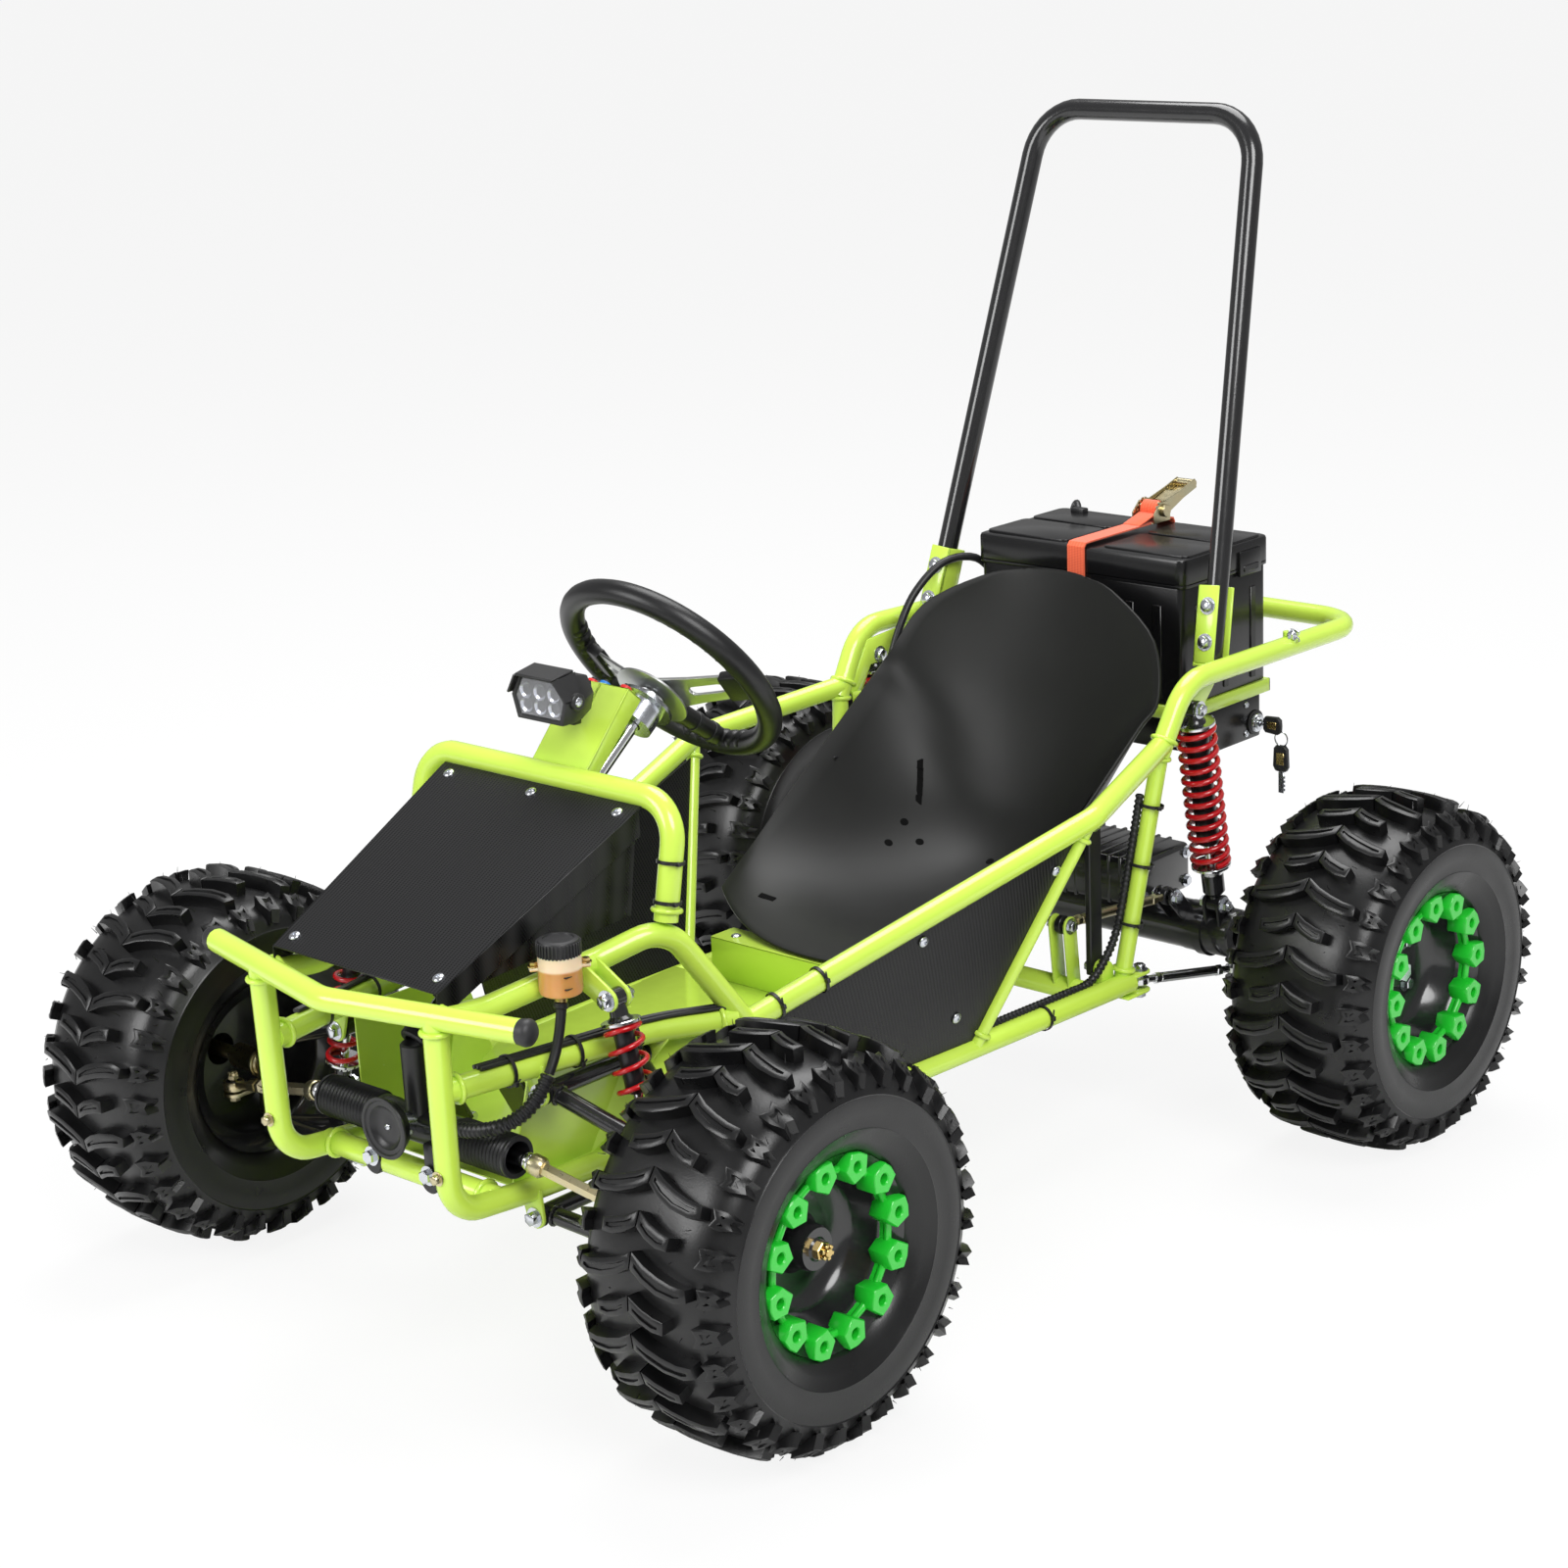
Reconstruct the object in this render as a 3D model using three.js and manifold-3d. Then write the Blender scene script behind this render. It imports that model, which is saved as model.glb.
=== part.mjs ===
// An off-road go-kart with a tube frame, four knobbly tyres, double-wishbone front suspension and a sprung
// live rear axle. Millimetres. +Z is up, the kart faces -Y and its left side is +X. The origin is on the
// ground, under the middle of the kart.
import * as THREE from "three";
import { mergeVertices } from "three/addons/utils/BufferGeometryUtils.js";
import Module from "manifold-3d";

const wasm = await Module();
wasm.setup();

// Driving sizes of the whole kart.
const kartLength = 1468;
const tyreRadius = 202;
const kartHeight = 1134;
const wheelbase = 957;
const frameHalf = 232;
const loopHeight = 512;

// The ball joints and the ends of the axle tube follow the frame. Each wheel stands a fixed way outside them.
const ballHalf = (frameHalf * 335) / 232;
const axleHalf = (frameHalf * 262) / 232;
const wheelOut = { front: 73.5, rear: 189 };
const frontTrack = 2 * (ballHalf + wheelOut.front);
const rearTrack = 2 * (axleHalf + wheelOut.rear);

// Clearances and the overrun of cutting tools.
const seatGap = 0.3;
const turnGap = 0.6;
const swingGap = 2;
const overrun = 3;

// Tubes of the welded frame.
const frameTube = { radius: 12.5, bend: 42, sides: 6, bendSteps: 3 };
const uprightTubeRadius = 10;
const braceTubeRadius = 8;
const sheet = { thickness: 2, tab: 4 };
const bolt = { radius: 4, head: 7, headHeight: 5 };
const pinSides = 6;

// Places on the frame as shares of the half width, of the wheelbase behind the front axle, and of the height
// of the rear loop.
const frameShares = {
  bumperEnd: [0.983, -0.143, 0.793],
  bumperMiddle: [0, -0.1985, 0.793],
  postTop: [0.552, -0.1674, 0.793],
  postBend: [0.541, -0.162, 0.396],
  lowerRailFront: [0.539, -0.071, 0.38],
  lowerRailKnee: [0.539, 0.044, 0.371],
  lowerRailWide: [0.884, 0.211, 0.367],
  lowerRailEnd: [0.94, 0.836, 0.352],
  midRailFront: [0.54, -0.16, 0.641],
  midRailKnee: [0.724, 0.0857, 0.641],
  midRailEnd: [0.884, 0.172, 0.635],
  upperRailFront: [0.526, -0.168, 0.779],
  upperRailRise: [0.522, -0.094, 0.766],
  upperRailMid: [0.647, 0.0366, 0.807],
  upperRailBend: [0.784, 0.101, 0.852],
  upperRailEnd: [0.884, 0.188, 0.615],
  sideRailFront: [0.884, 0.188, 0.615],
  sideRailKink: [1.272, 0.667, 0.84],
  sideRailEnd: [1.034, 0.874, 0.889],
  loopFoot: [1.03, 0.869, 0.865],
  loopBend: [1.047, 0.918, 1.016],
  loopCorner: [1, 1.31138, 1],
  uprightFoot: [0.918, 0.828, 0.357],
  braceTop: [1.262, 0.66, 0.828],
  braceFoot: [0.931, 0.5475, 0.367],
  hoopCorner: [0.776, 0.1275, 1.084],
  hoopFoot: [0.782, 0.103, 0.86],
};
const frontAxleY = tyreRadius - kartLength / 2;
const rearAxleY = frontAxleY + wheelbase;

function spot(shares, side = 1) {
  return new THREE.Vector3(
    side * shares[0] * frameHalf,
    frontAxleY + shares[1] * wheelbase,
    shares[2] * loopHeight,
  );
}

// Solids, and the meshes made of them.
const mergeDistance = 1e-4;

function solidOf(geometry) {
  const plain = geometry.clone();
  plain.deleteAttribute("normal");
  plain.deleteAttribute("uv");
  const merged = mergeVertices(plain, mergeDistance);
  const triVerts = new Uint32Array(merged.index.array);
  const vertProperties = merged.attributes.position.array;
  let made = new wasm.Manifold(new wasm.Mesh({ numProp: 3, vertProperties, triVerts }));
  if (made.volume() < 0) {
    for (let i = 0; i < triVerts.length; i += 3) {
      [triVerts[i + 1], triVerts[i + 2]] = [triVerts[i + 2], triVerts[i + 1]];
    }
    made = new wasm.Manifold(new wasm.Mesh({ numProp: 3, vertProperties, triVerts }));
  }
  return made;
}

function geometryOf(solid) {
  const { vertProperties, triVerts } = solid.getMesh();
  const geometry = new THREE.BufferGeometry();
  geometry.setAttribute("position", new THREE.BufferAttribute(new Float32Array(vertProperties), 3));
  geometry.setIndex([...triVerts]);
  return geometry;
}

function join(...solids) {
  return solids.flat().reduce((whole, piece) => whole.add(piece));
}

function cut(solid, ...tools) {
  return tools.flat().reduce((rest, tool) => rest.subtract(tool), solid);
}

function moved(solid, matrix) {
  return solidOf(geometryOf(solid).applyMatrix4(matrix));
}

function mirrored(solid) {
  return moved(solid, new THREE.Matrix4().makeScale(-1, 1, 1));
}

// Simple shapes, placed by the points that they run between.
const up = new THREE.Vector3(0, 0, 1);

function at(x, y, z) {
  return new THREE.Vector3(x, y, z);
}

function rod(from, to, radius, sides = 8, endRadius = radius) {
  const way = to.clone().sub(from);
  const geometry = new THREE.CylinderGeometry(endRadius, radius, way.length(), sides);
  geometry.applyQuaternion(new THREE.Quaternion().setFromUnitVectors(at(0, 1, 0), way.clone().normalize()));
  geometry.translate(...from.clone().addScaledVector(way, 0.5).toArray());
  return solidOf(geometry);
}

function block(low, high) {
  const size = high.clone().sub(low);
  const geometry = new THREE.BoxGeometry(size.x, size.y, size.z);
  geometry.translate(...low.clone().addScaledVector(size, 0.5).toArray());
  return solidOf(geometry);
}

function ball(centre, radius, around = 6, along = 4) {
  const geometry = new THREE.SphereGeometry(radius, around, along);
  geometry.translate(...centre.toArray());
  return solidOf(geometry);
}

// A flat plate whose outline is given by points in space, thickened along its normal.
function plate(points, thickness, towards) {
  const across = points[1].clone().sub(points[0]).normalize();
  const normal = across.clone().cross(points[2].clone().sub(points[1])).normalize();
  if (normal.dot(towards) < 0) normal.negate();
  const along = normal.clone().cross(across);
  const outline = new THREE.Shape(
    points.map((point) => {
      const arm = point.clone().sub(points[0]);
      return new THREE.Vector2(arm.dot(across), arm.dot(along));
    }),
  );
  const geometry = new THREE.ExtrudeGeometry(outline, { depth: thickness, bevelEnabled: false });
  const frame = new THREE.Matrix4().makeBasis(across, along, normal).setPosition(points[0]);
  return solidOf(geometry.applyMatrix4(frame));
}

// A closed profile of radius and distance pairs, turned round the axis that runs from a point along a way.
function turned(profile, from, way, sides) {
  const points = profile.map(([radius, distance]) => new THREE.Vector2(radius, distance));
  points.push(points[0].clone());
  const geometry = new THREE.LatheGeometry(points, sides);
  geometry.applyQuaternion(new THREE.Quaternion().setFromUnitVectors(at(0, 1, 0), way.clone().normalize()));
  geometry.translate(...from.toArray());
  return solidOf(geometry);
}

// The centre line of a bent tube: straight runs between corners, with a round bend at each corner.
class BentLine extends THREE.Curve {
  constructor(corners, bend, bendSteps) {
    super();
    this.spots = [];
    this.ways = [];
    corners.forEach((corner, i) => {
      const before = corners[i - 1];
      const after = corners[i + 1];
      if (!before || !after) {
        const way = (after ?? corner).clone().sub(before ?? corner);
        this.spots.push(corner.clone());
        this.ways.push(way.normalize());
        return;
      }
      const inward = corner.clone().sub(before).normalize();
      const outward = after.clone().sub(corner).normalize();
      const turn = inward.angleTo(outward);
      const axis = inward.clone().cross(outward).normalize();
      const setback = bend * Math.tan(turn / 2);
      const start = corner.clone().addScaledVector(inward, -setback);
      const centre = start.clone().addScaledVector(axis.clone().cross(inward), bend);
      const steps = Math.max(1, Math.round((bendSteps * turn) / (Math.PI / 2)));
      for (let k = 0; k <= steps; k += 1) {
        const angle = (turn * k) / steps;
        this.spots.push(start.clone().sub(centre).applyAxisAngle(axis, angle).add(centre));
        this.ways.push(inward.clone().applyAxisAngle(axis, angle));
      }
    });
  }

  place(u) {
    return Math.round(u * (this.spots.length - 1));
  }

  getPointAt(u) {
    return this.spots[this.place(u)].clone();
  }

  getTangentAt(u) {
    return this.ways[this.place(u)].clone();
  }
}

function ngon(radius, sides) {
  const points = [];
  for (let k = 0; k < sides; k += 1) {
    const angle = (2 * Math.PI * (k + 0.5)) / sides;
    points.push(new THREE.Vector2(radius * Math.cos(angle), radius * Math.sin(angle)));
  }
  return new THREE.Shape(points);
}

function tube(corners, radius = frameTube.radius, bend = frameTube.bend, sides = frameTube.sides) {
  const line = new BentLine(corners, bend, frameTube.bendSteps);
  const geometry = new THREE.ExtrudeGeometry(ngon(radius, sides), {
    steps: line.spots.length - 1,
    extrudePath: line,
    bevelEnabled: false,
  });
  return solidOf(geometry);
}

// A surface of rings of points, each ring joined to the next, closed by a fan at both ends.
function ringed(rings) {
  const around = rings[0].length;
  const points = rings.flat();
  const faces = [];
  for (let i = 0; i + 1 < rings.length; i += 1) {
    for (let k = 0; k < around; k += 1) {
      const next = (k + 1) % around;
      const a = i * around + k;
      const b = i * around + next;
      faces.push(a, b, a + around, b, b + around, a + around);
    }
  }
  const last = (rings.length - 1) * around;
  for (let k = 1; k + 1 < around; k += 1) {
    faces.push(0, k + 1, k);
    faces.push(last, last + k, last + k + 1);
  }
  const geometry = new THREE.BufferGeometry().setFromPoints(points);
  geometry.setIndex(faces);
  return solidOf(geometry);
}

function ringAt(centre, way, radius, count, turn = 0) {
  const side = Math.abs(way.z) > 0.9 ? at(1, 0, 0) : up;
  const first = side.clone().cross(way).normalize();
  const second = way.clone().cross(first);
  const points = [];
  for (let k = 0; k < count; k += 1) {
    const angle = turn + (2 * Math.PI * k) / count;
    points.push(
      centre
        .clone()
        .addScaledVector(first, radius * Math.cos(angle))
        .addScaledVector(second, radius * Math.sin(angle)),
    );
  }
  return points;
}

// A coil spring: one wire that climbs round the line between two points and runs straight for one wire
// diameter at both ends. Its first and last turns start a share of the wire in from the two points, so that
// its ends just reach them. Prints the least gap between its turns.
function coil(name, from, to, { outer, wire, turns, easeShare }) {
  const stepsPerTurn = 6;
  const sidesOfWire = 4;
  const endInset = 0.65 * wire;
  const way = to.clone().sub(from).normalize();
  const length = to.distanceTo(from) - 2 * endInset;
  const first = up.clone().cross(way).cross(way).normalize();
  const second = way.clone().cross(first);
  const mean = outer / 2 - wire / 2;
  const count = turns * stepsPerTurn;
  const line = [];
  for (let k = 0; k <= count; k += 1) {
    const t = k / count;
    const climb = t + easeShare * t * (1 - t);
    const angle = 2 * Math.PI * turns * t;
    line.push(
      from
        .clone()
        .addScaledVector(way, endInset + length * climb)
        .addScaledVector(first, mean * Math.cos(angle))
        .addScaledVector(second, mean * Math.sin(angle)),
    );
  }
  let least = Infinity;
  for (let i = 0; i < line.length; i += 1) {
    for (let j = i + stepsPerTurn - 2; j < line.length; j += 1) {
      least = Math.min(least, line[i].distanceTo(line[j]) - wire);
    }
  }
  console.log(`${name}: least gap between turns ${least.toFixed(2)} mm`);
  const startWay = line[0].clone().sub(line[1]).normalize();
  const endWay = line.at(-1).clone().sub(line.at(-2)).normalize();
  line.unshift(line[0].clone().addScaledVector(startWay, wire));
  line.push(line.at(-1).clone().addScaledVector(endWay, wire));
  const rings = line.map((point, i) => {
    const before = line[Math.max(0, i - 1)];
    const after = line[Math.min(line.length - 1, i + 1)];
    const along = after.clone().sub(before).normalize();
    const outwards = along.clone().cross(way).normalize();
    const across = along.clone().cross(outwards);
    const points = [];
    for (let k = 0; k < sidesOfWire; k += 1) {
      const angle = (2 * Math.PI * k) / sidesOfWire;
      points.push(
        point
          .clone()
          .addScaledVector(outwards, (wire / 2) * Math.cos(angle))
          .addScaledVector(across, (wire / 2) * Math.sin(angle)),
      );
    }
    return points;
  });
  return ringed(rings);
}

// A ribbed sleeve along a straight line, with a bore right through it.
function bellows(from, to, { outer, root, bore, ribs }) {
  const ringPoints = 8;
  const way = to.clone().sub(from);
  const along = way.clone().normalize();
  const rings = [ringAt(from, along, root, ringPoints)];
  for (let k = 0; k < ribs; k += 1) {
    rings.push(ringAt(from.clone().addScaledVector(way, (k + 0.4) / ribs), along, outer, ringPoints));
    rings.push(ringAt(from.clone().addScaledVector(way, (k + 0.9) / ribs), along, root, ringPoints));
  }
  rings.push(ringAt(to, along, outer, ringPoints));
  const start = from.clone().addScaledVector(along, -overrun);
  const end = to.clone().addScaledVector(along, overrun);
  return cut(ringed(rings), rod(start, end, bore, ringPoints));
}

// The group that holds every piece.
const kart = new THREE.Group();
const finishes = {
  frameGreen: { color: 0xb9e33c, roughness: 0.25, metalness: 0 },
  ringGreen: { color: 0x18c22e, roughness: 0.4, metalness: 0 },
  blackGloss: { color: 0x0c0c0d, roughness: 0.2, metalness: 0 },
  blackSatin: { color: 0x232323, roughness: 0.5, metalness: 0 },
  carbon: { color: 0x1b1b1d, roughness: 0.3, metalness: 0 },
  rubber: { color: 0x141414, roughness: 0.7, metalness: 0 },
  springRed: { color: 0xc41218, roughness: 0.3, metalness: 0 },
  zinc: { color: 0xb7bcc0, roughness: 0.3, metalness: 0.9 },
  goldZinc: { color: 0xb09a58, roughness: 0.35, metalness: 0.9 },
  strapOrange: { color: 0xff5a2a, roughness: 0.8, metalness: 0 },
  amber: { color: 0xe0a060, roughness: 0.3, metalness: 0 },
};

function add(name, solid, finish) {
  const mesh = new THREE.Mesh(geometryOf(solid), new THREE.MeshStandardMaterial(finishes[finish]));
  mesh.name = name;
  kart.add(mesh);
}

function addPair(name, leftSolid, finish) {
  add(`${name}_left`, leftSolid, finish);
  add(`${name}_right`, mirrored(leftSolid), finish);
}

// A flat lug: as wide as its root at one end, round about the bolt at the other, thickened both ways along
// the bolt.
function lug(root, eye, bolt, { thickness, rootHalf, eyeRadius }) {
  const eyeSteps = 2;
  const way = eye.clone().sub(root).normalize();
  const side = bolt.clone().cross(way).normalize();
  const points = [
    root.clone().addScaledVector(side, rootHalf),
    root.clone().addScaledVector(side, -rootHalf),
  ];
  for (let k = 0; k <= eyeSteps; k += 1) {
    const angle = (Math.PI * k) / eyeSteps;
    points.push(
      eye
        .clone()
        .addScaledVector(side, -eyeRadius * Math.cos(angle))
        .addScaledVector(way, eyeRadius * Math.sin(angle)),
    );
  }
  const shift = bolt.clone().multiplyScalar(-thickness / 2);
  points.forEach((point) => point.add(shift));
  return plate(points, thickness, bolt);
}

// The shank of a bolt, which stands out past both points by the height of a head.
function pinThrough(from, to, radius = bolt.radius) {
  const way = to.clone().sub(from).normalize();
  const head = from.clone().addScaledVector(way, -bolt.headHeight);
  const nut = to.clone().addScaledVector(way, bolt.headHeight);
  return rod(head, nut, radius, pinSides);
}

// A sheet between two grids of points: the face that the grid gives, and a back one thickness behind it.
function shell(grid, thickness, extra = 0, above = 0) {
  const rows = grid.length;
  const columns = grid[0].length;
  const normalAt = (i, j) => {
    const across = grid[i][Math.min(columns - 1, j + 1)].clone().sub(grid[i][Math.max(0, j - 1)]);
    const along = grid[Math.min(rows - 1, i + 1)][j].clone().sub(grid[Math.max(0, i - 1)][j]);
    return across.cross(along).normalize();
  };
  const points = [];
  [extra + above, -thickness - extra].forEach((offset) => {
    grid.forEach((row, i) => {
      row.forEach((point, j) => points.push(point.clone().addScaledVector(normalAt(i, j), offset)));
    });
  });
  const back = rows * columns;
  const faces = [];
  const quad = (a, b, c, d) => faces.push(a, b, c, a, c, d);
  for (let i = 0; i + 1 < rows; i += 1) {
    for (let j = 0; j + 1 < columns; j += 1) {
      const a = i * columns + j;
      quad(a, a + 1, a + columns + 1, a + columns);
      quad(back + a, back + a + columns, back + a + columns + 1, back + a + 1);
    }
  }
  for (let j = 0; j + 1 < columns; j += 1) {
    const last = (rows - 1) * columns + j;
    quad(j, back + j, back + j + 1, j + 1);
    quad(last, last + 1, back + last + 1, back + last);
  }
  for (let i = 0; i + 1 < rows; i += 1) {
    const first = i * columns;
    const end = first + columns - 1;
    quad(first, first + columns, back + first + columns, back + first);
    quad(end, back + end, back + end + columns, end + columns);
  }
  const geometry = new THREE.BufferGeometry().setFromPoints(points);
  geometry.setIndex(faces);
  return solidOf(geometry);
}

// Frame
function line(names) {
  return names.map((name) => spot(frameShares[name]));
}

function bumperTubes(extra) {
  const left = spot(frameShares.bumperEnd);
  const middle = spot(frameShares.bumperMiddle);
  const right = spot(frameShares.bumperEnd, -1);
  const radius = frameTube.radius + extra;
  const post = tube(line(["postTop", "postBend", "lowerRailFront"]), radius);
  const cross = spot(crossTubeShares.front);
  return [
    tube([left, middle, right], radius),
    post,
    mirrored(post),
    rod(cross, spot(crossTubeShares.front, -1), radius, frameTube.sides),
  ];
}

const crossTubeShares = {
  front: [0.5388, -0.1003, 0.3906],
  rear: [0.9181, 0.7774, 0.3516],
};

function railTubes(extra) {
  const radius = frameTube.radius + extra;
  return [
    tube(line(["lowerRailFront", "lowerRailKnee", "lowerRailWide", "lowerRailEnd"]), radius),
    tube(line(["midRailFront", "midRailKnee", "midRailEnd"]), radius),
    tube(line(["upperRailFront", "upperRailRise", "upperRailMid", "upperRailBend", "upperRailEnd"]), radius),
    tube(line(["sideRailFront", "sideRailKink", "sideRailEnd"]), radius),
    tube(line(["sideRailEnd", "uprightFoot"]), uprightTubeRadius + extra),
    tube(line(["braceTop", "braceFoot"]), braceTubeRadius + extra),
  ];
}

function loopTubes(extra) {
  const leftHalf = line(["loopFoot", "loopBend", "loopCorner"]);
  const rightHalf = [...leftHalf].reverse().map((point) => at(-point.x, point.y, point.z));
  return tube([...leftHalf, ...rightHalf], frameTube.radius + extra, loopBend);
}

function hoopTubes(extra) {
  const foot = spot(frameShares.hoopFoot);
  const corner = spot(frameShares.hoopCorner);
  const opposite = [corner, foot].map((point) => at(-point.x, point.y, point.z));
  return tube([foot, corner, ...opposite], frameTube.radius + extra);
}

const loopBend = 60;

// Front suspension: places on the left side, and the sizes of its pieces.
const suspensionShares = {
  lowerPivotFront: [0.5603, -0.0502, 0.3242],
  lowerPivotRear: [0.5603, 0.0773, 0.3242],
  upperPivotFront: [0.6466, -0.0533, 0.5859],
  upperPivotRear: [0.6466, 0.094, 0.5859],
  lowerBall: [1.444, 0, 0.2656],
  upperBall: [1.444, 0, 0.4531],
  shockTop: [0.819, 0.0167, 0.7559],
  shockFoot: [1.0216, 0.0167, 0.3848],
  shockCross: [1.0216, 0.0167, 0.2949],
  tieRodInner: [0.6681, -0.0815, 0.4688],
  tieRodOuter: [1.444, -0.0533, 0.3828],
  hub: [1.444, 0, 0.3945],
};
const arm = {
  radius: 9,
  sleeve: 10,
  boltRadius: 5,
  housing: 14,
  housingHalf: 6,
  ball: 9,
  crossShare: 0.8,
};
const earPlate = { thickness: 4, rootHalf: 14, eyeRadius: 11 };
const frontShock = {
  outer: 40,
  wire: 5.5,
  turns: 6,
  easeShare: 0,
  topPerch: 26,
  footPerch: 34,
  perchRadius: 20,
  perchHeight: 4,
  bodyRadius: 11,
  bodyLength: 96,
  rodRadius: 5,
  footRadius: 9,
  neckRadius: 6.5,
  footNeck: 15,
  eyeRadius: 10,
  eyeHalf: 7,
};
const rearShockShares = {
  top: [1.0345, 0.9383, 0.9453],
  foot: [1.0345, 0.9812, 0.4707],
};
const rearShock = {
  outer: 48,
  wire: 7,
  turns: 10,
  easeShare: 0.18,
  topPerch: 20,
  footPerch: 52,
  perchRadius: 23,
  perchHeight: 5,
  bodyRadius: 14,
  bodyLength: 170,
  rodRadius: 6,
  footRadius: 13,
  neckRadius: 6.5,
  footNeck: 15,
  eyeRadius: 10,
  eyeHalf: 7,
};

const alongX = at(1, 0, 0);
const alongY = at(0, 1, 0);

function tabPair(front, rear, rootFront, rootRear, shape) {
  const gap = seatGap + shape.thickness / 2;
  const lugs = [
    [front, rootFront, -1],
    [rear, rootRear, 1],
  ].map(([eye, root, sign]) => {
    const eyeAt = eye.clone().addScaledVector(alongY, sign * gap);
    const rootAt = at(root.x, eyeAt.y, root.z);
    return lug(rootAt, eyeAt, alongY, shape);
  });
  const clear = seatGap + shape.thickness;
  const boltFrom = front.clone().addScaledVector(alongY, -clear);
  const boltTo = rear.clone().addScaledVector(alongY, clear);
  return [...lugs, pinThrough(boltFrom, boltTo, arm.boltRadius)];
}

// The point of a straight run between two places where it has a given y.
function alongTo(from, to, y) {
  return from.clone().lerp(to, (y - from.y) / (to.y - from.y));
}

const seatTabShares = { eye: [0.8728, 0.8067, 0.3926] };
const seatTabThickness = 16;
const seatLegHalf = 4;
const linkShares = {
  lowerFront: [0.9267, 0.861, 0.3418],
  lowerRear: [1.0776, 1.0052, 0.3066],
  upperFront: [0.7414, 0.7701, 0.5039],
  upperRear: [0.819, 0.954, 0.4844],
};
const linkSizes = { radius: 6, eyeRadius: 11, eyeHalf: 4, boltRadius: 4, rearBore: 7.5, plateGap: 5 };

function linkClevis(eye, root, axis) {
  const shape = { thickness: sheet.tab, rootHalf: linkSizes.eyeRadius, eyeRadius: linkSizes.eyeRadius };
  const offset = linkSizes.eyeHalf + linkSizes.plateGap + sheet.tab / 2;
  const plates = [-offset, offset].map((shift) =>
    lug(
      root.clone().addScaledVector(axis, shift),
      eye.clone().addScaledVector(axis, shift),
      axis,
      shape,
    ),
  );
  const reach = offset + sheet.tab / 2;
  const shank = pinThrough(
    eye.clone().addScaledVector(axis, -reach),
    eye.clone().addScaledVector(axis, reach),
    linkSizes.boltRadius,
  );
  return [...plates, shank];
}

function frameSide() {
  const lowerFront = spot(suspensionShares.lowerPivotFront);
  const lowerRear = spot(suspensionShares.lowerPivotRear);
  const upperFront = spot(suspensionShares.upperPivotFront);
  const upperRear = spot(suspensionShares.upperPivotRear);
  const lowerKnee = spot(frameShares.lowerRailKnee);
  const lowerWide = spot(frameShares.lowerRailWide);
  const midFront = spot(frameShares.midRailFront);
  const midKnee = spot(frameShares.midRailKnee);
  const shockTop = spot(suspensionShares.shockTop);
  const railRise = spot(frameShares.upperRailRise);
  const railMid = spot(frameShares.upperRailMid);
  const shockRoot = alongTo(railRise, railMid, shockTop.y);
  const earOffset = frontShock.eyeHalf + seatGap + earPlate.thickness / 2;
  const ears = [-earOffset, earOffset].map((shift) =>
    lug(
      at(shockRoot.x, shockTop.y + shift, shockRoot.z),
      at(shockTop.x, shockTop.y + shift, shockTop.z),
      alongY,
      earPlate,
    ),
  );
  const earReach = earOffset + earPlate.thickness / 2;
  const shockBolt = pinThrough(
    at(shockTop.x, shockTop.y - earReach, shockTop.z),
    at(shockTop.x, shockTop.y + earReach, shockTop.z),
  );
  const lowerTabs = tabPair(
    lowerFront,
    lowerRear,
    alongTo(spot(frameShares.lowerRailFront), lowerKnee, lowerFront.y),
    alongTo(lowerKnee, lowerWide, lowerRear.y),
    earPlate,
  );
  const upperTabs = tabPair(
    upperFront,
    upperRear,
    alongTo(midFront, midKnee, upperFront.y),
    alongTo(midKnee, spot(frameShares.midRailEnd), upperRear.y),
    earPlate,
  );
  const linkEye = spot(linkShares.lowerFront);
  const linkRoot = at(linkEye.x, spot(frameShares.lowerRailEnd).y - frameTube.radius, linkEye.z);
  const seatEye = spot(seatTabShares.eye);
  const seatTab = lug(spot(frameShares.lowerRailEnd).setX(seatEye.x).setY(seatEye.y), seatEye, alongX, {
    thickness: seatTabThickness,
    rootHalf: frameTube.radius,
    eyeRadius: bolt.head,
  });
  const seatBolt = rod(
    seatEye.clone().addScaledVector(alongX, -seatTabThickness / 2 - 3 * seatLegHalf),
    seatEye,
    bolt.radius,
    pinSides,
  );
  return [
    ...ears,
    shockBolt,
    ...lowerTabs,
    ...upperTabs,
    ...linkClevis(linkEye, linkRoot, up),
    seatTab,
    seatBolt,
  ];
}

const tool = { bumper: bumperTubes(seatGap), loop: loopTubes(seatGap), rails: railTubes(seatGap) };
const railsOfBothSides = [...tool.rails, ...tool.rails.map(mirrored)];

add("front_bumper", join(bumperTubes(0)), "frameGreen");

const leftSide = cut(join(railTubes(0), frameSide()), ...tool.bumper, tool.loop);
add("frame_left", leftSide, "frameGreen");

const spareTabShares = { root: [0.7112, 0.0648, 0.8301], eye: [0.6034, 0.0805, 0.752] };
const spareTab = lug(spot(spareTabShares.root, -1), spot(spareTabShares.eye, -1), alongY, {
  thickness: sheet.tab,
  rootHalf: bolt.head,
  eyeRadius: bolt.head,
});
add("frame_right", cut(join(mirrored(leftSide), spareTab), hoopTubes(seatGap)), "frameGreen");

// Steering: the wheel's centre and the axis that the column runs along.
const wheelCentreShares = [0, 0.3187, 1.2207];
const columnTilt = (37.6 * Math.PI) / 180;
const columnWay = at(0, Math.cos(columnTilt), Math.sin(columnTilt));
const wheelCentre = spot(wheelCentreShares);

function onColumn(distance) {
  return wheelCentre.clone().addScaledVector(columnWay, -distance);
}

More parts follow.
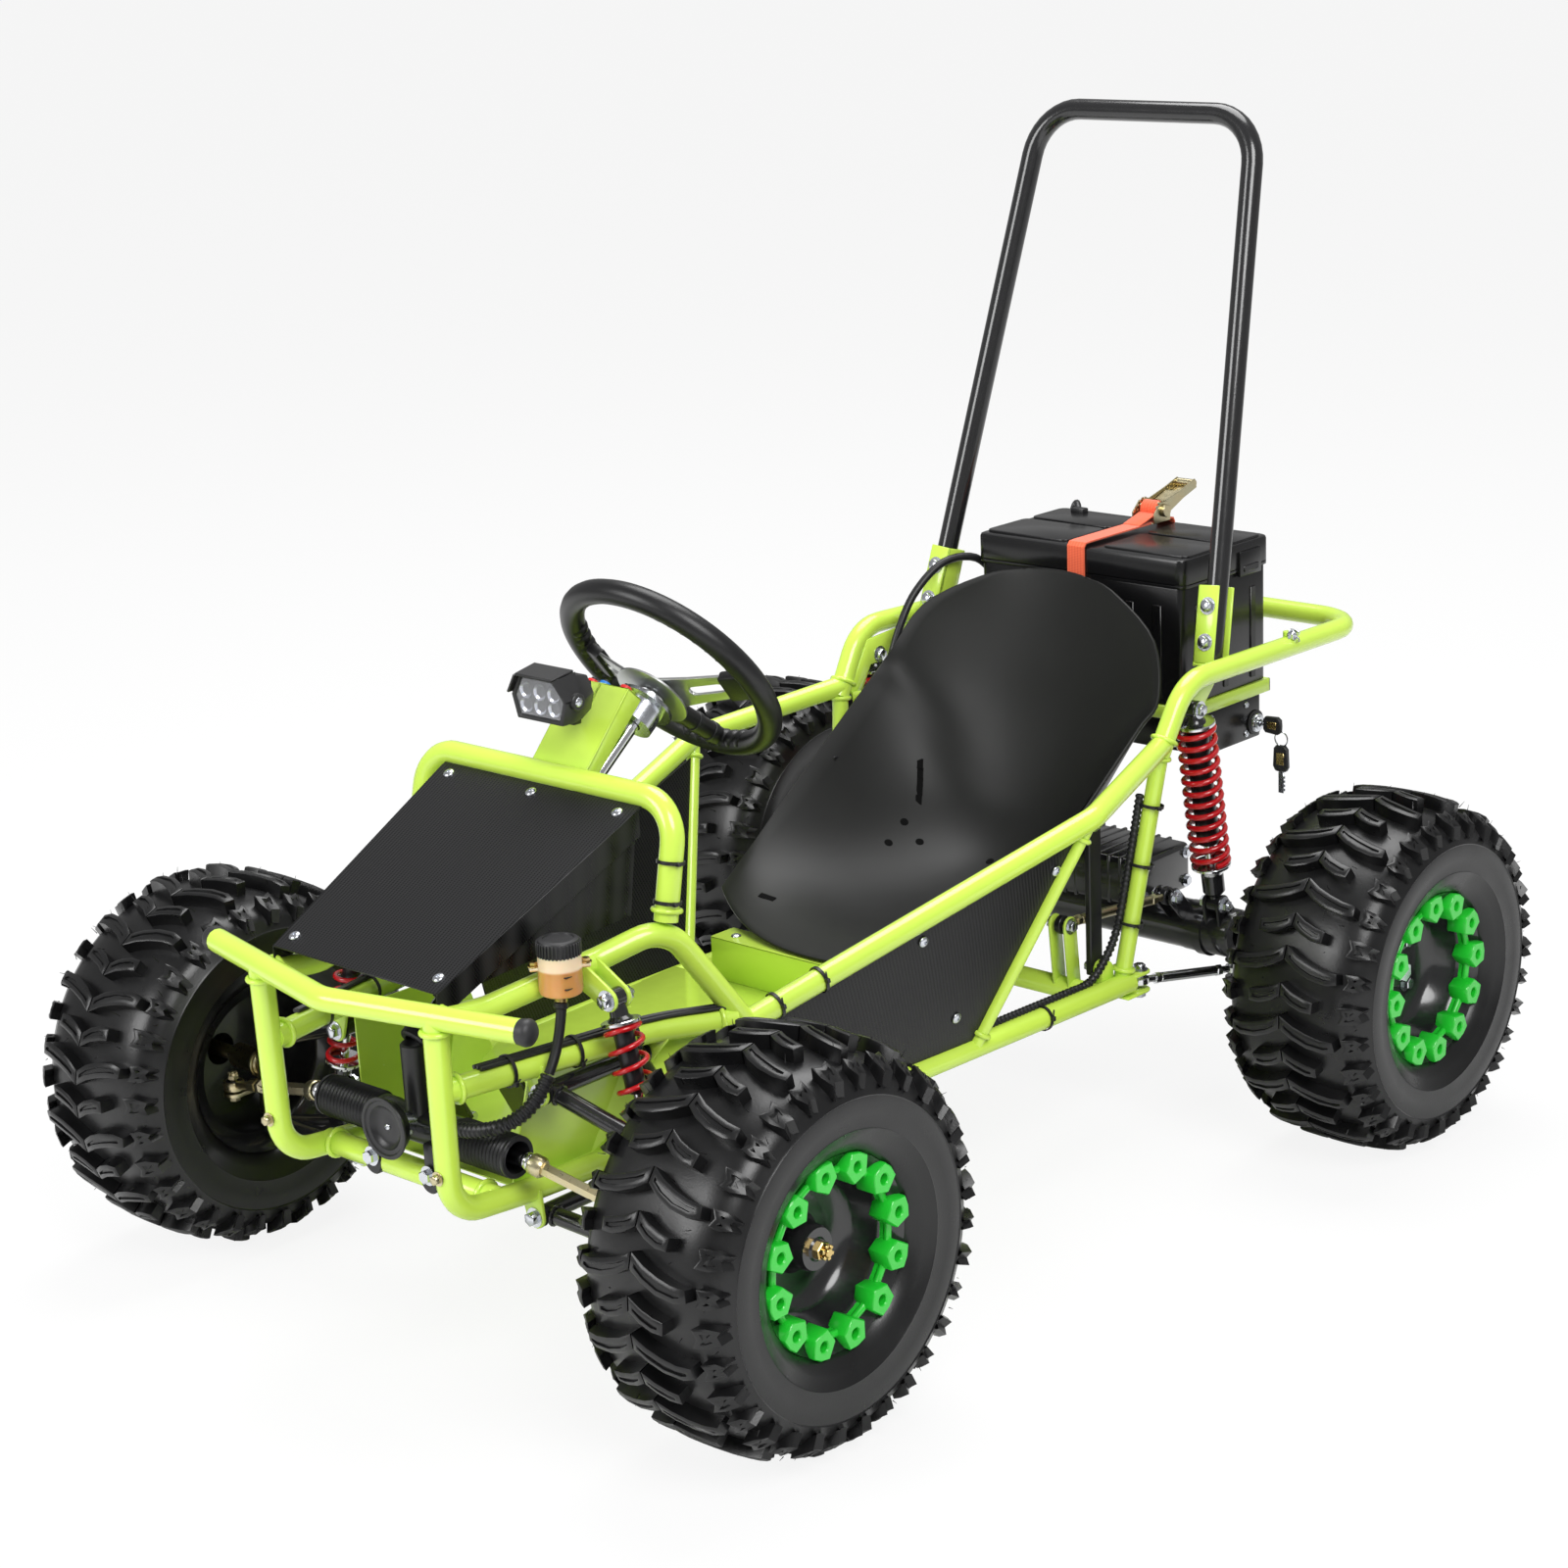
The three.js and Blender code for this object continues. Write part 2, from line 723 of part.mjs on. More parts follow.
const steeringWheel = {
  radius: 134,
  rimRadius: 13.5,
  rimSides: 6,
  rimSteps: 18,
  hubDrop: 38,
  hubRadius: 42,
  plateThickness: 4,
  spokeHalf: 15,
  spokeRootHalf: 24,
  nutRadius: 10,
  nutHeight: 12,
};
const column = {
  shaftRadius: 8,
  bearingRadius: 22,
  bearingTop: 47,
  bearingFoot: 76,
  flangeRadius: 31,
  flangeThickness: 5,
  foot: 480,
  halfWidth: 40,
  depth: 24,
  webHalf: 3,
  webShare: 0.72,
};
const columnShares = { faceFoot: [0, 0.1348, 1.075], faceTop: [0, 0.2132, 1.2344] };

// A plate that lies in a plane across the kart, from its outline of points in that plane.
function slab(points, x, thickness) {
  const placed = points.map((point) => at(x - thickness / 2, point.y, point.z));
  return plate(placed, thickness, alongX);
}

function columnBox() {
  const foot = spot(columnShares.faceFoot);
  const top = spot(columnShares.faceTop);
  const rise = top.clone().sub(foot).normalize();
  const back = alongX.clone().cross(rise).negate();
  const outline = [
    foot,
    top,
    top.clone().addScaledVector(back, column.depth),
    foot.clone().addScaledVector(back, column.depth),
  ];
  const face = [
    outline[0],
    outline[1],
    outline[1].clone().addScaledVector(back, sheet.thickness),
    outline[0].clone().addScaledVector(back, sheet.thickness),
  ];
  const web = [
    foot.clone().lerp(top, column.webShare),
    top,
    onColumn(column.bearingTop).addScaledVector(back, -column.shaftRadius - overrun),
    onColumn(column.bearingFoot).addScaledVector(back, -column.shaftRadius - overrun),
  ];
  return [
    slab(face, 0, 2 * column.halfWidth),
    slab(outline, column.halfWidth - sheet.thickness, sheet.thickness),
    slab(outline, sheet.thickness - column.halfWidth, sheet.thickness),
    slab(web, 0, 2 * column.webHalf),
  ];
}

const bearing = [
  rod(onColumn(column.bearingTop), onColumn(column.bearingFoot), column.bearingRadius),
  rod(
    onColumn(column.bearingTop),
    onColumn(column.bearingTop + column.flangeThickness),
    column.flangeRadius,
  ),
];
const bearingBore = rod(
  onColumn(column.bearingTop - overrun),
  onColumn(column.bearingFoot + overrun),
  column.shaftRadius + turnGap,
  12,
);
const hoop = cut(join(hoopTubes(0), columnBox(), bearing), bearingBore, ...railsOfBothSides);
add("steering_hoop", hoop, "frameGreen");

// Rear loop: the tube, the sockets of the roll bar, the shock gussets and the battery tray.
const rollBar = { radius: 12.5, bend: 62 };
const rollBarShares = { foot: [0.9009, 1.0209, 1.0059], corner: [0.6681, 1.1985, 2.1904] };
const socket = { height: 90 };
const gussetShares = [
  [0.9935, 0.8819, 0.8828],
  [0.9935, 0.9164, 0.9883],
  [0.9935, 1.0052, 1],
  [0.9935, 0.9655, 0.9258],
  [0.9935, 0.9216, 0.9258],
  [0.9935, 0.8986, 0.8516],
  [0.9935, 0.8861, 0.8516],
];
const battery = { width: 308, depth: 178, bodyHeight: 142, lidHeight: 38, wall: 3 };
const batteryShares = { frontFoot: [0, 1.0439, 0.875], armFront: [0.9871, 0.884, 0.875] };
const tray = { height: 16, wall: 9, armThickness: 4 };
const boxFront = spot(batteryShares.frontFoot);
const boxHalf = battery.width / 2;
const boxBack = boxFront.y + battery.depth;

function traySolid() {
  const top = boxFront.z - seatGap;
  const low = top - tray.height;
  const outer = block(at(-boxHalf, boxFront.y, low), at(boxHalf, boxBack, top));
  const inner = block(
    at(tray.wall - boxHalf, boxFront.y + tray.wall, low - overrun),
    at(boxHalf - tray.wall, boxBack - tray.wall, top - battery.wall),
  );
  const front = spot(batteryShares.armFront).setZ(low);
  const back = at(boxHalf - battery.wall, boxFront.y + 2 * battery.wall, low);
  const arm = plate(
    [front, back, back.clone().setZ(top), front.clone().setZ(top)],
    tray.armThickness,
    at(-1, -1, 0),
  );
  return [cut(outer, inner), arm, mirrored(arm)];
}

function socketSolid() {
  const foot = spot(rollBarShares.foot);
  const reach = rollBar.radius + seatGap;
  const top = foot.z + socket.height;
  const floor = foot.z - seatGap - sheet.tab;
  const front = foot.y - reach - sheet.tab;
  const rear = foot.y + reach;
  const loopX = spot(frameShares.loopCorner).x;
  const corner = spot(rollBarShares.corner);
  const lean = ((foot.x - corner.x) * socket.height) / (corner.z - foot.z);
  const inner = foot.x - reach - lean;
  const outer = foot.x + reach;
  return [
    block(at(inner - sheet.tab, front, floor), at(loopX, rear, foot.z - seatGap)),
    block(at(inner - sheet.tab, front, floor), at(outer + sheet.tab, front + sheet.tab, top)),
    block(at(inner - sheet.tab, front, floor), at(inner, rear, top)),
    block(at(outer, front, floor), at(outer + sheet.tab, rear, top)),
  ];
}

function gussetSolid() {
  const points = gussetShares.map((shares) => spot(shares));
  const top = spot(rearShockShares.top);
  const pin = rod(
    at(points[0].x, top.y, top.z),
    at(top.x + rearShock.eyeHalf + seatGap + bolt.headHeight, top.y, top.z),
    bolt.radius,
    pinSides,
  );
  return [slab(points, points[0].x, sheet.tab), pin];
}

const loopSide = join(socketSolid(), gussetSolid());
add("rear_loop", join(loopTubes(0), traySolid(), loopSide, mirrored(loopSide)), "frameGreen");

const barFoot = spot(rollBarShares.foot);
const barCorner = spot(rollBarShares.corner);
barCorner.z = kartHeight - rollBar.radius;
const barPath = [barFoot, barCorner, ...[barCorner, barFoot].map((point) => at(-point.x, point.y, point.z))];
const barTube = tube(barPath, rollBar.radius, rollBar.bend);
const barFloor = block(
  at(-frameHalf, barFoot.y - frameHalf, barFoot.z - frameHalf),
  at(frameHalf, barFoot.y + frameHalf, barFoot.z),
);
add("roll_bar", cut(barTube, barFloor), "blackGloss");

// Seat: a bucket given by its middle line and its edge, row by row from the front lip to the top.
const seatRowShares = [
  [[0, 0.5225, 0.4922], [0.8621, 0.5956, 0.543]],
  [[0, 0.5852, 0.5117], [0.8621, 0.6343, 0.5918]],
  [[0, 0.6792, 0.5039], [0.8621, 0.6917, 0.666]],
  [[0, 0.7732, 0.5117], [0.8621, 0.7492, 0.7402]],
  [[0, 0.8464, 0.5469], [0.8621, 0.8015, 0.8066]],
  [[0, 0.8986, 0.6152], [0.8621, 0.8485, 0.8672]],
  [[0, 0.93, 0.7129], [0.8621, 0.8882, 0.918]],
  [[0, 0.9561, 0.8398], [0.8621, 0.9237, 0.9648]],
  [[0, 0.977, 0.9863], [0.7328, 0.9572, 1.0781]],
  [[0, 0.9948, 1.1191], [0.4052, 0.9864, 1.1562]],
  [[0, 1.0031, 1.1816], [0.1983, 1.001, 1.1758]],
];
const seat = {
  thickness: 4,
  columns: 8,
  sideCurve: 2.2,
  legWidth: 2 * seatLegHalf,
  legDepth: 22,
  legClear: 30,
};

function seatGrid() {
  return seatRowShares.map(([middleShares, edgeShares]) => {
    const middle = spot(middleShares);
    const edge = spot(edgeShares);
    const row = [];
    for (let k = 0; k <= seat.columns; k += 1) {
      const v = (2 * k) / seat.columns - 1;
      const rise = Math.abs(v) ** seat.sideCurve;
      row.push(at(edge.x * v, middle.y + (edge.y - middle.y) * rise, middle.z + (edge.z - middle.z) * rise));
    }
    return row;
  });
}

const seatShares = { legFoot: [0.819, 0.8067, 0.3779], legTop: [0.819, 0.8067, 0.7969] };

function seatLeg(extra) {
  const foot = spot(seatShares.legFoot);
  const top = spot(seatShares.legTop);
  return block(
    at(foot.x - seat.legWidth / 2 - extra, foot.y - seat.legDepth / 2 - extra, foot.z - extra),
    at(foot.x + seat.legWidth / 2 + extra, foot.y + seat.legDepth / 2 + extra, top.z),
  );
}

const seatShell = shell(seatGrid(), seat.thickness, 0, 0);
const overSeat = shell(seatGrid(), seat.thickness / 2, 0, seat.legClear);
const tabEye = spot(seatTabShares.eye);
const legBolt = rod(
  at(tabEye.x - seat.legWidth - frameTube.radius, tabEye.y, tabEye.z),
  at(tabEye.x, tabEye.y, tabEye.z),
  bolt.radius + seatGap,
);
const leg = cut(seatLeg(0), overSeat, legBolt);
add("seat", join(seatShell, leg, mirrored(leg)), "blackSatin");

// Floor pan: the floor between the lower rails, its side plates, and the bars that carry the seat.
const panShares = {
  outline: [
    [0.4741, -0.0627, 0.3809],
    [0.4741, 0.0481, 0.3809],
    [0.8448, 0.2111, 0.3809],
    [0.9138, 0.5225, 0.3809],
  ],
  wallFoot: [[0.4698, -0.0627, 0.3789], [0.4698, 0.0481, 0.3789], [0.8276, 0.2006, 0.3789]],
  wallTop: [[0.5647, -0.0481, 0.6367], [0.5733, 0.1066, 0.6328], [0.8448, 0.1546, 0.6328]],
  riserTop: [0.6466, 0.5225, 0.4824],
  barEnd: [0.3664, 0.7774, 0.3535],
  barPost: [0.3664, 0.7774, 0.5312],
};
const pan = { thickness: 2, riserDepth: 36, barWidth: 20, barThickness: 6, postRadius: 8 };

function floorPan() {
  const leftEdge = panShares.outline.map((shares) => spot(shares));
  const rightEdge = [...leftEdge].reverse().map((point) => at(-point.x, point.y, point.z));
  const floor = plate([...leftEdge, ...rightEdge], pan.thickness, up);
  const wall = shell(
    [panShares.wallFoot, panShares.wallTop].map((row) => row.map((shares) => spot(shares))),
    pan.thickness,
  );
  const riser = spot(panShares.riserTop);
  const floorZ = leftEdge[0].z;
  const riserPlates = [
    block(at(-riser.x, riser.y - pan.thickness, floorZ), riser),
    block(
      at(-riser.x, riser.y - pan.thickness, riser.z - pan.thickness),
      at(riser.x, riser.y + pan.riserDepth, riser.z),
    ),
  ];
  const barEnd = spot(panShares.barEnd);
  const bar = block(
    at(barEnd.x - pan.barWidth / 2, riser.y - pan.riserDepth, floorZ - pan.barThickness),
    at(barEnd.x + pan.barWidth / 2, barEnd.y, floorZ + overrun / 2),
  );
  const postFoot = at(barEnd.x, barEnd.y, floorZ - pan.barThickness);
  const post = rod(postFoot, spot(panShares.barPost), pan.postRadius);
  const cross = rod(
    spot(crossTubeShares.rear),
    spot(crossTubeShares.rear, -1),
    frameTube.radius,
    frameTube.sides,
  );
  const linkEye = spot(linkShares.upperFront);
  const linkRoot = at(linkEye.x, spot(crossTubeShares.rear).y, spot(crossTubeShares.rear).z);
  const bars = join(bar, post, cross);
  const clevis = linkClevis(linkEye, linkRoot, alongX);
  return join(floor, wall, mirrored(wall), riserPlates, bars, mirrored(bars), clevis);
}

const seatSpace = shell(seatGrid(), seat.thickness, seatGap, seat.legClear);
add("floor_pan", cut(floorPan(), ...railsOfBothSides, ...tool.bumper, seatSpace), "frameGreen");

// Panels
const panel = { thickness: 2, flange: 28 };
const noseShares = {
  rear: [0.6164, 0.1129, 1.0664],
  front: [0.5216, -0.1557, 0.8281],
  wallRear: [0.6034, 0.0961, 0.8594],
  wallFront: [0.4871, -0.1421, 0.8047],
};

function nosePanel() {
  const rear = spot(noseShares.rear);
  const front = spot(noseShares.front);
  const rise = rear.clone().sub(front).setX(0).normalize();
  const normal = alongX.clone().cross(rise);
  const top = plate(
    [front, rear, at(-rear.x, rear.y, rear.z), at(-front.x, front.y, front.z)],
    panel.thickness,
    normal.clone().negate(),
  );
  const drop = at(0, 0, -panel.flange);
  const flange = plate(
    [front, rear, rear.clone().add(drop), front.clone().add(drop)],
    panel.thickness,
    at(-1, 0, 0),
  );
  const inset = at(-2 * panel.thickness, 0, 0);
  const wallRear = spot(noseShares.wallRear);
  const wallFront = spot(noseShares.wallFront);
  const wallTop = [rear, front].map((point) => point.clone().add(inset).setZ(point.z - panel.thickness));
  const wall = plate([wallFront, wallRear, ...wallTop], panel.thickness, at(-1, 0, 0));
  const lip = plate(
    [front, rear, rear.clone().addScaledVector(inset, 2), front.clone().addScaledVector(inset, 2)],
    panel.thickness,
    normal.clone().negate(),
  );
  const side = join(flange, wall, lip);
  return join(top, side, mirrored(side));
}

add("nose_panel", cut(nosePanel(), hoopTubes(seatGap), ...railsOfBothSides, ...tool.bumper), "carbon");

const sidePanelShares = {
  foot: [[0.8879, 0.2236, 0.3691], [0.931, 0.5507, 0.3711]],
  top: [[0.8836, 0.1923, 0.6094], [1.2371, 0.6499, 0.8008]],
};

function sidePanel() {
  const columns = 4;
  const rows = 2;
  const [footFront, footRear] = sidePanelShares.foot.map((shares) => spot(shares));
  const [topFront, topRear] = sidePanelShares.top.map((shares) => spot(shares));
  const pointAt = (u, v) => footFront.clone().lerp(footRear, u).lerp(topFront.clone().lerp(topRear, u), v);
  const grid = [];
  for (let i = 0; i <= rows; i += 1) {
    const row = [];
    for (let k = 0; k <= columns; k += 1) row.push(pointAt(k / columns, i / rows));
    grid.push(row);
  }
  return shell(grid, panel.thickness);
}

addPair("side_panel", cut(sidePanel(), ...tool.rails), "carbon");

// Battery box, its lid, the strap and its ratchet, and the controller box under the tray.
const boxTop = boxFront.z + battery.bodyHeight;
const lidTop = boxTop + seatGap + battery.lidHeight;

function roundedBox(low, high, corner) {
  const shape = new THREE.Shape();
  const [x0, y0, x1, y1] = [low.x, low.y, high.x, high.y];
  const quarter = Math.PI / 2;
  shape.absarc(x1 - corner, y1 - corner, corner, 0, quarter);
  shape.absarc(x0 + corner, y1 - corner, corner, quarter, 2 * quarter);
  shape.absarc(x0 + corner, y0 + corner, corner, 2 * quarter, 3 * quarter);
  shape.absarc(x1 - corner, y0 + corner, corner, 3 * quarter, 4 * quarter);
  const geometry = new THREE.ExtrudeGeometry(shape, {
    depth: high.z - low.z,
    bevelEnabled: false,
    curveSegments: 2,
  });
  return solidOf(geometry.translate(0, 0, low.z));
}

const boxCorner = 12;
add(
  "battery_box",
  roundedBox(at(-boxHalf, boxFront.y, boxFront.z), at(boxHalf, boxBack, boxTop), boxCorner),
  "blackSatin",
);
add(
  "battery_lid",
  roundedBox(at(-boxHalf, boxFront.y, boxTop + seatGap), at(boxHalf, boxBack, lidTop), boxCorner),
  "blackSatin",
);

const strap = {
  width: 25,
  thickness: 2,
  cheekHalf: 17,
  cheekThickness: 2,
  cheekHeight: 20,
  cheekFrontShare: 0.74,
  cheekBackShare: 0.93,
  spoolShare: 0.86,
  spoolRadius: 4,
  spoolHeight: 13,
  footClear: 6,
};
const strapTop = lidTop + seatGap + strap.thickness;
const strapFront = boxFront.y - seatGap;
const strapBack = boxBack + seatGap;
const spool = at(0, boxFront.y + battery.depth * strap.spoolShare, strapTop + strap.spoolHeight);

function strapSolid() {
  const half = strap.width / 2;
  const low = boxFront.z + strap.footClear;
  const cheekFront = boxFront.y + battery.depth * strap.cheekFrontShare;
  const cheekBack = boxFront.y + battery.depth * strap.cheekBackShare;
  const cheeks = [strap.cheekHalf - strap.cheekThickness, -strap.cheekHalf].map((x) =>
    block(
      at(x, cheekFront, strapTop - strap.thickness),
      at(x + strap.cheekThickness, cheekBack, strapTop + strap.cheekHeight),
    ),
  );
  return join(
    block(at(-half, strapFront - strap.thickness, low), at(half, strapFront, strapTop)),
    block(at(-half, strapBack, low), at(half, strapBack + strap.thickness, strapTop)),
    block(at(-half, strapFront - strap.thickness, strapTop - strap.thickness), at(half, strapBack, strapTop)),
    block(
      at(-strap.cheekHalf, cheekFront, strapTop - strap.thickness),
      at(strap.cheekHalf, cheekFront + strap.spoolRadius, strapTop + strap.thickness),
    ),
    cheeks,
    rod(spool.clone().setX(-strap.cheekHalf), spool.clone().setX(strap.cheekHalf), strap.spoolRadius, 6),
  );
}

add("battery_strap", strapSolid(), "strapOrange");

const ratchet = {
  length: 74,
  cheekHalf: 13,
  thickness: 2,
  height: 12,
  gripRadius: 5,
  rise: 0.3,
  eyeRadius: 8,
};

function ratchetHandle() {
  const way = at(0, Math.cos(ratchet.rise), Math.sin(ratchet.rise));
  const end = spool.clone().addScaledVector(way, ratchet.length);
  const shape = { thickness: ratchet.thickness, rootHalf: ratchet.height / 2, eyeRadius: ratchet.eyeRadius };
  const cheeks = [-1, 1].map((sign) => {
    const x = sign * (ratchet.cheekHalf - ratchet.thickness / 2);
    return lug(end.clone().setX(x), spool.clone().setX(x), alongX, shape);
  });
  const grip = rod(
    end.clone().setX(-ratchet.cheekHalf),
    end.clone().setX(ratchet.cheekHalf),
    ratchet.gripRadius,
    6,
  );
  const bore = rod(
    spool.clone().setX(-strap.cheekHalf - overrun),
    spool.clone().setX(strap.cheekHalf + overrun),
    strap.spoolRadius + turnGap,
    12,
  );
  return cut(join(cheeks, grip), bore);
}

add("ratchet_handle", ratchetHandle(), "goldZinc");

const controller = { width: 300, depth: 117, height: 53, backStep: 13 };
const lock = { radius: 11.5, height: 8, backShare: 0.12, riseShare: 0.36, bore: 4.6 };
const controllerTop = boxFront.z - seatGap - tray.height - seatGap;
const controllerBack = boxBack - controller.backStep;
const lockCentre = at(
  controller.width / 2,
  controllerBack - controller.depth * lock.backShare,
  controllerTop - controller.height + controller.height * lock.riseShare,
);
const lockFace = controller.width / 2 + lock.height;

const controllerBody = roundedBox(
  at(-controller.width / 2, controllerBack - controller.depth, controllerTop - controller.height),
  at(controller.width / 2, controllerBack, controllerTop),
  boxCorner / 2,
);
const lockBarrel = rod(
  lockCentre.clone().setX(controller.width / 2 - lock.height),
  lockCentre.clone().setX(lockFace),
  lock.radius,
  10,
);
const keyhole = rod(
  lockCentre.clone().setX(controller.width / 2 - overrun),
  lockCentre.clone().setX(lockFace + overrun),
  lock.bore,
  8,
);
add("controller_box", cut(join(controllerBody, lockBarrel), keyhole), "blackSatin");

const key = {
  bladeRadius: 4,
  bladeLength: 16,
  headLength: 26,
  headHeight: 22,
  headThickness: 6,
  ringRadius: 9,
  ringWire: 0.8,
  spareDrop: 34,
  spareBlade: 26,
};

function ignitionKey() {
  const start = lockCentre.clone().setX(controller.width / 2 - overrun + turnGap);
  const headStart = lockFace + key.bladeLength - key.headHeight / 2;
  const head = block(
    at(headStart, lockCentre.y - key.headThickness / 2, lockCentre.z - key.headHeight / 2),
    at(headStart + key.headLength, lockCentre.y + key.headThickness / 2, lockCentre.z + key.headHeight / 2),
  );
  const ringCentre = at(
    headStart + key.headLength - key.ringWire,
    lockCentre.y,
    lockCentre.z - key.headHeight / 2 - key.ringRadius / 2,
  );
  const ring = new THREE.TorusGeometry(key.ringRadius, key.ringWire, 3, 8);
  ring.rotateX(Math.PI / 2).translate(...ringCentre.toArray());
  const spareTop = ringCentre.z - key.ringRadius + 2 * key.ringWire;
  const spareHead = block(
    at(ringCentre.x - key.headHeight / 2, lockCentre.y - key.headThickness / 2, spareTop - key.spareDrop),
    at(ringCentre.x + key.headHeight / 2, lockCentre.y + key.headThickness / 2, spareTop),
  );
  const spareBlade = block(
    at(
      ringCentre.x - key.bladeRadius,
      lockCentre.y - key.ringWire,
      spareTop - key.spareDrop - key.spareBlade,
    ),
    at(ringCentre.x + key.bladeRadius, lockCentre.y + key.ringWire, spareTop - key.spareDrop + overrun),
  );
  return join(
    rod(start, at(headStart + overrun, start.y, start.z), key.bladeRadius, 8),
    head,
    solidOf(ring),
    spareHead,
    spareBlade,
  );
}

add("ignition_key", ignitionKey(), "blackSatin");

// Headlight: a hooded lamp on a bracket from the face of the column box.
const lamp = {
  width: 80,
  depth: 50,
  height: 48,
  taper: 0.72,
  lowCorner: 0.82,
  topCorner: 0.7,
  bracketHalf: 10,
  bracketDrop: 0.45,
  bracketFoot: 0.55,
  bracketTop: 0.88,
};
const lampShares = { centre: [0, 0.1473, 1.2383] };

function headlight() {
  const centre = spot(lampShares.centre);
  const front = centre.y - lamp.depth / 2;
  const rear = centre.y + lamp.depth / 2;
  const section = (y, scale) => {
    const w = (lamp.width / 2) * scale;
    const h = (lamp.height / 2) * scale;
    return [
      at(-w, y, centre.z),
      at(-w * lamp.lowCorner, y, centre.z - h),
      at(w * lamp.lowCorner, y, centre.z - h),
      at(w, y, centre.z),
      at(w * lamp.topCorner, y, centre.z + h),
      at(-w * lamp.topCorner, y, centre.z + h),
    ];
  };
  const body = ringed([section(front, 1), section(centre.y, 1), section(rear, lamp.taper)]);
  const foot = spot(columnShares.faceFoot);
  const top = spot(columnShares.faceTop);
  const out = top.clone().sub(foot).normalize().cross(alongX).multiplyScalar(-seatGap);
  const bracket = slab(
    [
      at(0, centre.y, centre.z),
      at(0, centre.y, centre.z - lamp.height * lamp.bracketDrop),
      foot.clone().lerp(top, lamp.bracketFoot).add(out),
      foot.clone().lerp(top, lamp.bracketTop).add(out),
    ],
    0,
    2 * lamp.bracketHalf,
  );
  return join(body, bracket);
}

add("headlight", headlight(), "blackSatin");

// Brake reservoir with its hose: plain at the top, ribbed from the bend down.
const reservoir = { radius: 21.5, height: 40, capHeight: 16, capRadius: 22.5 };
const reservoirShares = { foot: [0.6983, -0.0293, 0.7793] };
const hose = { radius: 6, ribRadius: 8, rootRadius: 6.5, bore: 3, ribPitch: 20, lap: 0.02, sides: 6 };
const hoseRouteShares = [
  [0.7069, -0.0313, 0.7852],
  [0.7155, -0.0355, 0.7422],
  [0.7284, -0.047, 0.6836],
  [0.7328, -0.0627, 0.6348],
  [0.7112, -0.0773, 0.5918],
  [0.6681, -0.092, 0.5625],
  [0.5948, -0.1055, 0.543],
  [0.4828, -0.1129, 0.5293],
  [0.3664, -0.1129, 0.5195],
  [0.2526, -0.1066, 0.5039],
];
const hoseRibStart = 0.34;

function smooth(pointShares) {
  return new THREE.CatmullRomCurve3(pointShares.map((shares) => spot(shares)), false, "centripetal");
}

function alongCurve(curve, from, to, radius, steps, sides) {
  const rings = [];
  for (let k = 0; k <= steps; k += 1) {
    const u = from + ((to - from) * k) / steps;
    rings.push(ringAt(curve.getPointAt(u), curve.getTangentAt(u), radius, sides));
  }
  return ringed(rings);
}

function ribbed(curve, from, to, { ribRadius, rootRadius, ribPitch, sides }) {
  const ribs = Math.round((curve.getLength() * (to - from)) / ribPitch);
  const rings = [ringAt(curve.getPointAt(from), curve.getTangentAt(from), rootRadius, sides)];
  for (let k = 0; k < ribs; k += 1) {
    [ribRadius, rootRadius].forEach((radius, half) => {
      const u = from + ((to - from) * (k + (half + 1) / 2)) / ribs;
      rings.push(ringAt(curve.getPointAt(u), curve.getTangentAt(u), radius, sides));
    });
  }
  return ringed(rings);
}

function brakeReservoir() {
  const foot = spot(reservoirShares.foot);
  const shoulder = foot.clone().setZ(foot.z + reservoir.height);
  const top = foot.clone().setZ(shoulder.z + reservoir.capHeight);
  const curve = smooth(hoseRouteShares);
  const tubeSteps = 5;
  const boreSteps = 7;
  const bore = alongCurve(curve, hoseRibStart / 2, 1, hose.bore, boreSteps, hose.sides);
  const mouth = rod(
    curve.getPointAt(1).addScaledVector(curve.getTangentAt(1), -overrun),
    curve.getPointAt(1).addScaledVector(curve.getTangentAt(1), overrun),
    hose.bore,
    hose.sides,
  );
  const pipe = join(
    alongCurve(curve, 0, hoseRibStart, hose.radius, tubeSteps, hose.sides),
    ribbed(curve, hoseRibStart - hose.lap, 1, hose),
  );
  const tank = join(rod(foot, shoulder, reservoir.radius, 12), rod(shoulder, top, reservoir.capRadius, 12));
  return cut(join(cut(tank, ...tool.rails), pipe), bore, mouth);
}

add("brake_reservoir", brakeReservoir(), "amber");

// Wiring loom: along the upright and forward on the lower rail.
const loomRouteShares = [
  [0.9612, 0.8548, 0.7812],
  [0.9422, 0.8464, 0.6836],
  [0.9159, 0.8365, 0.5664],
  [0.8966, 0.8265, 0.4766],
  [0.8966, 0.8067, 0.4258],
  [0.9043, 0.7701, 0.3828],
  [0.9009, 0.7231, 0.3811],
  [0.8966, 0.6656, 0.3824],
  [0.8909, 0.6029, 0.384],
  [0.8845, 0.5308, 0.3857],
];
const loom = { radius: 5, steps: 10, sides: 6 };
const loomSolid = alongCurve(smooth(loomRouteShares), 0, 1, loom.radius, loom.steps, loom.sides);
add("wiring_loom", cut(loomSolid, ...tool.rails), "rubber");

// Rack: its housing with the bellows and the horn, and the bar that slides in it.
const rack = {
  barRadius: 7,
  housingRadius: 20,
  housingHalf: 58,
  bellowsOuter: 22,
  bellowsRoot: 18,
  bellowsBore: 16,
  bellowsRibs: 5,
  bellowsEnd: 140,
  towerRadius: 14,
  cupRadius: 16,
  cupTop: 450,
  cupFoot: 486,
  footHalf: 9,
  footSpan: 42,
  hornRadius: 32.5,
  hornDepth: 16,
  hornNeck: 12,
  hornTaper: 0.8,
};
const rackShares = { centre: [0, -0.0815, 0.4688], horn: [0, -0.1327, 0.4922] };
const rackCentre = spot(rackShares.centre);

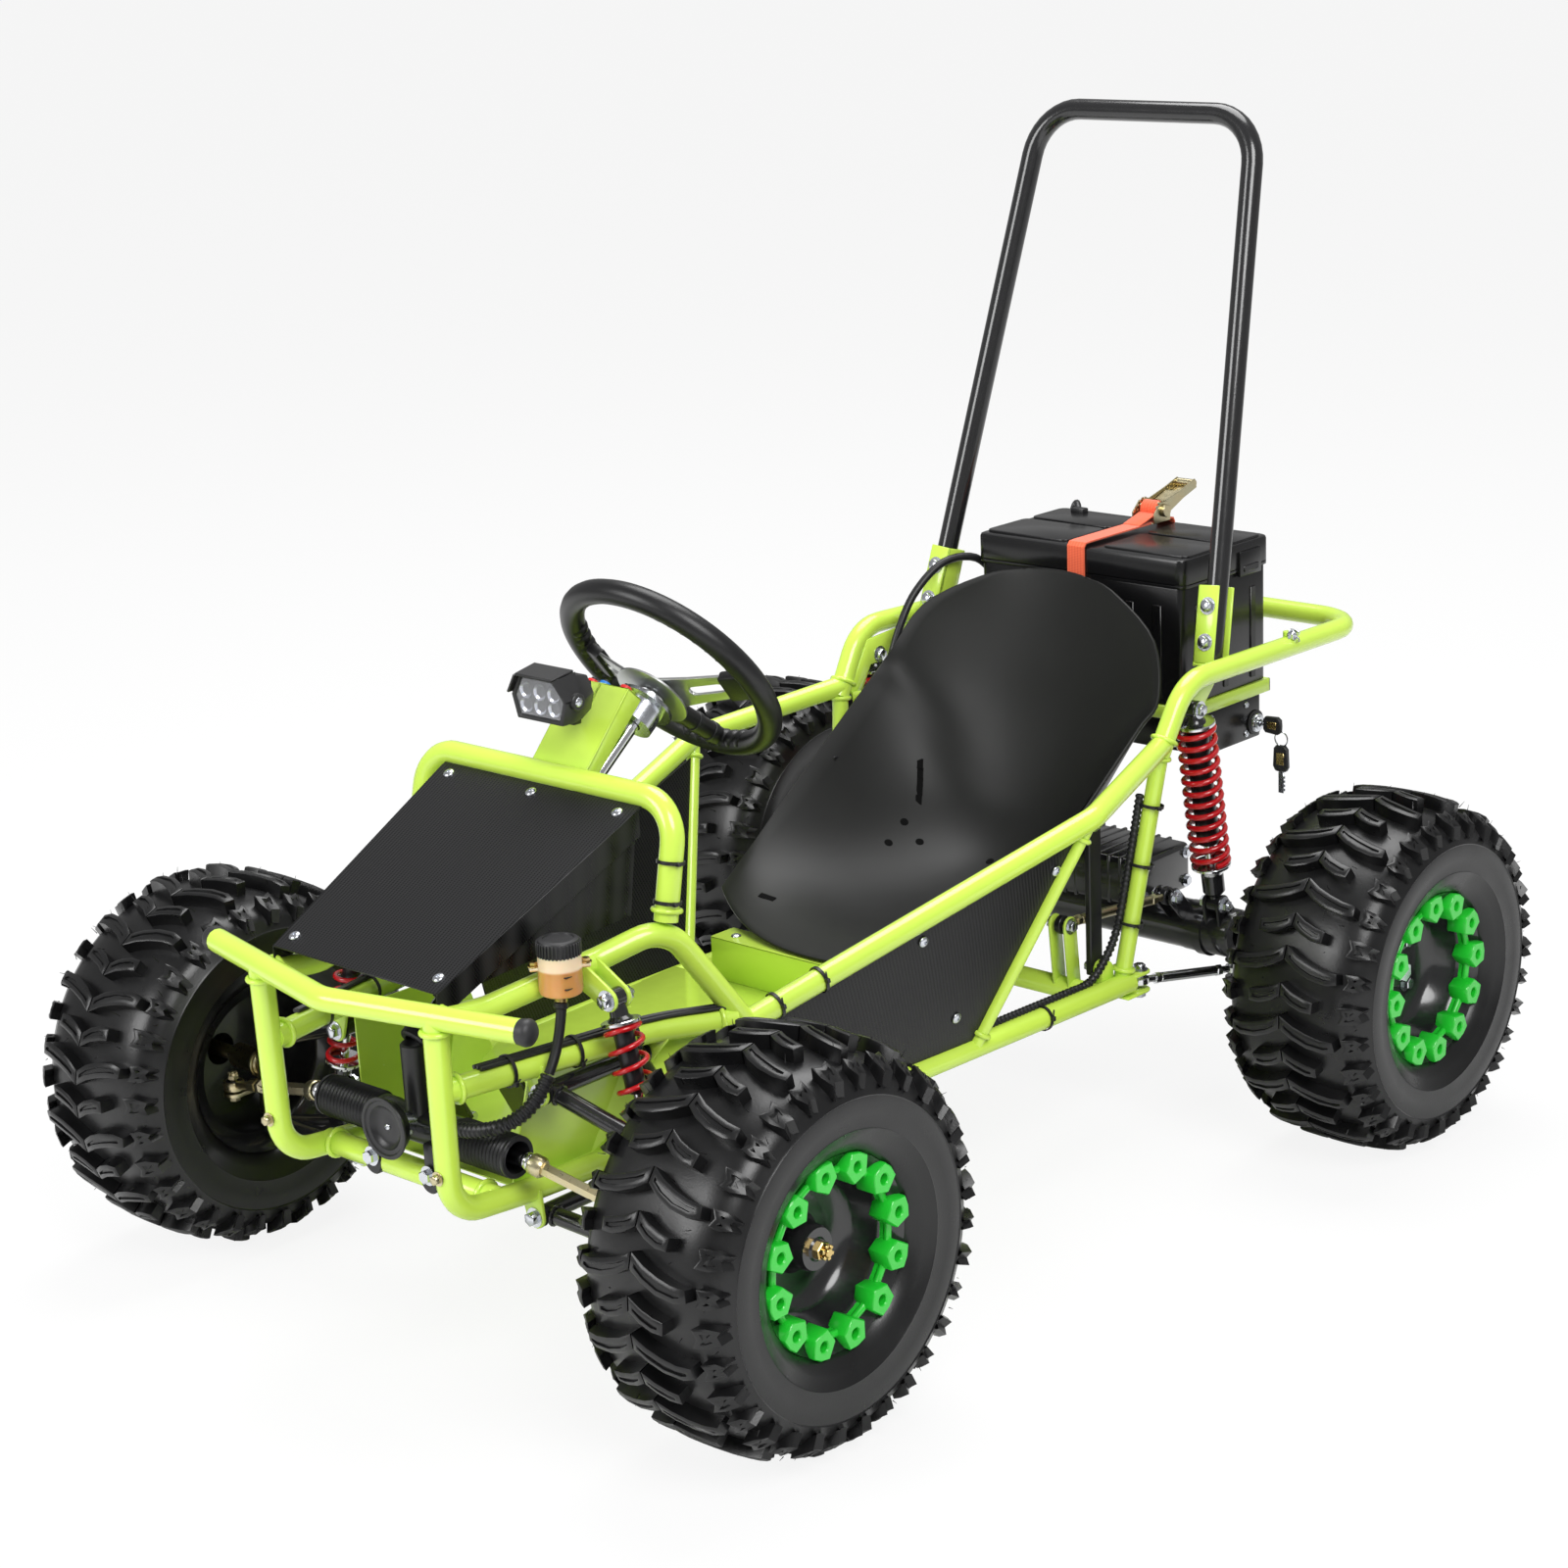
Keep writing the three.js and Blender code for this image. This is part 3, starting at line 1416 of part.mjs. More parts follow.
function rackHousing() {
  const side = (sign, x) => rackCentre.clone().setX(sign * x);
  const hornFace = spot(rackShares.horn);
  const hornBack = hornFace.clone().addScaledVector(alongY, rack.hornDepth);
  const horn = join(
    rod(hornFace, hornBack, rack.hornRadius, 10, rack.hornRadius * rack.hornTaper),
    rod(hornBack, rackCentre.clone(), rack.hornNeck, 6),
  );
  const crossTube = spot(crossTubeShares.front);
  const feet = [-1, 1].map((sign) =>
    block(
      at(sign * rack.footSpan - rack.footHalf, crossTube.y - frameTube.radius, crossTube.z),
      at(sign * rack.footSpan + rack.footHalf, rackCentre.y, rackCentre.z),
    ),
  );
  const bores = rod(side(-1, rack.bellowsEnd), side(1, rack.bellowsEnd), rack.barRadius + turnGap, 8);
  const sleeves = [-1, 1].map((sign) =>
    bellows(side(sign, rack.housingHalf - overrun), side(sign, rack.bellowsEnd), {
      outer: rack.bellowsOuter,
      root: rack.bellowsRoot,
      bore: rack.bellowsBore,
      ribs: rack.bellowsRibs,
    }),
  );
  const tower = rod(rackCentre, onColumn(rack.cupFoot), rack.towerRadius, 6);
  const cup = rod(onColumn(rack.cupTop), onColumn(rack.cupFoot), rack.cupRadius, 8);
  const cupBore = rod(
    onColumn(rack.cupTop - overrun),
    onColumn(column.foot + 2 * turnGap),
    column.shaftRadius + 2 * turnGap,
    8,
  );
  const barrel = rod(side(-1, rack.housingHalf), side(1, rack.housingHalf), rack.housingRadius, 8);
  const body = join(barrel, horn, feet, tower, cup);
  return cut(join(cut(body, bores), sleeves), cupBore, bores, ...tool.bumper);
}

add("rack_housing", rackHousing(), "rubber");

const tieRod = {
  radius: 6,
  ballRadius: 9,
  socketRadius: 11,
  socketHalf: 10,
  socketStartShare: 0.4,
  eyeRadius: 11.5,
  eyeHalf: 5,
  bore: 8,
  pinRadius: 3.5,
  eyeDrop: 8,
};
const tieInner = spot(suspensionShares.tieRodInner);
const tieOuter = spot(suspensionShares.tieRodOuter);
const rackEnd = tieInner.x;

function rackBar() {
  const left = rackCentre.clone().setX(rackEnd);
  const right = rackCentre.clone().setX(-rackEnd);
  const balls = [left, right].map((end) => ball(end, tieRod.ballRadius));
  return join(rod(left, right, rack.barRadius, 8), balls);
}

add("rack_bar", rackBar(), "zinc");

function tieRodSolid() {
  const way = tieOuter.clone().sub(tieInner).normalize();
  const cupStart = tieInner.clone().addScaledVector(way, tieRod.ballRadius * tieRod.socketStartShare);
  const cupEnd = tieInner.clone().addScaledVector(way, tieRod.ballRadius + tieRod.socketHalf);
  const eyeFrom = tieOuter.clone().addScaledVector(up, -tieRod.eyeHalf);
  const eyeTo = tieOuter.clone().addScaledVector(up, tieRod.eyeHalf);
  const stem = rod(cupEnd.clone().addScaledVector(way, -overrun), tieOuter, tieRod.radius, 6);
  const bore = rod(
    eyeFrom.clone().addScaledVector(up, -overrun),
    eyeTo.clone().addScaledVector(up, overrun),
    tieRod.bore,
    8,
  );
  const clearBall = ball(tieInner, tieRod.ballRadius + turnGap);
  const cup = rod(cupStart, cupEnd, tieRod.socketRadius, 8);
  const eye = rod(eyeFrom, eyeTo, tieRod.eyeRadius, 8);
  return cut(join(cup, stem, eye), clearBall, bore);
}

addPair("tie_rod", tieRodSolid(), "goldZinc");

// Steering wheel on its shaft.
function steeringWheelSolid() {
  const rim = new THREE.TorusGeometry(
    steeringWheel.radius - steeringWheel.rimRadius,
    steeringWheel.rimRadius,
    steeringWheel.rimSides,
    steeringWheel.rimSteps,
  );
  const toWheel = new THREE.Matrix4().makeBasis(
    alongX,
    columnWay.clone().cross(alongX),
    columnWay,
  ).setPosition(wheelCentre);
  rim.applyMatrix4(toWheel);
  const hubTop = onColumn(steeringWheel.hubDrop - steeringWheel.plateThickness);
  const hubFoot = onColumn(steeringWheel.hubDrop);
  const hub = rod(hubTop, hubFoot, steeringWheel.hubRadius, 8);
  const downhill = columnWay.clone().cross(alongX);
  const spokes = [alongX.clone().negate(), alongX, downhill].map((way) => {
    const across = columnWay.clone().cross(way);
    const rimPoint = wheelCentre.clone().addScaledVector(way, steeringWheel.radius - steeringWheel.rimRadius);
    const outline = [
      hubFoot.clone().addScaledVector(across, -steeringWheel.spokeRootHalf),
      rimPoint.clone().addScaledVector(across, -steeringWheel.spokeHalf),
      rimPoint.clone().addScaledVector(across, steeringWheel.spokeHalf),
      hubFoot.clone().addScaledVector(across, steeringWheel.spokeRootHalf),
    ];
    return plate(outline, steeringWheel.plateThickness, columnWay);
  });
  const nutTop = onColumn(steeringWheel.hubDrop - steeringWheel.nutHeight);
  const nut = rod(hubTop, nutTop, steeringWheel.nutRadius, 6);
  return join(solidOf(rim), hub, spokes, nut);
}

const wheelSolid = steeringWheelSolid();
add("steering_wheel", wheelSolid, "blackSatin");
add(
  "steering_shaft",
  rod(onColumn(steeringWheel.hubDrop + seatGap), onColumn(column.foot), column.shaftRadius, 12),
  "zinc",
);

// Suspension arms: two legs from a long pivot sleeve to a ball housing.
function armSolid(front, rear, outer, extras) {
  const legInset = arm.radius + turnGap;
  const bore = rod(
    front.clone().addScaledVector(alongY, -overrun),
    rear.clone().addScaledVector(alongY, overrun),
    arm.boltRadius + turnGap,
    8,
  );
  const legs = [
    front.clone().addScaledVector(alongY, legInset),
    rear.clone().addScaledVector(alongY, -legInset),
  ];
  const housingFoot = outer.clone().addScaledVector(up, -arm.housingHalf);
  const housingTop = outer.clone().addScaledVector(up, arm.housingHalf);
  return {
    body: join(
      rod(front, rear, arm.sleeve, 8),
      legs.map((root) => rod(root, outer, arm.radius, 6)),
      rod(housingFoot, housingTop, arm.housing, 10),
      extras,
    ),
    bore,
  };
}

const lowerBall = spot(suspensionShares.lowerBall);
const upperBall = spot(suspensionShares.upperBall);

function lowerArm() {
  const front = spot(suspensionShares.lowerPivotFront);
  const rear = spot(suspensionShares.lowerPivotRear);
  const foot = spot(suspensionShares.shockFoot);
  const cross = spot(suspensionShares.shockCross);
  const earOffset = frontShock.eyeHalf + seatGap + earPlate.thickness / 2;
  const ears = [-earOffset, earOffset].map((shift) =>
    lug(
      cross.clone().addScaledVector(alongY, shift),
      foot.clone().addScaledVector(alongY, shift),
      alongY,
      earPlate,
    ),
  );
  const reach = earOffset + earPlate.thickness / 2;
  const pin = pinThrough(
    foot.clone().addScaledVector(alongY, -reach),
    foot.clone().addScaledVector(alongY, reach),
    bolt.radius,
  );
  const share = (cross.x - front.x) / (lowerBall.x - front.x);
  const crossBar = rod(
    cross.clone().setY(front.y + (lowerBall.y - front.y) * share),
    cross.clone().setY(rear.y + (lowerBall.y - rear.y) * share),
    arm.radius * arm.crossShare,
    6,
  );
  const { body, bore } = armSolid(front, rear, lowerBall, [crossBar, ...ears, pin]);
  const pocket = rod(
    lowerBall.clone().addScaledVector(up, -2 * arm.housingHalf),
    lowerBall.clone().addScaledVector(up, 2 * arm.housingHalf),
    arm.ball + turnGap + seatGap,
    8,
  );
  return cut(body, bore, pocket);
}

addPair("lower_arm", lowerArm(), "blackGloss");

function upperArm() {
  const front = spot(suspensionShares.upperPivotFront);
  const rear = spot(suspensionShares.upperPivotRear);
  const { body, bore } = armSolid(front, rear, upperBall, []);
  const pocket = rod(
    upperBall.clone().addScaledVector(up, -2 * arm.housingHalf),
    upperBall.clone().addScaledVector(up, 2 * arm.housingHalf),
    arm.ball + swingGap,
    8,
  );
  return cut(body, bore, pocket);
}

addPair("upper_arm", upperArm(), "blackGloss");

const upright = {
  pinRadius: 6,
  kingpinRadius: 8,
  sleeveRadius: 15,
  sleeveFootShare: 0.18,
  sleeveTopShare: 0.82,
  stubRadius: 8,
  stubReach: 126,
  nutRadius: 12,
  nutHeight: 12,
  armRadius: 7,
  shoulderRadius: 14,
  shoulderReach: 56,
  armShare: 0.8,
};

function betweenBalls(share) {
  return lowerBall.clone().lerp(upperBall, share);
}

function kingpin() {
  const foot = betweenBalls(upright.sleeveFootShare).addScaledVector(up, -seatGap);
  const top = betweenBalls(upright.sleeveTopShare).addScaledVector(up, seatGap);
  return join(
    ball(lowerBall, arm.ball),
    ball(upperBall, arm.ball),
    rod(lowerBall, upperBall, upright.pinRadius, 6),
    rod(
      foot.clone().addScaledVector(up, -sheet.thickness),
      top.clone().addScaledVector(up, sheet.thickness),
      upright.kingpinRadius,
      pinSides,
    ),
  );
}

addPair("kingpin", kingpin(), "zinc");

function knuckle() {
  const foot = betweenBalls(upright.sleeveFootShare);
  const top = betweenBalls(upright.sleeveTopShare);
  const hub = spot(suspensionShares.hub);
  const tip = hub.clone().addScaledVector(alongX, upright.stubReach);
  const nutStart = tip.clone().addScaledVector(alongX, -upright.nutHeight - overrun);
  const nutEnd = nutStart.clone().addScaledVector(alongX, upright.nutHeight);
  const armEnd = tieOuter.clone();
  const drop = tieRod.eyeDrop;
  const armPlate = lug(
    hub.clone().setZ(armEnd.z - drop - sheet.tab / 2),
    armEnd.clone().setZ(armEnd.z - drop - sheet.tab / 2),
    up,
    { thickness: sheet.tab, rootHalf: upright.sleeveRadius * upright.armShare, eyeRadius: tieRod.eyeRadius },
  );
  const pin = rod(
    armEnd.clone().addScaledVector(up, -drop - sheet.tab - bolt.headHeight),
    armEnd.clone().addScaledVector(up, drop + bolt.headHeight),
    tieRod.pinRadius,
    pinSides,
  );
  const pinBoreSides = 8;
  const pinBore = rod(
    foot.clone().addScaledVector(up, -overrun),
    top.clone().addScaledVector(up, overrun),
    (upright.kingpinRadius + turnGap) / Math.cos(Math.PI / pinBoreSides),
    pinBoreSides,
  );
  return cut(
    join(
      rod(foot, top, upright.sleeveRadius, 8),
      rod(hub, tip, upright.stubRadius, 8),
      rod(hub, hub.clone().addScaledVector(alongX, upright.shoulderReach), upright.shoulderRadius, 8),
      rod(nutStart, nutEnd, upright.nutRadius, pinSides),
      armPlate,
      pin,
    ),
    pinBore,
  );
}

addPair("knuckle", knuckle(), "blackSatin");

// Wheels: a knobbly tyre on a dished rim, whose outer face carries a ring of twelve lobes.
const wheel = {
  tyreWidth: 190,
  steps: 16,
  treadShare: 0.62,
  shoulderRadius: 182,
  beadWidth: 118,
  wallRadius: 132,
  rimRadius: 89,
  rimWall: 5,
  flangeRadius: 97,
  flangeWidth: 140,
  flangeThickness: 3.6,
  discOffset: 16,
  discThickness: 6,
  ringInner: 76,
  ringNeck: 84,
  ringFace: 73.2,
  ringDepth: 6,
  lobes: 12,
  lobeShare: 0.5,
};

// The tyre's outer faces are flats whose middles lie at its radius, so it stands on one of them.
function tyre(centre) {
  const half = wheel.tyreWidth / 2;
  const flat = 1 / Math.cos(Math.PI / wheel.steps);
  const profile = [
    [wheel.rimRadius + seatGap, -wheel.beadWidth / 2],
    [wheel.wallRadius, -half],
    [wheel.shoulderRadius, -half],
    [tyreRadius * flat, -half * wheel.treadShare],
    [tyreRadius * flat, half * wheel.treadShare],
    [wheel.shoulderRadius, half],
    [wheel.wallRadius, half],
    [wheel.rimRadius + seatGap, wheel.beadWidth / 2],
  ];
  const body = turned(profile, at(0, 0, 0), alongX, wheel.steps);
  const turn = new THREE.Matrix4().makeRotationX(Math.PI / wheel.steps);
  return moved(body, turn.setPosition(centre));
}

function lobedRing() {
  const outline = [];
  const hole = [];
  const step = (2 * Math.PI) / wheel.lobes;
  for (let k = 0; k < wheel.lobes; k += 1) {
    const corners = [
      [wheel.ringNeck, -wheel.lobeShare],
      [wheel.ringInner, 0],
    ];
    corners.forEach(([radius, share]) => {
      const angle = (k + share) * step;
      hole.push(new THREE.Vector2(radius * Math.cos(angle), radius * Math.sin(angle)));
    });
  }
  for (let k = 0; k < wheel.steps; k += 1) {
    const angle = (2 * Math.PI * k) / wheel.steps;
    const way = new THREE.Vector2(Math.cos(angle), Math.sin(angle));
    outline.push(way.multiplyScalar(wheel.flangeRadius));
  }
  const shape = new THREE.Shape(outline);
  shape.holes.push(new THREE.Path(hole));
  const geometry = new THREE.ExtrudeGeometry(shape, { depth: wheel.ringDepth, bevelEnabled: false });
  geometry.rotateY(Math.PI / 2).translate(wheel.ringFace - wheel.ringDepth, 0, 0);
  return solidOf(geometry);
}

function rim(centre, boreRadius, inwardStub) {
  const flange = wheel.flangeWidth / 2;
  const inner = wheel.rimRadius - wheel.rimWall;
  const disc = wheel.discOffset;
  const profile = [
    [wheel.flangeRadius, -flange],
    [wheel.flangeRadius, wheel.flangeThickness - flange],
    [wheel.rimRadius, wheel.flangeThickness - flange],
    [wheel.rimRadius, flange - wheel.flangeThickness / 2],
    [inner, flange - wheel.flangeThickness / 2],
    [inner, disc + wheel.discThickness],
    [boreRadius, disc + wheel.discThickness],
    [boreRadius, disc],
    [inner, disc],
    [inner, -flange],
  ];
  const body = turned(profile, at(0, 0, 0), alongX, wheel.steps);
  const pieces = [body, lobedRing()];
  if (inwardStub) pieces.push(inwardStub);
  const turn = new THREE.Matrix4().makeRotationX(Math.PI / wheel.steps);
  return moved(join(pieces), turn.setPosition(centre));
}

const frontWheelCentre = at(frontTrack / 2, frontAxleY, tyreRadius);
const rearWheelCentre = at(rearTrack / 2, rearAxleY, tyreRadius);
addPair("front_tyre", tyre(frontWheelCentre), "rubber");
addPair("rear_tyre", tyre(rearWheelCentre), "rubber");
addPair("front_rim", rim(frontWheelCentre, upright.stubRadius + turnGap), "blackGloss");

// Rear axle: its housing with the motor box and the brackets of the shocks and links.
const axle = {
  radius: 29,
  lugShare: 0.8,
  half: axleHalf,
  sides: 12,
  bore: 15.6,
  boreDepth: 60,
  shaftRadius: 14,
  shaftInside: 40,
  nutRadius: 12,
  nutReach: 40,
};
const axleShares = {
  motorLow: [-0.2586, 0.9551, 0.4336],
  motorHigh: [0.6466, 1.0637, 0.5488],
};
const hubCentre = at(0, rearAxleY, tyreRadius);
const shaftStart = axle.half - axle.shaftInside - rearTrack / 2;
const rearStub = join(
  rod(at(shaftStart, 0, 0), at(axle.nutReach, 0, 0), axle.shaftRadius, 8),
  rod(at(wheel.discOffset, 0, 0), at(axle.nutReach - overrun, 0, 0), axle.nutRadius + overrun * 2, pinSides),
);
addPair("rear_rim", rim(rearWheelCentre, axle.shaftRadius - overrun, rearStub), "blackGloss");

function rearAxle() {
  const left = hubCentre.clone().setX(axle.half);
  const right = hubCentre.clone().setX(-axle.half);
  const motor = block(spot(axleShares.motorLow), spot(axleShares.motorHigh));
  const shockFoot = spot(rearShockShares.foot);
  const linkEye = spot(linkShares.lowerRear);
  const sideParts = (withUpper) => {
    const offset = rearShock.eyeHalf + seatGap + earPlate.thickness / 2;
    const ears = [-offset, offset].map((shift) =>
      lug(
        at(shockFoot.x + shift, hubCentre.y, hubCentre.z),
        at(shockFoot.x + shift, shockFoot.y, shockFoot.z),
        alongX,
        {
          thickness: earPlate.thickness,
          rootHalf: axle.radius * axle.lugShare,
          eyeRadius: earPlate.eyeRadius,
        },
      ),
    );
    const reach = offset + earPlate.thickness / 2;
    const pin = pinThrough(
      shockFoot.clone().addScaledVector(alongX, -reach),
      shockFoot.clone().addScaledVector(alongX, reach),
    );
    const clevis = linkClevis(linkEye, linkEye.clone().setY(hubCentre.y + axle.radius), up);
    const keel = block(
      at(
        linkEye.x - linkSizes.eyeRadius,
        hubCentre.y + axle.radius - sheet.tab * 2,
        linkEye.z - linkSizes.eyeRadius,
      ),
      at(linkEye.x + linkSizes.eyeRadius, hubCentre.y + axle.radius, hubCentre.z),
    );
    const parts = [...ears, pin, ...clevis, keel];
    if (withUpper) {
      const upperEye = spot(linkShares.upperRear);
      const root = at(upperEye.x, hubCentre.y, hubCentre.z);
      parts.push(...linkClevis(upperEye, root, alongX));
    }
    return parts;
  };
  const ends = [
    rod(left, left.clone().setX(axle.half - axle.boreDepth), axle.bore, 8),
    rod(right, right.clone().setX(axle.boreDepth - axle.half), axle.bore, 8),
  ];
  return cut(
    join(rod(left, right, axle.radius, axle.sides), motor, sideParts(true), mirrored(join(sideParts(false)))),
    ends,
  );
}

add("rear_axle", rearAxle(), "blackGloss");

// Links of the rear axle: a rod with an eye at both ends. The rear eye swings about its bolt with room.
function linkSolid(front, rear, axis) {
  const way = rear.clone().sub(front).normalize();
  const eye = (centre) =>
    rod(
      centre.clone().addScaledVector(axis, -linkSizes.eyeHalf),
      centre.clone().addScaledVector(axis, linkSizes.eyeHalf),
      linkSizes.eyeRadius,
      8,
    );
  const boreAt = (centre, radius) =>
    rod(
      centre.clone().addScaledVector(axis, -linkSizes.eyeHalf - overrun),
      centre.clone().addScaledVector(axis, linkSizes.eyeHalf + overrun),
      radius,
      8,
    );
  const stem = rod(
    front.clone().addScaledVector(way, linkSizes.eyeRadius / 2),
    rear.clone().addScaledVector(way, -linkSizes.eyeRadius / 2),
    linkSizes.radius,
    6,
  );
  return cut(
    join(eye(front), eye(rear), stem),
    boreAt(front, linkSizes.boltRadius + 2 * turnGap),
    boreAt(rear, linkSizes.rearBore),
  );
}

addPair("lower_link", linkSolid(spot(linkShares.lowerFront), spot(linkShares.lowerRear), up), "zinc");
add("upper_link", linkSolid(spot(linkShares.upperFront), spot(linkShares.upperRear), alongX), "goldZinc");

// Shock absorbers: a body with the upper eye and perch, a rod with the lower eye and perch, and the spring
// between the perches.
function shock(top, foot, axis, size) {
  const way = foot.clone().sub(top).normalize();
  const length = top.distanceTo(foot);
  const down = (distance) => top.clone().addScaledVector(way, distance);
  const eyeAt = (centre, bore) => [
    rod(
      centre.clone().addScaledVector(axis, -size.eyeHalf),
      centre.clone().addScaledVector(axis, size.eyeHalf),
      size.eyeRadius,
    ),
    rod(
      centre.clone().addScaledVector(axis, -size.eyeHalf - overrun),
      centre.clone().addScaledVector(axis, size.eyeHalf + overrun),
      bore,
      pinSides,
    ),
  ];
  const [topEye, topBore] = eyeAt(top, bolt.radius + turnGap);
  const [footEye, footBore] = eyeAt(foot, bolt.radius + swingGap);
  const perchTop = size.topPerch;
  const perchFoot = length - size.footPerch;
  const body = cut(
    join(
      topEye,
      rod(down(size.eyeRadius / 2), down(perchTop), size.neckRadius, pinSides),
      rod(down(perchTop - size.perchHeight / 2), down(size.bodyLength), size.bodyRadius),
      rod(down(perchTop - size.perchHeight), down(perchTop), size.perchRadius),
    ),
    topBore,
    rod(down(perchTop + overrun), down(size.bodyLength + overrun), size.rodRadius + turnGap, pinSides),
  );
  const slide = cut(
    join(
      footEye,
      rod(down(size.bodyLength / 2), down(length - size.eyeRadius / 2), size.rodRadius, pinSides),
      rod(down(perchFoot), down(perchFoot + size.perchHeight), size.perchRadius),
      rod(down(perchFoot + overrun / 2), down(length - size.footNeck), size.footRadius),
      rod(
        down(length - size.footNeck - overrun),
        down(length - size.eyeRadius / 2),
        size.neckRadius,
        pinSides,
      ),
    ),
    footBore,
  );
  return { body, slide, springFrom: down(perchTop + seatGap), springTo: down(perchFoot - seatGap) };
}

const frontShockParts = shock(
  spot(suspensionShares.shockTop),
  spot(suspensionShares.shockFoot),
  alongY,
  frontShock,
);
const rearShockParts = shock(
  spot(rearShockShares.top),
  spot(rearShockShares.foot),
  alongX,
  rearShock,
);
[
  { word: "front", parts: frontShockParts, size: frontShock },
  { word: "rear", parts: rearShockParts, size: rearShock },
].forEach(({ word, parts, size }) => {
  addPair(`${word}_damper_body`, parts.body, "blackGloss");
  addPair(`${word}_damper_rod`, parts.slide, "zinc");
  addPair(`${word}_spring`, coil(`${word} spring`, parts.springFrom, parts.springTo, size), "springRed");
});

// Pedals: a plate on a hinge pin just above the floor.
const pedalShares = { heel: [0.2672, 0.0334, 0.3951], toe: [0.2672, -0.0167, 0.5664] };
const pedal = { width: 46, thickness: 5, pinRadius: 5, throttleWidth: 34 };

function pedalSolid(x, width) {
  const heel = spot(pedalShares.heel).setX(x);
  const toe = spot(pedalShares.toe).setX(x);
  const low = heel.clone().setX(x - width / 2);
  const face = [
    low,
    toe.clone().setX(x - width / 2),
    toe.clone().setX(x + width / 2),
    heel.clone().setX(x + width / 2),
  ];
  return join(
    plate(face, pedal.thickness, at(0, -1, 0)),
    rod(low, heel.clone().setX(x + width / 2), pedal.pinRadius),
  );
}

const pedalX = spot(pedalShares.heel).x;
add("brake_pedal", pedalSolid(pedalX, pedal.width), "blackSatin");
add("throttle_pedal", pedalSolid(-pedalX, pedal.throttleWidth), "blackSatin");

export default kart;
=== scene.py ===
# %% [markdown]
# # An off-road go-kart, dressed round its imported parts
#
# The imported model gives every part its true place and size, with few faces. This notebook puts a finished
# piece round each of them: round tubes in place of six-sided ones, knobbly tyres in place of plain rings,
# and a finish on every surface. Everything is in metres. The kart faces -Y, its left side is +X and the
# ground is at z = 0.

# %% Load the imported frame
import math

import bmesh
import bpy
from mathutils import Matrix, Vector


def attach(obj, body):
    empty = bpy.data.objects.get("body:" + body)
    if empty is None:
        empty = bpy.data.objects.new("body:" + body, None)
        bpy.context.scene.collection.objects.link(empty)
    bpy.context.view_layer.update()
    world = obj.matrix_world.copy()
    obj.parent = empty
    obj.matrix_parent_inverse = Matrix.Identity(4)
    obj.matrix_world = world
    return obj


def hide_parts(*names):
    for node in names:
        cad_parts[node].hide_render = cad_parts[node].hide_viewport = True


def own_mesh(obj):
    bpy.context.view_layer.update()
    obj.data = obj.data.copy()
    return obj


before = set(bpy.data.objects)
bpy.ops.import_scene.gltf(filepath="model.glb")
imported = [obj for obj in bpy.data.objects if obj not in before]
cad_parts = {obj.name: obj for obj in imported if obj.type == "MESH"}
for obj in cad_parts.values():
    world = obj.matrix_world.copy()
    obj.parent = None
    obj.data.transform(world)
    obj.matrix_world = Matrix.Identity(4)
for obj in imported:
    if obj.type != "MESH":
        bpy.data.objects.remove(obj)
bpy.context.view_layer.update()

scene = bpy.context.scene

# %% [markdown]
# ## Camera
#
# A camera is a place, a direction and a focal length. The direction is given by three numbers: the turn
# round the kart, the rise above the ground and a small roll. Two cross products make a full set of axes of
# them, and these are the columns of the camera's matrix.

# %% Camera at the viewing angle of the photograph
CAMERA_PLACE = Vector((2.3625, -2.5986, 1.466))
CAMERA_TURN = math.radians(42.954)
CAMERA_RISE = math.radians(16.19)
CAMERA_ROLL = math.radians(-2.444)
FOCAL_LENGTH = 76.01
SENSOR_WIDTH = 36

back = Vector(
    (
        math.sin(CAMERA_TURN) * math.cos(CAMERA_RISE),
        -math.cos(CAMERA_TURN) * math.cos(CAMERA_RISE),
        math.sin(CAMERA_RISE),
    )
)
level_right = Vector((math.cos(CAMERA_TURN), math.sin(CAMERA_TURN), 0))
roll = Matrix.Rotation(CAMERA_ROLL, 3, back)
right = roll @ level_right
camera_data = bpy.data.cameras.new("camera")
camera_data.lens = FOCAL_LENGTH
camera_data.sensor_width = SENSOR_WIDTH
camera = bpy.data.objects.new("camera", camera_data)
axes = Matrix((right, back.cross(right), back)).transposed()
camera.matrix_world = Matrix.Translation(CAMERA_PLACE) @ axes.to_4x4()
scene.collection.objects.link(camera)
scene.camera = camera
print(f"camera at {tuple(round(value, 3) for value in camera.location)}")

# %% [markdown]
# ## Light, floor and background
#
# A product studio has large soft lamps, so that round tubes get long soft streaks of light. Three area
# lamps do that here, and a dim world fills the shadows. The background has to look white without throwing
# more light on the kart, so the world is white only to rays that come straight from the camera or through a
# clear surface. Reflections see the dim world, so black parts stay black and get their shine from the lamps.
# The floor keeps its own shadow, mixed with white.

# %% Studio
LAMPS = {
    "key_lamp": {"place": (3.2, -1.8, 3.6), "size": 2.6, "power": 165},
    "front_lamp": {"place": (-1.4, -4.2, 2.4), "size": 2.2, "power": 100},
    "top_lamp": {"place": (-0.6, 1.2, 4.2), "size": 3.2, "power": 150},
}
LAMP_TARGET = Vector((0, 0, 0.4))
WORLD_FILL = 0.36
FLOOR_SIZE = 160
FLOOR_WHITE = 0.82

for name, lamp in LAMPS.items():
    data = bpy.data.lights.new(name, "AREA")
    data.shape = "DISK"
    data.size = lamp["size"]
    data.energy = lamp["power"]
    light = bpy.data.objects.new(name, data)
    place = Vector(lamp["place"])
    light.matrix_world = Matrix.Translation(place) @ (place - LAMP_TARGET).to_track_quat("Z", "Y").to_matrix().to_4x4()
    scene.collection.objects.link(light)

scene.view_settings.view_transform = "Standard"


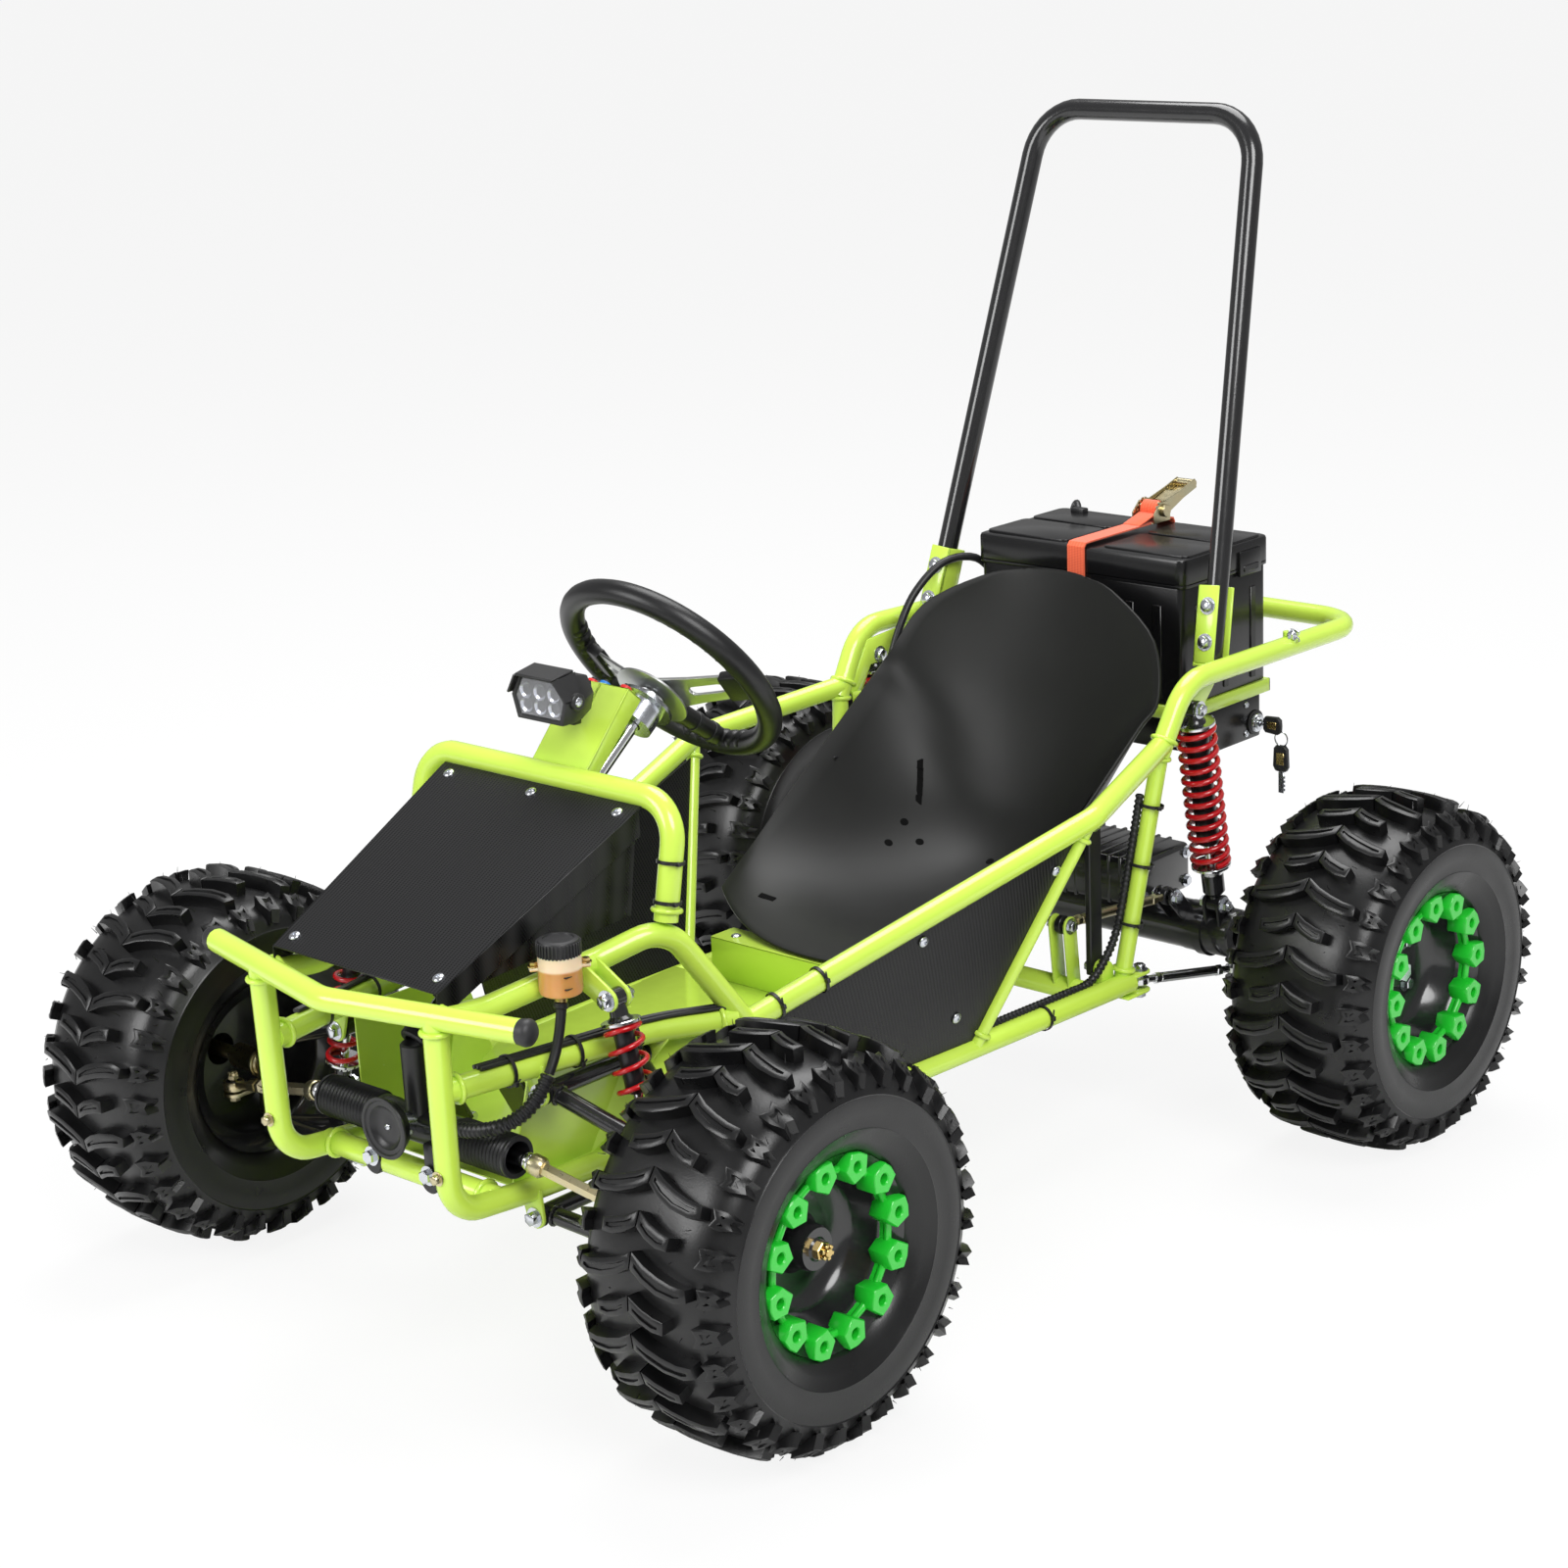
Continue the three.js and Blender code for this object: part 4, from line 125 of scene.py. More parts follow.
def seen_directly(tree):
    """1 for a ray from the camera or through a clear surface, and 0 for a ray that lights the kart."""
    path = tree.nodes.new("ShaderNodeLightPath")
    either = tree.nodes.new("ShaderNodeMath")
    either.operation = "MAXIMUM"
    tree.links.new(path.outputs["Is Camera Ray"], either.inputs[0])
    tree.links.new(path.outputs["Is Transmission Ray"], either.inputs[1])
    return either.outputs[0]


world = bpy.data.worlds.new("studio")
world.use_nodes = True
scene.world = world
sky = world.node_tree
brightness = sky.nodes.new("ShaderNodeMapRange")
brightness.inputs["To Min"].default_value = WORLD_FILL
brightness.inputs["To Max"].default_value = 1.0
sky.links.new(seen_directly(sky), brightness.inputs["Value"])
sky.nodes["Background"].inputs["Color"].default_value = (1, 1, 1, 1)
sky.links.new(brightness.outputs["Result"], sky.nodes["Background"].inputs["Strength"])

floor_bmesh = bmesh.new()
bmesh.ops.create_grid(floor_bmesh, x_segments=1, y_segments=1, size=FLOOR_SIZE / 2)
floor_mesh = bpy.data.meshes.new("studio_floor")
floor_bmesh.to_mesh(floor_mesh)
floor_bmesh.free()
studio_floor = bpy.data.objects.new("studio_floor", floor_mesh)
scene.collection.objects.link(studio_floor)
floor_material = bpy.data.materials.new("studio_floor")
floor_material.use_nodes = True
floor_tree = floor_material.node_tree
floor_tree.nodes.clear()
floor_output = floor_tree.nodes.new("ShaderNodeOutputMaterial")
floor_mix = floor_tree.nodes.new("ShaderNodeMixShader")
floor_diffuse = floor_tree.nodes.new("ShaderNodeBsdfDiffuse")
floor_diffuse.inputs["Color"].default_value = (FLOOR_WHITE, FLOOR_WHITE, FLOOR_WHITE, 1)
floor_glow = floor_tree.nodes.new("ShaderNodeEmission")
floor_share = floor_tree.nodes.new("ShaderNodeMath")
floor_share.operation = "MULTIPLY"
floor_share.inputs[1].default_value = 0.88
floor_tree.links.new(seen_directly(floor_tree), floor_share.inputs[0])
floor_tree.links.new(floor_share.outputs[0], floor_mix.inputs[0])
floor_tree.links.new(floor_diffuse.outputs[0], floor_mix.inputs[1])
floor_tree.links.new(floor_glow.outputs[0], floor_mix.inputs[2])
floor_tree.links.new(floor_mix.outputs[0], floor_output.inputs[0])
floor_mesh.materials.append(floor_material)
print("studio ready")

# %% [markdown]
# ## Writing a finish as sums
#
# A node tree is tedious to write node by node. A small class that wraps one socket and gives it the
# signs of arithmetic lets a finish be written as an expression, and each sign adds its Math node. All
# other nodes come from one method, which takes the type, the settings and the inputs.


# %% Sockets that add and multiply
class Socket:
    """The output of a node, which takes part in sums like a number."""

    def __init__(self, finish, output):
        self.finish = finish
        self.output = output

    def maths(self, operation, *terms):
        return self.finish.node("ShaderNodeMath", {"operation": operation}, dict(enumerate(terms)))

    def __add__(self, other):
        return self.maths("ADD", self, other)

    __radd__ = __add__

    def __mul__(self, other):
        return self.maths("MULTIPLY", self, other)

    __rmul__ = __mul__

    def __sub__(self, other):
        return self.maths("SUBTRACT", self, other)

    def __rsub__(self, other):
        return self.maths("SUBTRACT", other, self)

    def __gt__(self, other):
        return self.maths("GREATER_THAN", self, other)


class Finish:
    """A material with one shader, built from expressions on sockets."""

    def __init__(self, name, colour, roughness, metallic=0.0, **fixed):
        self.material = bpy.data.materials.new(name)
        self.material.use_nodes = True
        self.tree = self.material.node_tree
        self.shader = self.tree.nodes["Principled BSDF"]
        self.set("Base Color", (*colour, 1))
        self.set("Roughness", roughness)
        self.set("Metallic", metallic)
        for key, value in fixed.items():
            self.set(key.replace("_", " ").title().replace("Ior", "IOR"), value)
        self.place = self.node("ShaderNodeTexCoord", output="Object")

    def set(self, name, term):
        self.feed(self.shader.inputs[name], term)

    def feed(self, socket, term):
        if isinstance(term, Socket):
            self.tree.links.new(term.output, socket)
        else:
            socket.default_value = term

    def node(self, kind, settings=None, inputs=None, output=0):
        made = self.tree.nodes.new(kind)
        for name, value in (settings or {}).items():
            setattr(made, name, value)
        for name, term in (inputs or {}).items():
            self.feed(made.inputs[name], term)
        return Socket(self, made.outputs[output])

    def noise(self, scale, detail=2.0, place=None):
        inputs = {"Vector": place or self.place, "Scale": scale, "Detail": detail}
        return self.node("ShaderNodeTexNoise", inputs=inputs)

    def part(self, axis):
        return self.node("ShaderNodeSeparateXYZ", inputs={"Vector": self.place}, output=axis)

    def stretched(self, scale):
        return self.node("ShaderNodeMapping", inputs={"Vector": self.place, "Scale": scale})

    def blend(self, share, first, second):
        colours = {0: share, 6: (*first, 1), 7: (*second, 1)}
        return self.node("ShaderNodeMix", {"data_type": "RGBA"}, colours, output=2)

    def bump(self, height, depth, strength=1.0):
        inputs = {"Height": height, "Distance": depth, "Strength": strength}
        self.set("Normal", self.node("ShaderNodeBump", inputs=inputs))


# %% [markdown]
# ## Paints
#
# The frame is powder coated: a bright lime with the faint waviness that such a coat has, because it melts
# and flows in the oven. Slow noise moves the roughness a little and tilts the surface by a few hundredths
# of a millimetre. The same recipe with other colours makes the black arms, the red springs and the green
# blocks of the wheels.


# %% Powder coats
def powder_coat(name, colour, deeper, roughness, wave=0.00004):
    coat = Finish(name, colour, roughness, coat_weight=0.35, coat_roughness=0.08)
    cloud = coat.noise(14, 3)
    coat.set("Base Color", coat.blend(cloud, colour, deeper))
    coat.set("Roughness", coat.noise(60) * 0.12 + (roughness - 0.06))
    coat.bump(coat.noise(420, 1), wave)
    return coat.material


lime_coat = powder_coat("lime_coat", (0.60, 0.83, 0.10), (0.54, 0.77, 0.08), 0.24)
black_coat = powder_coat("black_coat", (0.009, 0.009, 0.010), (0.014, 0.014, 0.015), 0.2)
red_coat = powder_coat("red_coat", (0.56, 0.008, 0.012), (0.42, 0.006, 0.010), 0.2)
ring_green_coat = powder_coat("ring_green_coat", (0.014, 0.56, 0.030), (0.012, 0.50, 0.024), 0.34)
print("powder coats ready")

# %% [markdown]
# ## Metals
#
# Bolts are zinc plated, bright and slightly blue. The tie rods, the knuckle parts and the ratchet are
# yellow zinc, whose thin film shifts between straw, green and pink from place to place. Noise picks
# between these tints. The spokes are brushed: noise stretched hard along one direction gives the streaks.


# %% Plated and brushed metals
def plated(name, colour, tint, roughness, patch=60):
    metal = Finish(name, colour, roughness, metallic=1.0)
    cloud = metal.noise(patch, 3)
    metal.set("Base Color", metal.blend(cloud, colour, tint))
    metal.set("Roughness", metal.noise(220) * 0.16 + (roughness - 0.08))
    metal.bump(metal.noise(900, 1), 0.00002)
    return metal.material


def brushed(name, colour, roughness):
    metal = Finish(name, colour, roughness, metallic=1.0)
    streaks = metal.noise(90, 3, metal.stretched((1, 30, 30)))
    metal.set("Roughness", streaks * 0.2 + (roughness - 0.1))
    metal.bump(streaks, 0.00003)
    return metal.material


bright_zinc = plated("bright_zinc", (0.66, 0.68, 0.71), (0.55, 0.57, 0.62), 0.24)
yellow_zinc = plated("yellow_zinc", (0.60, 0.48, 0.26), (0.50, 0.50, 0.36), 0.3)
polished_steel = plated("polished_steel", (0.72, 0.72, 0.73), (0.62, 0.63, 0.65), 0.14)
brass = plated("brass", (0.66, 0.47, 0.16), (0.55, 0.42, 0.20), 0.26)
brushed_plate = brushed("brushed_plate", (0.50, 0.51, 0.50), 0.36)
print("metals ready")

# %% [markdown]
# ## Plastics and rubbers
#
# Moulded parts differ by their grain. The seat is matt with a very fine grain, the lamp and the cap
# coarser, the wheel's rim a foamed rubber with pits, and the hoses are smooth. One recipe takes the size
# and the depth of the grain. Slow noise in the roughness stands for handling marks.


# %% Moulded plastics and rubbers
def moulded(name, colour, roughness, grain=1500, depth=0.00003, marks=0.12, shine=0.4):
    plastic = Finish(name, colour, roughness, specular_ior_level=shine)
    cloud = plastic.noise(9, 4)
    lighter = tuple(value * 1.5 + 0.001 for value in colour)
    plastic.set("Base Color", plastic.blend(cloud, colour, lighter))
    plastic.set("Roughness", cloud * marks + (roughness - marks / 2))
    plastic.bump(plastic.noise(grain, 2), depth)
    return plastic.material


seat_plastic = moulded("seat_plastic", (0.006, 0.0062, 0.0058), 0.42, grain=2200, depth=0.00002, shine=0.24)
box_plastic = moulded("box_plastic", (0.005, 0.005, 0.0055), 0.24, grain=700, depth=0.00002)
lamp_plastic = moulded("lamp_plastic", (0.014, 0.014, 0.0145), 0.42)
hose_rubber = moulded("hose_rubber", (0.010, 0.010, 0.011), 0.38)
grip_rubber = moulded("grip_rubber", (0.006, 0.006, 0.0065), 0.36, grain=650, depth=0.0001)
black_iron = moulded("black_iron", (0.010, 0.010, 0.011), 0.34, grain=500, depth=0.00006)
cap_plastic = moulded("cap_plastic", (0.018, 0.018, 0.019), 0.45)
# A near-black matt finish: painted shade for the seat's bolt holes and slots, which are not cut.
painted_hole_shade = moulded("painted_hole_shade", (0.001, 0.001, 0.001), 0.9, shine=0.1)
terminal_red = moulded("terminal_red", (0.55, 0.02, 0.02), 0.4)
terminal_blue = moulded("terminal_blue", (0.02, 0.16, 0.55), 0.4)


def tyre_rubber():
    rubber = Finish("tyre_rubber", (0.0045, 0.0045, 0.005), 0.34, specular_ior_level=0.42)
    cloud = rubber.noise(22, 5)
    rubber.set("Base Color", rubber.blend(cloud, (0.003, 0.003, 0.0032), (0.0075, 0.0075, 0.008)))
    rubber.set("Roughness", rubber.noise(35, 4) * 0.22 + 0.2)
    rubber.bump(rubber.noise(520, 3), 0.00009)
    return rubber.material


def clouded_amber():
    plastic = Finish("clouded_amber", (0.80, 0.50, 0.24), 0.28, subsurface_weight=0.35, subsurface_scale=0.01)
    height = plastic.part("Z")
    low = (height - 0.424) * 400
    share = low.maths("MINIMUM", low.maths("MAXIMUM", low, 0.0), 1.0)
    plastic.set("Base Color", plastic.blend(share, (0.70, 0.33, 0.10), (0.80, 0.62, 0.42)))
    plastic.bump(plastic.noise(800, 2), 0.00004)
    return plastic.material


reservoir_amber = clouded_amber()
tyre_black = tyre_rubber()

# %% [markdown]
# The nose and the side panels are thin sheets with a woven-look film: fine dark stripes that run one way,
# crossed by a weaker set. A sine of the position along a slanted line gives such stripes, and it moves
# both the colour and the gloss. The strap's webbing uses the same idea at a coarser step.


# %% Striped film and webbing
def stripes(finish, axis_shares, pitch):
    """A wave from 0 to 1 along a slanted direction of the object."""
    total = None
    for axis, share in axis_shares.items():
        term = finish.part(axis) * (share * 2 * math.pi / pitch)
        total = term if total is None else total + term
    return total.maths("SINE", total) * 0.5 + 0.5


def woven_film():
    film = Finish("woven_film", (0.01, 0.01, 0.01), 0.3, specular_ior_level=0.28)
    along = stripes(film, {"X": 1.0, "Y": 0.06}, 0.0042)
    across = stripes(film, {"Y": 1.0, "Z": 0.6}, 0.0031)
    weave = along * 0.75 + across * 0.25
    film.set("Base Color", film.blend(weave, (0.0025, 0.0025, 0.0028), (0.018, 0.018, 0.019)))
    film.set("Roughness", weave * 0.2 + 0.26)
    film.bump(weave, 0.00005)
    return film.material


def side_film():
    film = Finish("side_film", (0.01, 0.01, 0.01), 0.3, specular_ior_level=0.28)
    along = stripes(film, {"Y": 0.94, "Z": 0.34}, 0.0042)
    across = stripes(film, {"Z": 0.94, "Y": -0.34}, 0.0031)
    weave = along * 0.75 + across * 0.25
    film.set("Base Color", film.blend(weave, (0.0025, 0.0025, 0.0028), (0.018, 0.018, 0.019)))
    film.set("Roughness", weave * 0.2 + 0.26)
    film.bump(weave, 0.00005)
    return film.material


def webbing():
    cloth = Finish("webbing", (0.85, 0.10, 0.03), 0.75, sheen_weight=0.3)
    ribs = stripes(cloth, {"Y": 1.0, "Z": 1.0}, 0.0019)
    rows = stripes(cloth, {"X": 1.0}, 0.0042)
    weave = ribs * 0.6 + rows * 0.4
    cloth.set("Base Color", cloth.blend(weave, (0.72, 0.07, 0.02), (0.95, 0.17, 0.06)))
    cloth.bump(weave, 0.00025)
    return cloth.material


panel_film = woven_film()
side_panel_film = side_film()
strap_webbing = webbing()


def clear_lens():
    glass = Finish("lamp_lens", (0.86, 0.87, 0.90), 0.06, transmission_weight=0.9, ior=1.45)
    glass.bump(glass.noise(60, 1), 0.00003)
    return glass.material


lamp_lens = clear_lens()
lamp_mirror = plated("lamp_mirror", (0.82, 0.83, 0.86), (0.70, 0.72, 0.78), 0.1)
print("plastics, films and webbing ready")
# %% [markdown]
# ## Making a piece
#
# Every piece goes the same way from its faces to the scene: merge the doubles, turn the faces outwards,
# shade it smooth except at sharp edges, give it a finish, let it ride on a body and hide the imported
# parts that it replaces. One function does all of this, so that each cell below is only about shape.

# %% From faces to a piece
MERGE_DISTANCE = 1e-6
SMOOTH_LIMIT = math.radians(38)


def shade(mesh, limit=SMOOTH_LIMIT):
    """Smooth faces, with the edges that turn by more than the limit kept sharp."""
    mesh.polygons.foreach_set("use_smooth", [True] * len(mesh.polygons))
    mesh.set_sharp_from_angle(angle=limit)


def piece(name, shape, finish, body, replaces=(), limit=SMOOTH_LIMIT):
    """Turn a bmesh into a finished piece. The finish is one material, or a list for numbered faces."""
    bmesh.ops.remove_doubles(shape, verts=shape.verts[:], dist=MERGE_DISTANCE)
    bmesh.ops.recalc_face_normals(shape, faces=shape.faces[:])
    mesh = bpy.data.meshes.new(name)
    shape.to_mesh(mesh)
    shape.free()
    for material in finish if isinstance(finish, list) else [finish]:
        mesh.materials.append(material)
    shade(mesh, limit)
    made = bpy.data.objects.new(name, mesh)
    scene.collection.objects.link(made)
    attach(made, body)
    if replaces:
        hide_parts(*replaces)
    return made


def joined(shape, part, matrix=None, index=None, keep=False):
    """Move one bmesh into another, placed by a matrix and with a material number for its faces."""
    if matrix:
        bmesh.ops.transform(part, matrix=matrix, verts=part.verts[:])
    if index is not None:
        for face in part.faces:
            face.material_index = index
    mesh = bpy.data.meshes.new("part")
    part.to_mesh(mesh)
    shape.from_mesh(mesh)
    bpy.data.meshes.remove(mesh)
    if keep:
        bmesh.ops.transform(part, matrix=matrix.inverted(), verts=part.verts[:])
    else:
        part.free()


def facing(place, direction, turn=0.0):
    """A matrix that carries the Z axis to a direction and the origin to a place."""
    rotation = Vector(direction).to_track_quat("Z", "Y").to_matrix().to_4x4()
    return Matrix.Translation(Vector(place)) @ rotation @ Matrix.Rotation(turn, 4, "Z")


def mirrored(points):
    return [(-x, y, z) for x, y, z in points]


def rounded_edges(shape, edges, width, segments=2):
    bmesh.ops.bevel(
        shape,
        geom=edges,
        offset=width,
        offset_type="OFFSET",
        affect="EDGES",
        segments=segments,
        profile=0.5,
        material=-1,
    )


# %% [markdown]
# ## Turned shapes
#
# Bolts, cups, dampers, rims and tyres are all turned round an axis. On a lathe the profile is half a
# section, and the work turns under the tool. The spin operator does the same: a chain of edges, given as
# radius and height, goes once round the Z axis, and a matrix then carries it to its place. Where the
# profile starts or ends on the axis, merging the doubles closes the pole.


# %% Lathe
def lathe(shape, profile, matrix, steps=32, index=0):
    """Turn a profile of (radius, height) points round Z and place the result."""
    work = bmesh.new()
    ring = [work.verts.new((radius, 0, height)) for radius, height in profile]
    edges = [work.edges.new(pair) for pair in zip(ring, ring[1:])]
    bmesh.ops.spin(
        work,
        geom=ring + edges,
        cent=(0, 0, 0),
        axis=(0, 0, 1),
        angle=2 * math.pi,
        steps=steps,
        use_merge=True,
    )
    bmesh.ops.remove_doubles(work, verts=work.verts[:], dist=MERGE_DISTANCE)
    joined(shape, work, matrix, index)


def rod(shape, start, end, radius, steps=24, index=0, edge=0.0):
    """A round bar between two points, with its rims broken by a small chamfer."""
    start = Vector(start)
    way = Vector(end) - start
    length = way.length
    edge = edge or radius * 0.12
    profile = [(0, 0), (radius - edge, 0), (radius, edge), (radius, length - edge), (radius - edge, length), (0, length)]
    lathe(shape, profile, facing(start, way), steps, index)


# %% [markdown]
# ## Tubes
#
# The frame is bent steel tube. A tube follows a line whose corners are rounded, as on a tube bender, and
# a curve with a round bevel gives the wall. The corners are worked out here, because a bend has one exact
# radius that a handle-driven curve only comes near: the line leaves the first leg at a tangent length from
# the corner and turns round a centre until it meets the second leg.


# %% Bent lines and round tubes
BEND_STEP = math.radians(9)


def bent_line(points, radius):
    """The points of a line whose corners are arcs of one radius."""
    points = [Vector(point) for point in points]
    line = [points[0]]
    for before, corner, after in zip(points, points[1:], points[2:]):
        to_before = (before - corner).normalized()
        to_after = (after - corner).normalized()
        turn = math.pi - to_before.angle(to_after)
        if turn < math.radians(1):
            line.append(corner)
            continue
        reach = radius * math.tan(turn / 2)
        reach = min(reach, 0.49 * (before - corner).length, 0.49 * (after - corner).length)
        true_radius = reach / math.tan(turn / 2)
        middle = (to_before + to_after).normalized()
        centre = corner + middle * (true_radius / math.cos(turn / 2))
        arm = corner + to_before * reach - centre
        axis = arm.cross(corner + to_after * reach - centre).normalized()
        steps = max(2, round(turn / BEND_STEP))
        line.extend(centre + Matrix.Rotation(turn * step / steps, 3, axis) @ arm for step in range(steps + 1))
    line.append(points[-1])
    return line


def curve_mesh(name, line, radius, closed=False, resolution=5, smooth=False):
    """A round bar along a line, as a mesh."""
    curve = bpy.data.curves.new(name, "CURVE")
    curve.dimensions = "3D"
    curve.bevel_depth = radius
    curve.bevel_resolution = resolution
    curve.use_fill_caps = True
    spline = curve.splines.new("NURBS" if smooth else "POLY")
    spline.points.add(len(line) - 1)
    for point, place in zip(spline.points, line):
        point.co = (*place, 1)
    spline.use_cyclic_u = closed
    if smooth:
        spline.order_u = 4
        spline.use_endpoint_u = True
        spline.resolution_u = 4
    holder = bpy.data.objects.new(name, curve)
    scene.collection.objects.link(holder)
    bpy.context.view_layer.update()
    mesh = bpy.data.meshes.new_from_object(holder.evaluated_get(bpy.context.evaluated_depsgraph_get()))
    bpy.data.objects.remove(holder)
    bpy.data.curves.remove(curve)
    return mesh


def add_tube(shape, line, radius, index=0, closed=False, resolution=5, smooth=False):
    """Add a round bar along a line to a shape."""
    mesh = curve_mesh("tube", line, radius, closed, resolution, smooth)
    mesh.polygons.foreach_set("material_index", [index] * len(mesh.polygons))
    shape.from_mesh(mesh)
    bpy.data.meshes.remove(mesh)


def add_weld(shape, place, direction, radius, bead=0.0028, index=0):
    """The rippled bead of a weld, as a ring of overlapping small coins round a tube."""
    ripples = max(16, round(2 * math.pi * radius / 0.0034))
    ring = []
    for step in range(ripples * 2):
        angle = math.pi * step / ripples
        swell = radius + bead * (0.25 if step % 2 else 0.42)
        ring.append(facing(place, direction) @ Vector((math.cos(angle) * swell, math.sin(angle) * swell, 0)))
    add_tube(shape, ring, bead, index, closed=True, resolution=2)


# %% [markdown]
# ## Plates, boxes and bolts
#
# Brackets, tabs and gussets are cut from plate: an outline, extruded by its thickness, with its edges
# slightly broken. A hole is a second loop, bridged to the first on both sides. Boxes are a bevelled cube.
# A bolt is a six-sided head with a chamfered top over a washer.


# %% Plate, box and bolt
def add_plate(shape, outline, depth, index=0, edge=0.0006, holes=()):
    """A flat plate from an outline of 3-D points, thickened along the depth vector.

    A hole is a centre and a radius, or a loop of points and None."""
    plate = bmesh.new()
    corners = [plate.verts.new(point) for point in outline]
    rim = [plate.edges.new(pair) for pair in zip(corners, corners[1:] + corners[:1])]
    loops = list(rim)
    for centre, radius in holes:
        if radius:
            made = bmesh.ops.create_circle(plate, segments=20, radius=radius, matrix=facing(centre, depth))
            loops.extend({edge for vert in made["verts"] for edge in vert.link_edges})
        else:
            ring = [plate.verts.new(point) for point in centre]
            loops.extend(plate.edges.new(pair) for pair in zip(ring, ring[1:] + ring[:1]))
    bmesh.ops.triangle_fill(plate, edges=loops, use_beauty=True)
    lower = plate.faces[:]
    made = bmesh.ops.extrude_face_region(plate, geom=lower, use_keep_orig=True)
    bmesh.ops.translate(plate, vec=depth, verts=[item for item in made["geom"] if isinstance(item, bmesh.types.BMVert)])
    bmesh.ops.recalc_face_normals(plate, faces=plate.faces[:])
    if edge:
        sharp = [item for item in plate.edges if len(item.link_faces) == 2 and item.calc_face_angle() > 0.9]
        rounded_edges(plate, sharp, edge, 1)
    joined(shape, plate, None, index)


def add_box(shape, centre, size, matrix=None, edge=0.002, segments=2, index=0, taper=0.0):
    """A box with rounded edges. The taper draws its top in."""
    box = bmesh.new()
    bmesh.ops.create_cube(box, size=1)
    if taper:
        top = [vert for vert in box.verts if vert.co.z > 0]
        bmesh.ops.scale(box, vec=(1 - taper, 1 - taper, 1), verts=top)
    bmesh.ops.scale(box, vec=size, verts=box.verts[:])
    if edge:
        rounded_edges(box, box.edges[:], edge, segments)
    joined(shape, box, (matrix or Matrix()) @ Matrix.Translation(Vector(centre)), index)


def add_hex(shape, place, direction, across, height, index=0, turn=0.0):
    """A six-sided head or nut with a chamfered top."""
    head = bmesh.new()
    radius = across / math.sqrt(3)
    bmesh.ops.create_cone(
        head,
        cap_ends=True,
        segments=6,
        radius1=radius,
        radius2=radius,
        depth=height,
        matrix=Matrix.Translation((0, 0, height / 2)),
    )
    top_rim = [edge for edge in head.edges if all(vert.co.z > height / 2 for vert in edge.verts)]
    rounded_edges(head, top_rim, height * 0.12, 1)
    joined(shape, head, facing(place, direction, turn), index)


def add_bolt(shape, place, direction, across=0.011, height=0.006, index=0, nut=False):
    """A washer, a six-sided head and, for a nut, the end of the thread."""
    washer = [(0, 0), (across * 0.82, 0), (across * 0.82, 0.0012), (0, 0.0012)]
    lathe(shape, washer, facing(place, direction), 20, index)
    way = Vector(direction).normalized()
    add_hex(shape, Vector(place) + way * 0.0012, direction, across, height, index)
    if nut:
        rod(shape, Vector(place) + way * height, Vector(place) + way * (height + 0.005), across * 0.27, 12, index)


def add_dome(shape, place, direction, radius, height, index=0):
    """A button-headed screw with a hexagon socket."""
    profile = [(radius, 0), (radius, height * 0.2)]
    profile += [(radius * math.cos(0.3 * step), height * (0.2 + 0.8 * math.sin(0.3 * step))) for step in range(1, 5)]
    profile += [(radius * 0.3, height * 0.96), (radius * 0.28, height * 0.5), (0, height * 0.45)]
    lathe(shape, profile, facing(place, direction), 18, index)


print("workshop ready")
# %% [markdown]
# ## The frame
#
# The frame has two sides that mirror each other and a few cross pieces. Each run of tube is written once
# as the points that its centre line would have with sharp corners, for the left side; the right side is
# the same with x turned round. The tubes of one side are joined in one mesh, as on the welded frame, and a
# bead of weld goes round each place where a tube ends on another.

# %% Tubes of the welded frame
TUBE = 0.0125
BRACE_TUBE = 0.008
UPRIGHT_TUBE = 0.010
BEND = 0.042
FRAME_SHARP = math.radians(50)

FRONT_POST = ((0.1281, -0.6922, 0.406), (0.1255, -0.687, 0.2028), (0.125, -0.5999, 0.1946))
LOWER_RAIL = ((0.125, -0.5999, 0.1946), (0.125, -0.4899, 0.19), (0.2051, -0.3301, 0.1879), (0.2181, 0.2681, 0.1802))
MID_RAIL = ((0.1253, -0.6851, 0.3282), (0.168, -0.45, 0.3282), (0.2051, -0.3674, 0.3251))
UPPER_RAIL = (
    (0.122, -0.6928, 0.3988),
    (0.1211, -0.622, 0.3922),
    (0.1501, -0.497, 0.4132),
    (0.1819, -0.4353, 0.4362),
    (0.2051, -0.3521, 0.3149),
)
SIDE_RAIL = ((0.2051, -0.3521, 0.3149), (0.2951, 0.1063, 0.4301), (0.2399, 0.3044, 0.4552))
UPRIGHT = ((0.2399, 0.3044, 0.4552), (0.213, 0.2604, 0.1828))
BRACE = ((0.2928, 0.0996, 0.4239), (0.216, -0.008, 0.1879))
SIDE_TUBES = (
    (LOWER_RAIL, TUBE),
    (MID_RAIL, TUBE),
    (UPPER_RAIL, TUBE),
    (SIDE_RAIL, TUBE),
    (UPRIGHT, UPRIGHT_TUBE),
    (BRACE, BRACE_TUBE),
)
WELDS = (
    (MID_RAIL[0], MID_RAIL[1], TUBE, 0.0145),
    (MID_RAIL[2], MID_RAIL[1], TUBE, 0.0165),
    (UPPER_RAIL[0], UPPER_RAIL[1], TUBE, 0.0145),
    (UPRIGHT[0], UPRIGHT[1], UPRIGHT_TUBE, 0.0145),
    (UPRIGHT[1], UPRIGHT[0], UPRIGHT_TUBE, 0.0145),
    (BRACE[0], BRACE[1], BRACE_TUBE, 0.0175),
    (BRACE[1], BRACE[0], BRACE_TUBE, 0.0145),
)


def sided(point, side):
    return Vector((point[0] * side, point[1], point[2]))


def both_sides():
    return (("left", 1), ("right", -1))


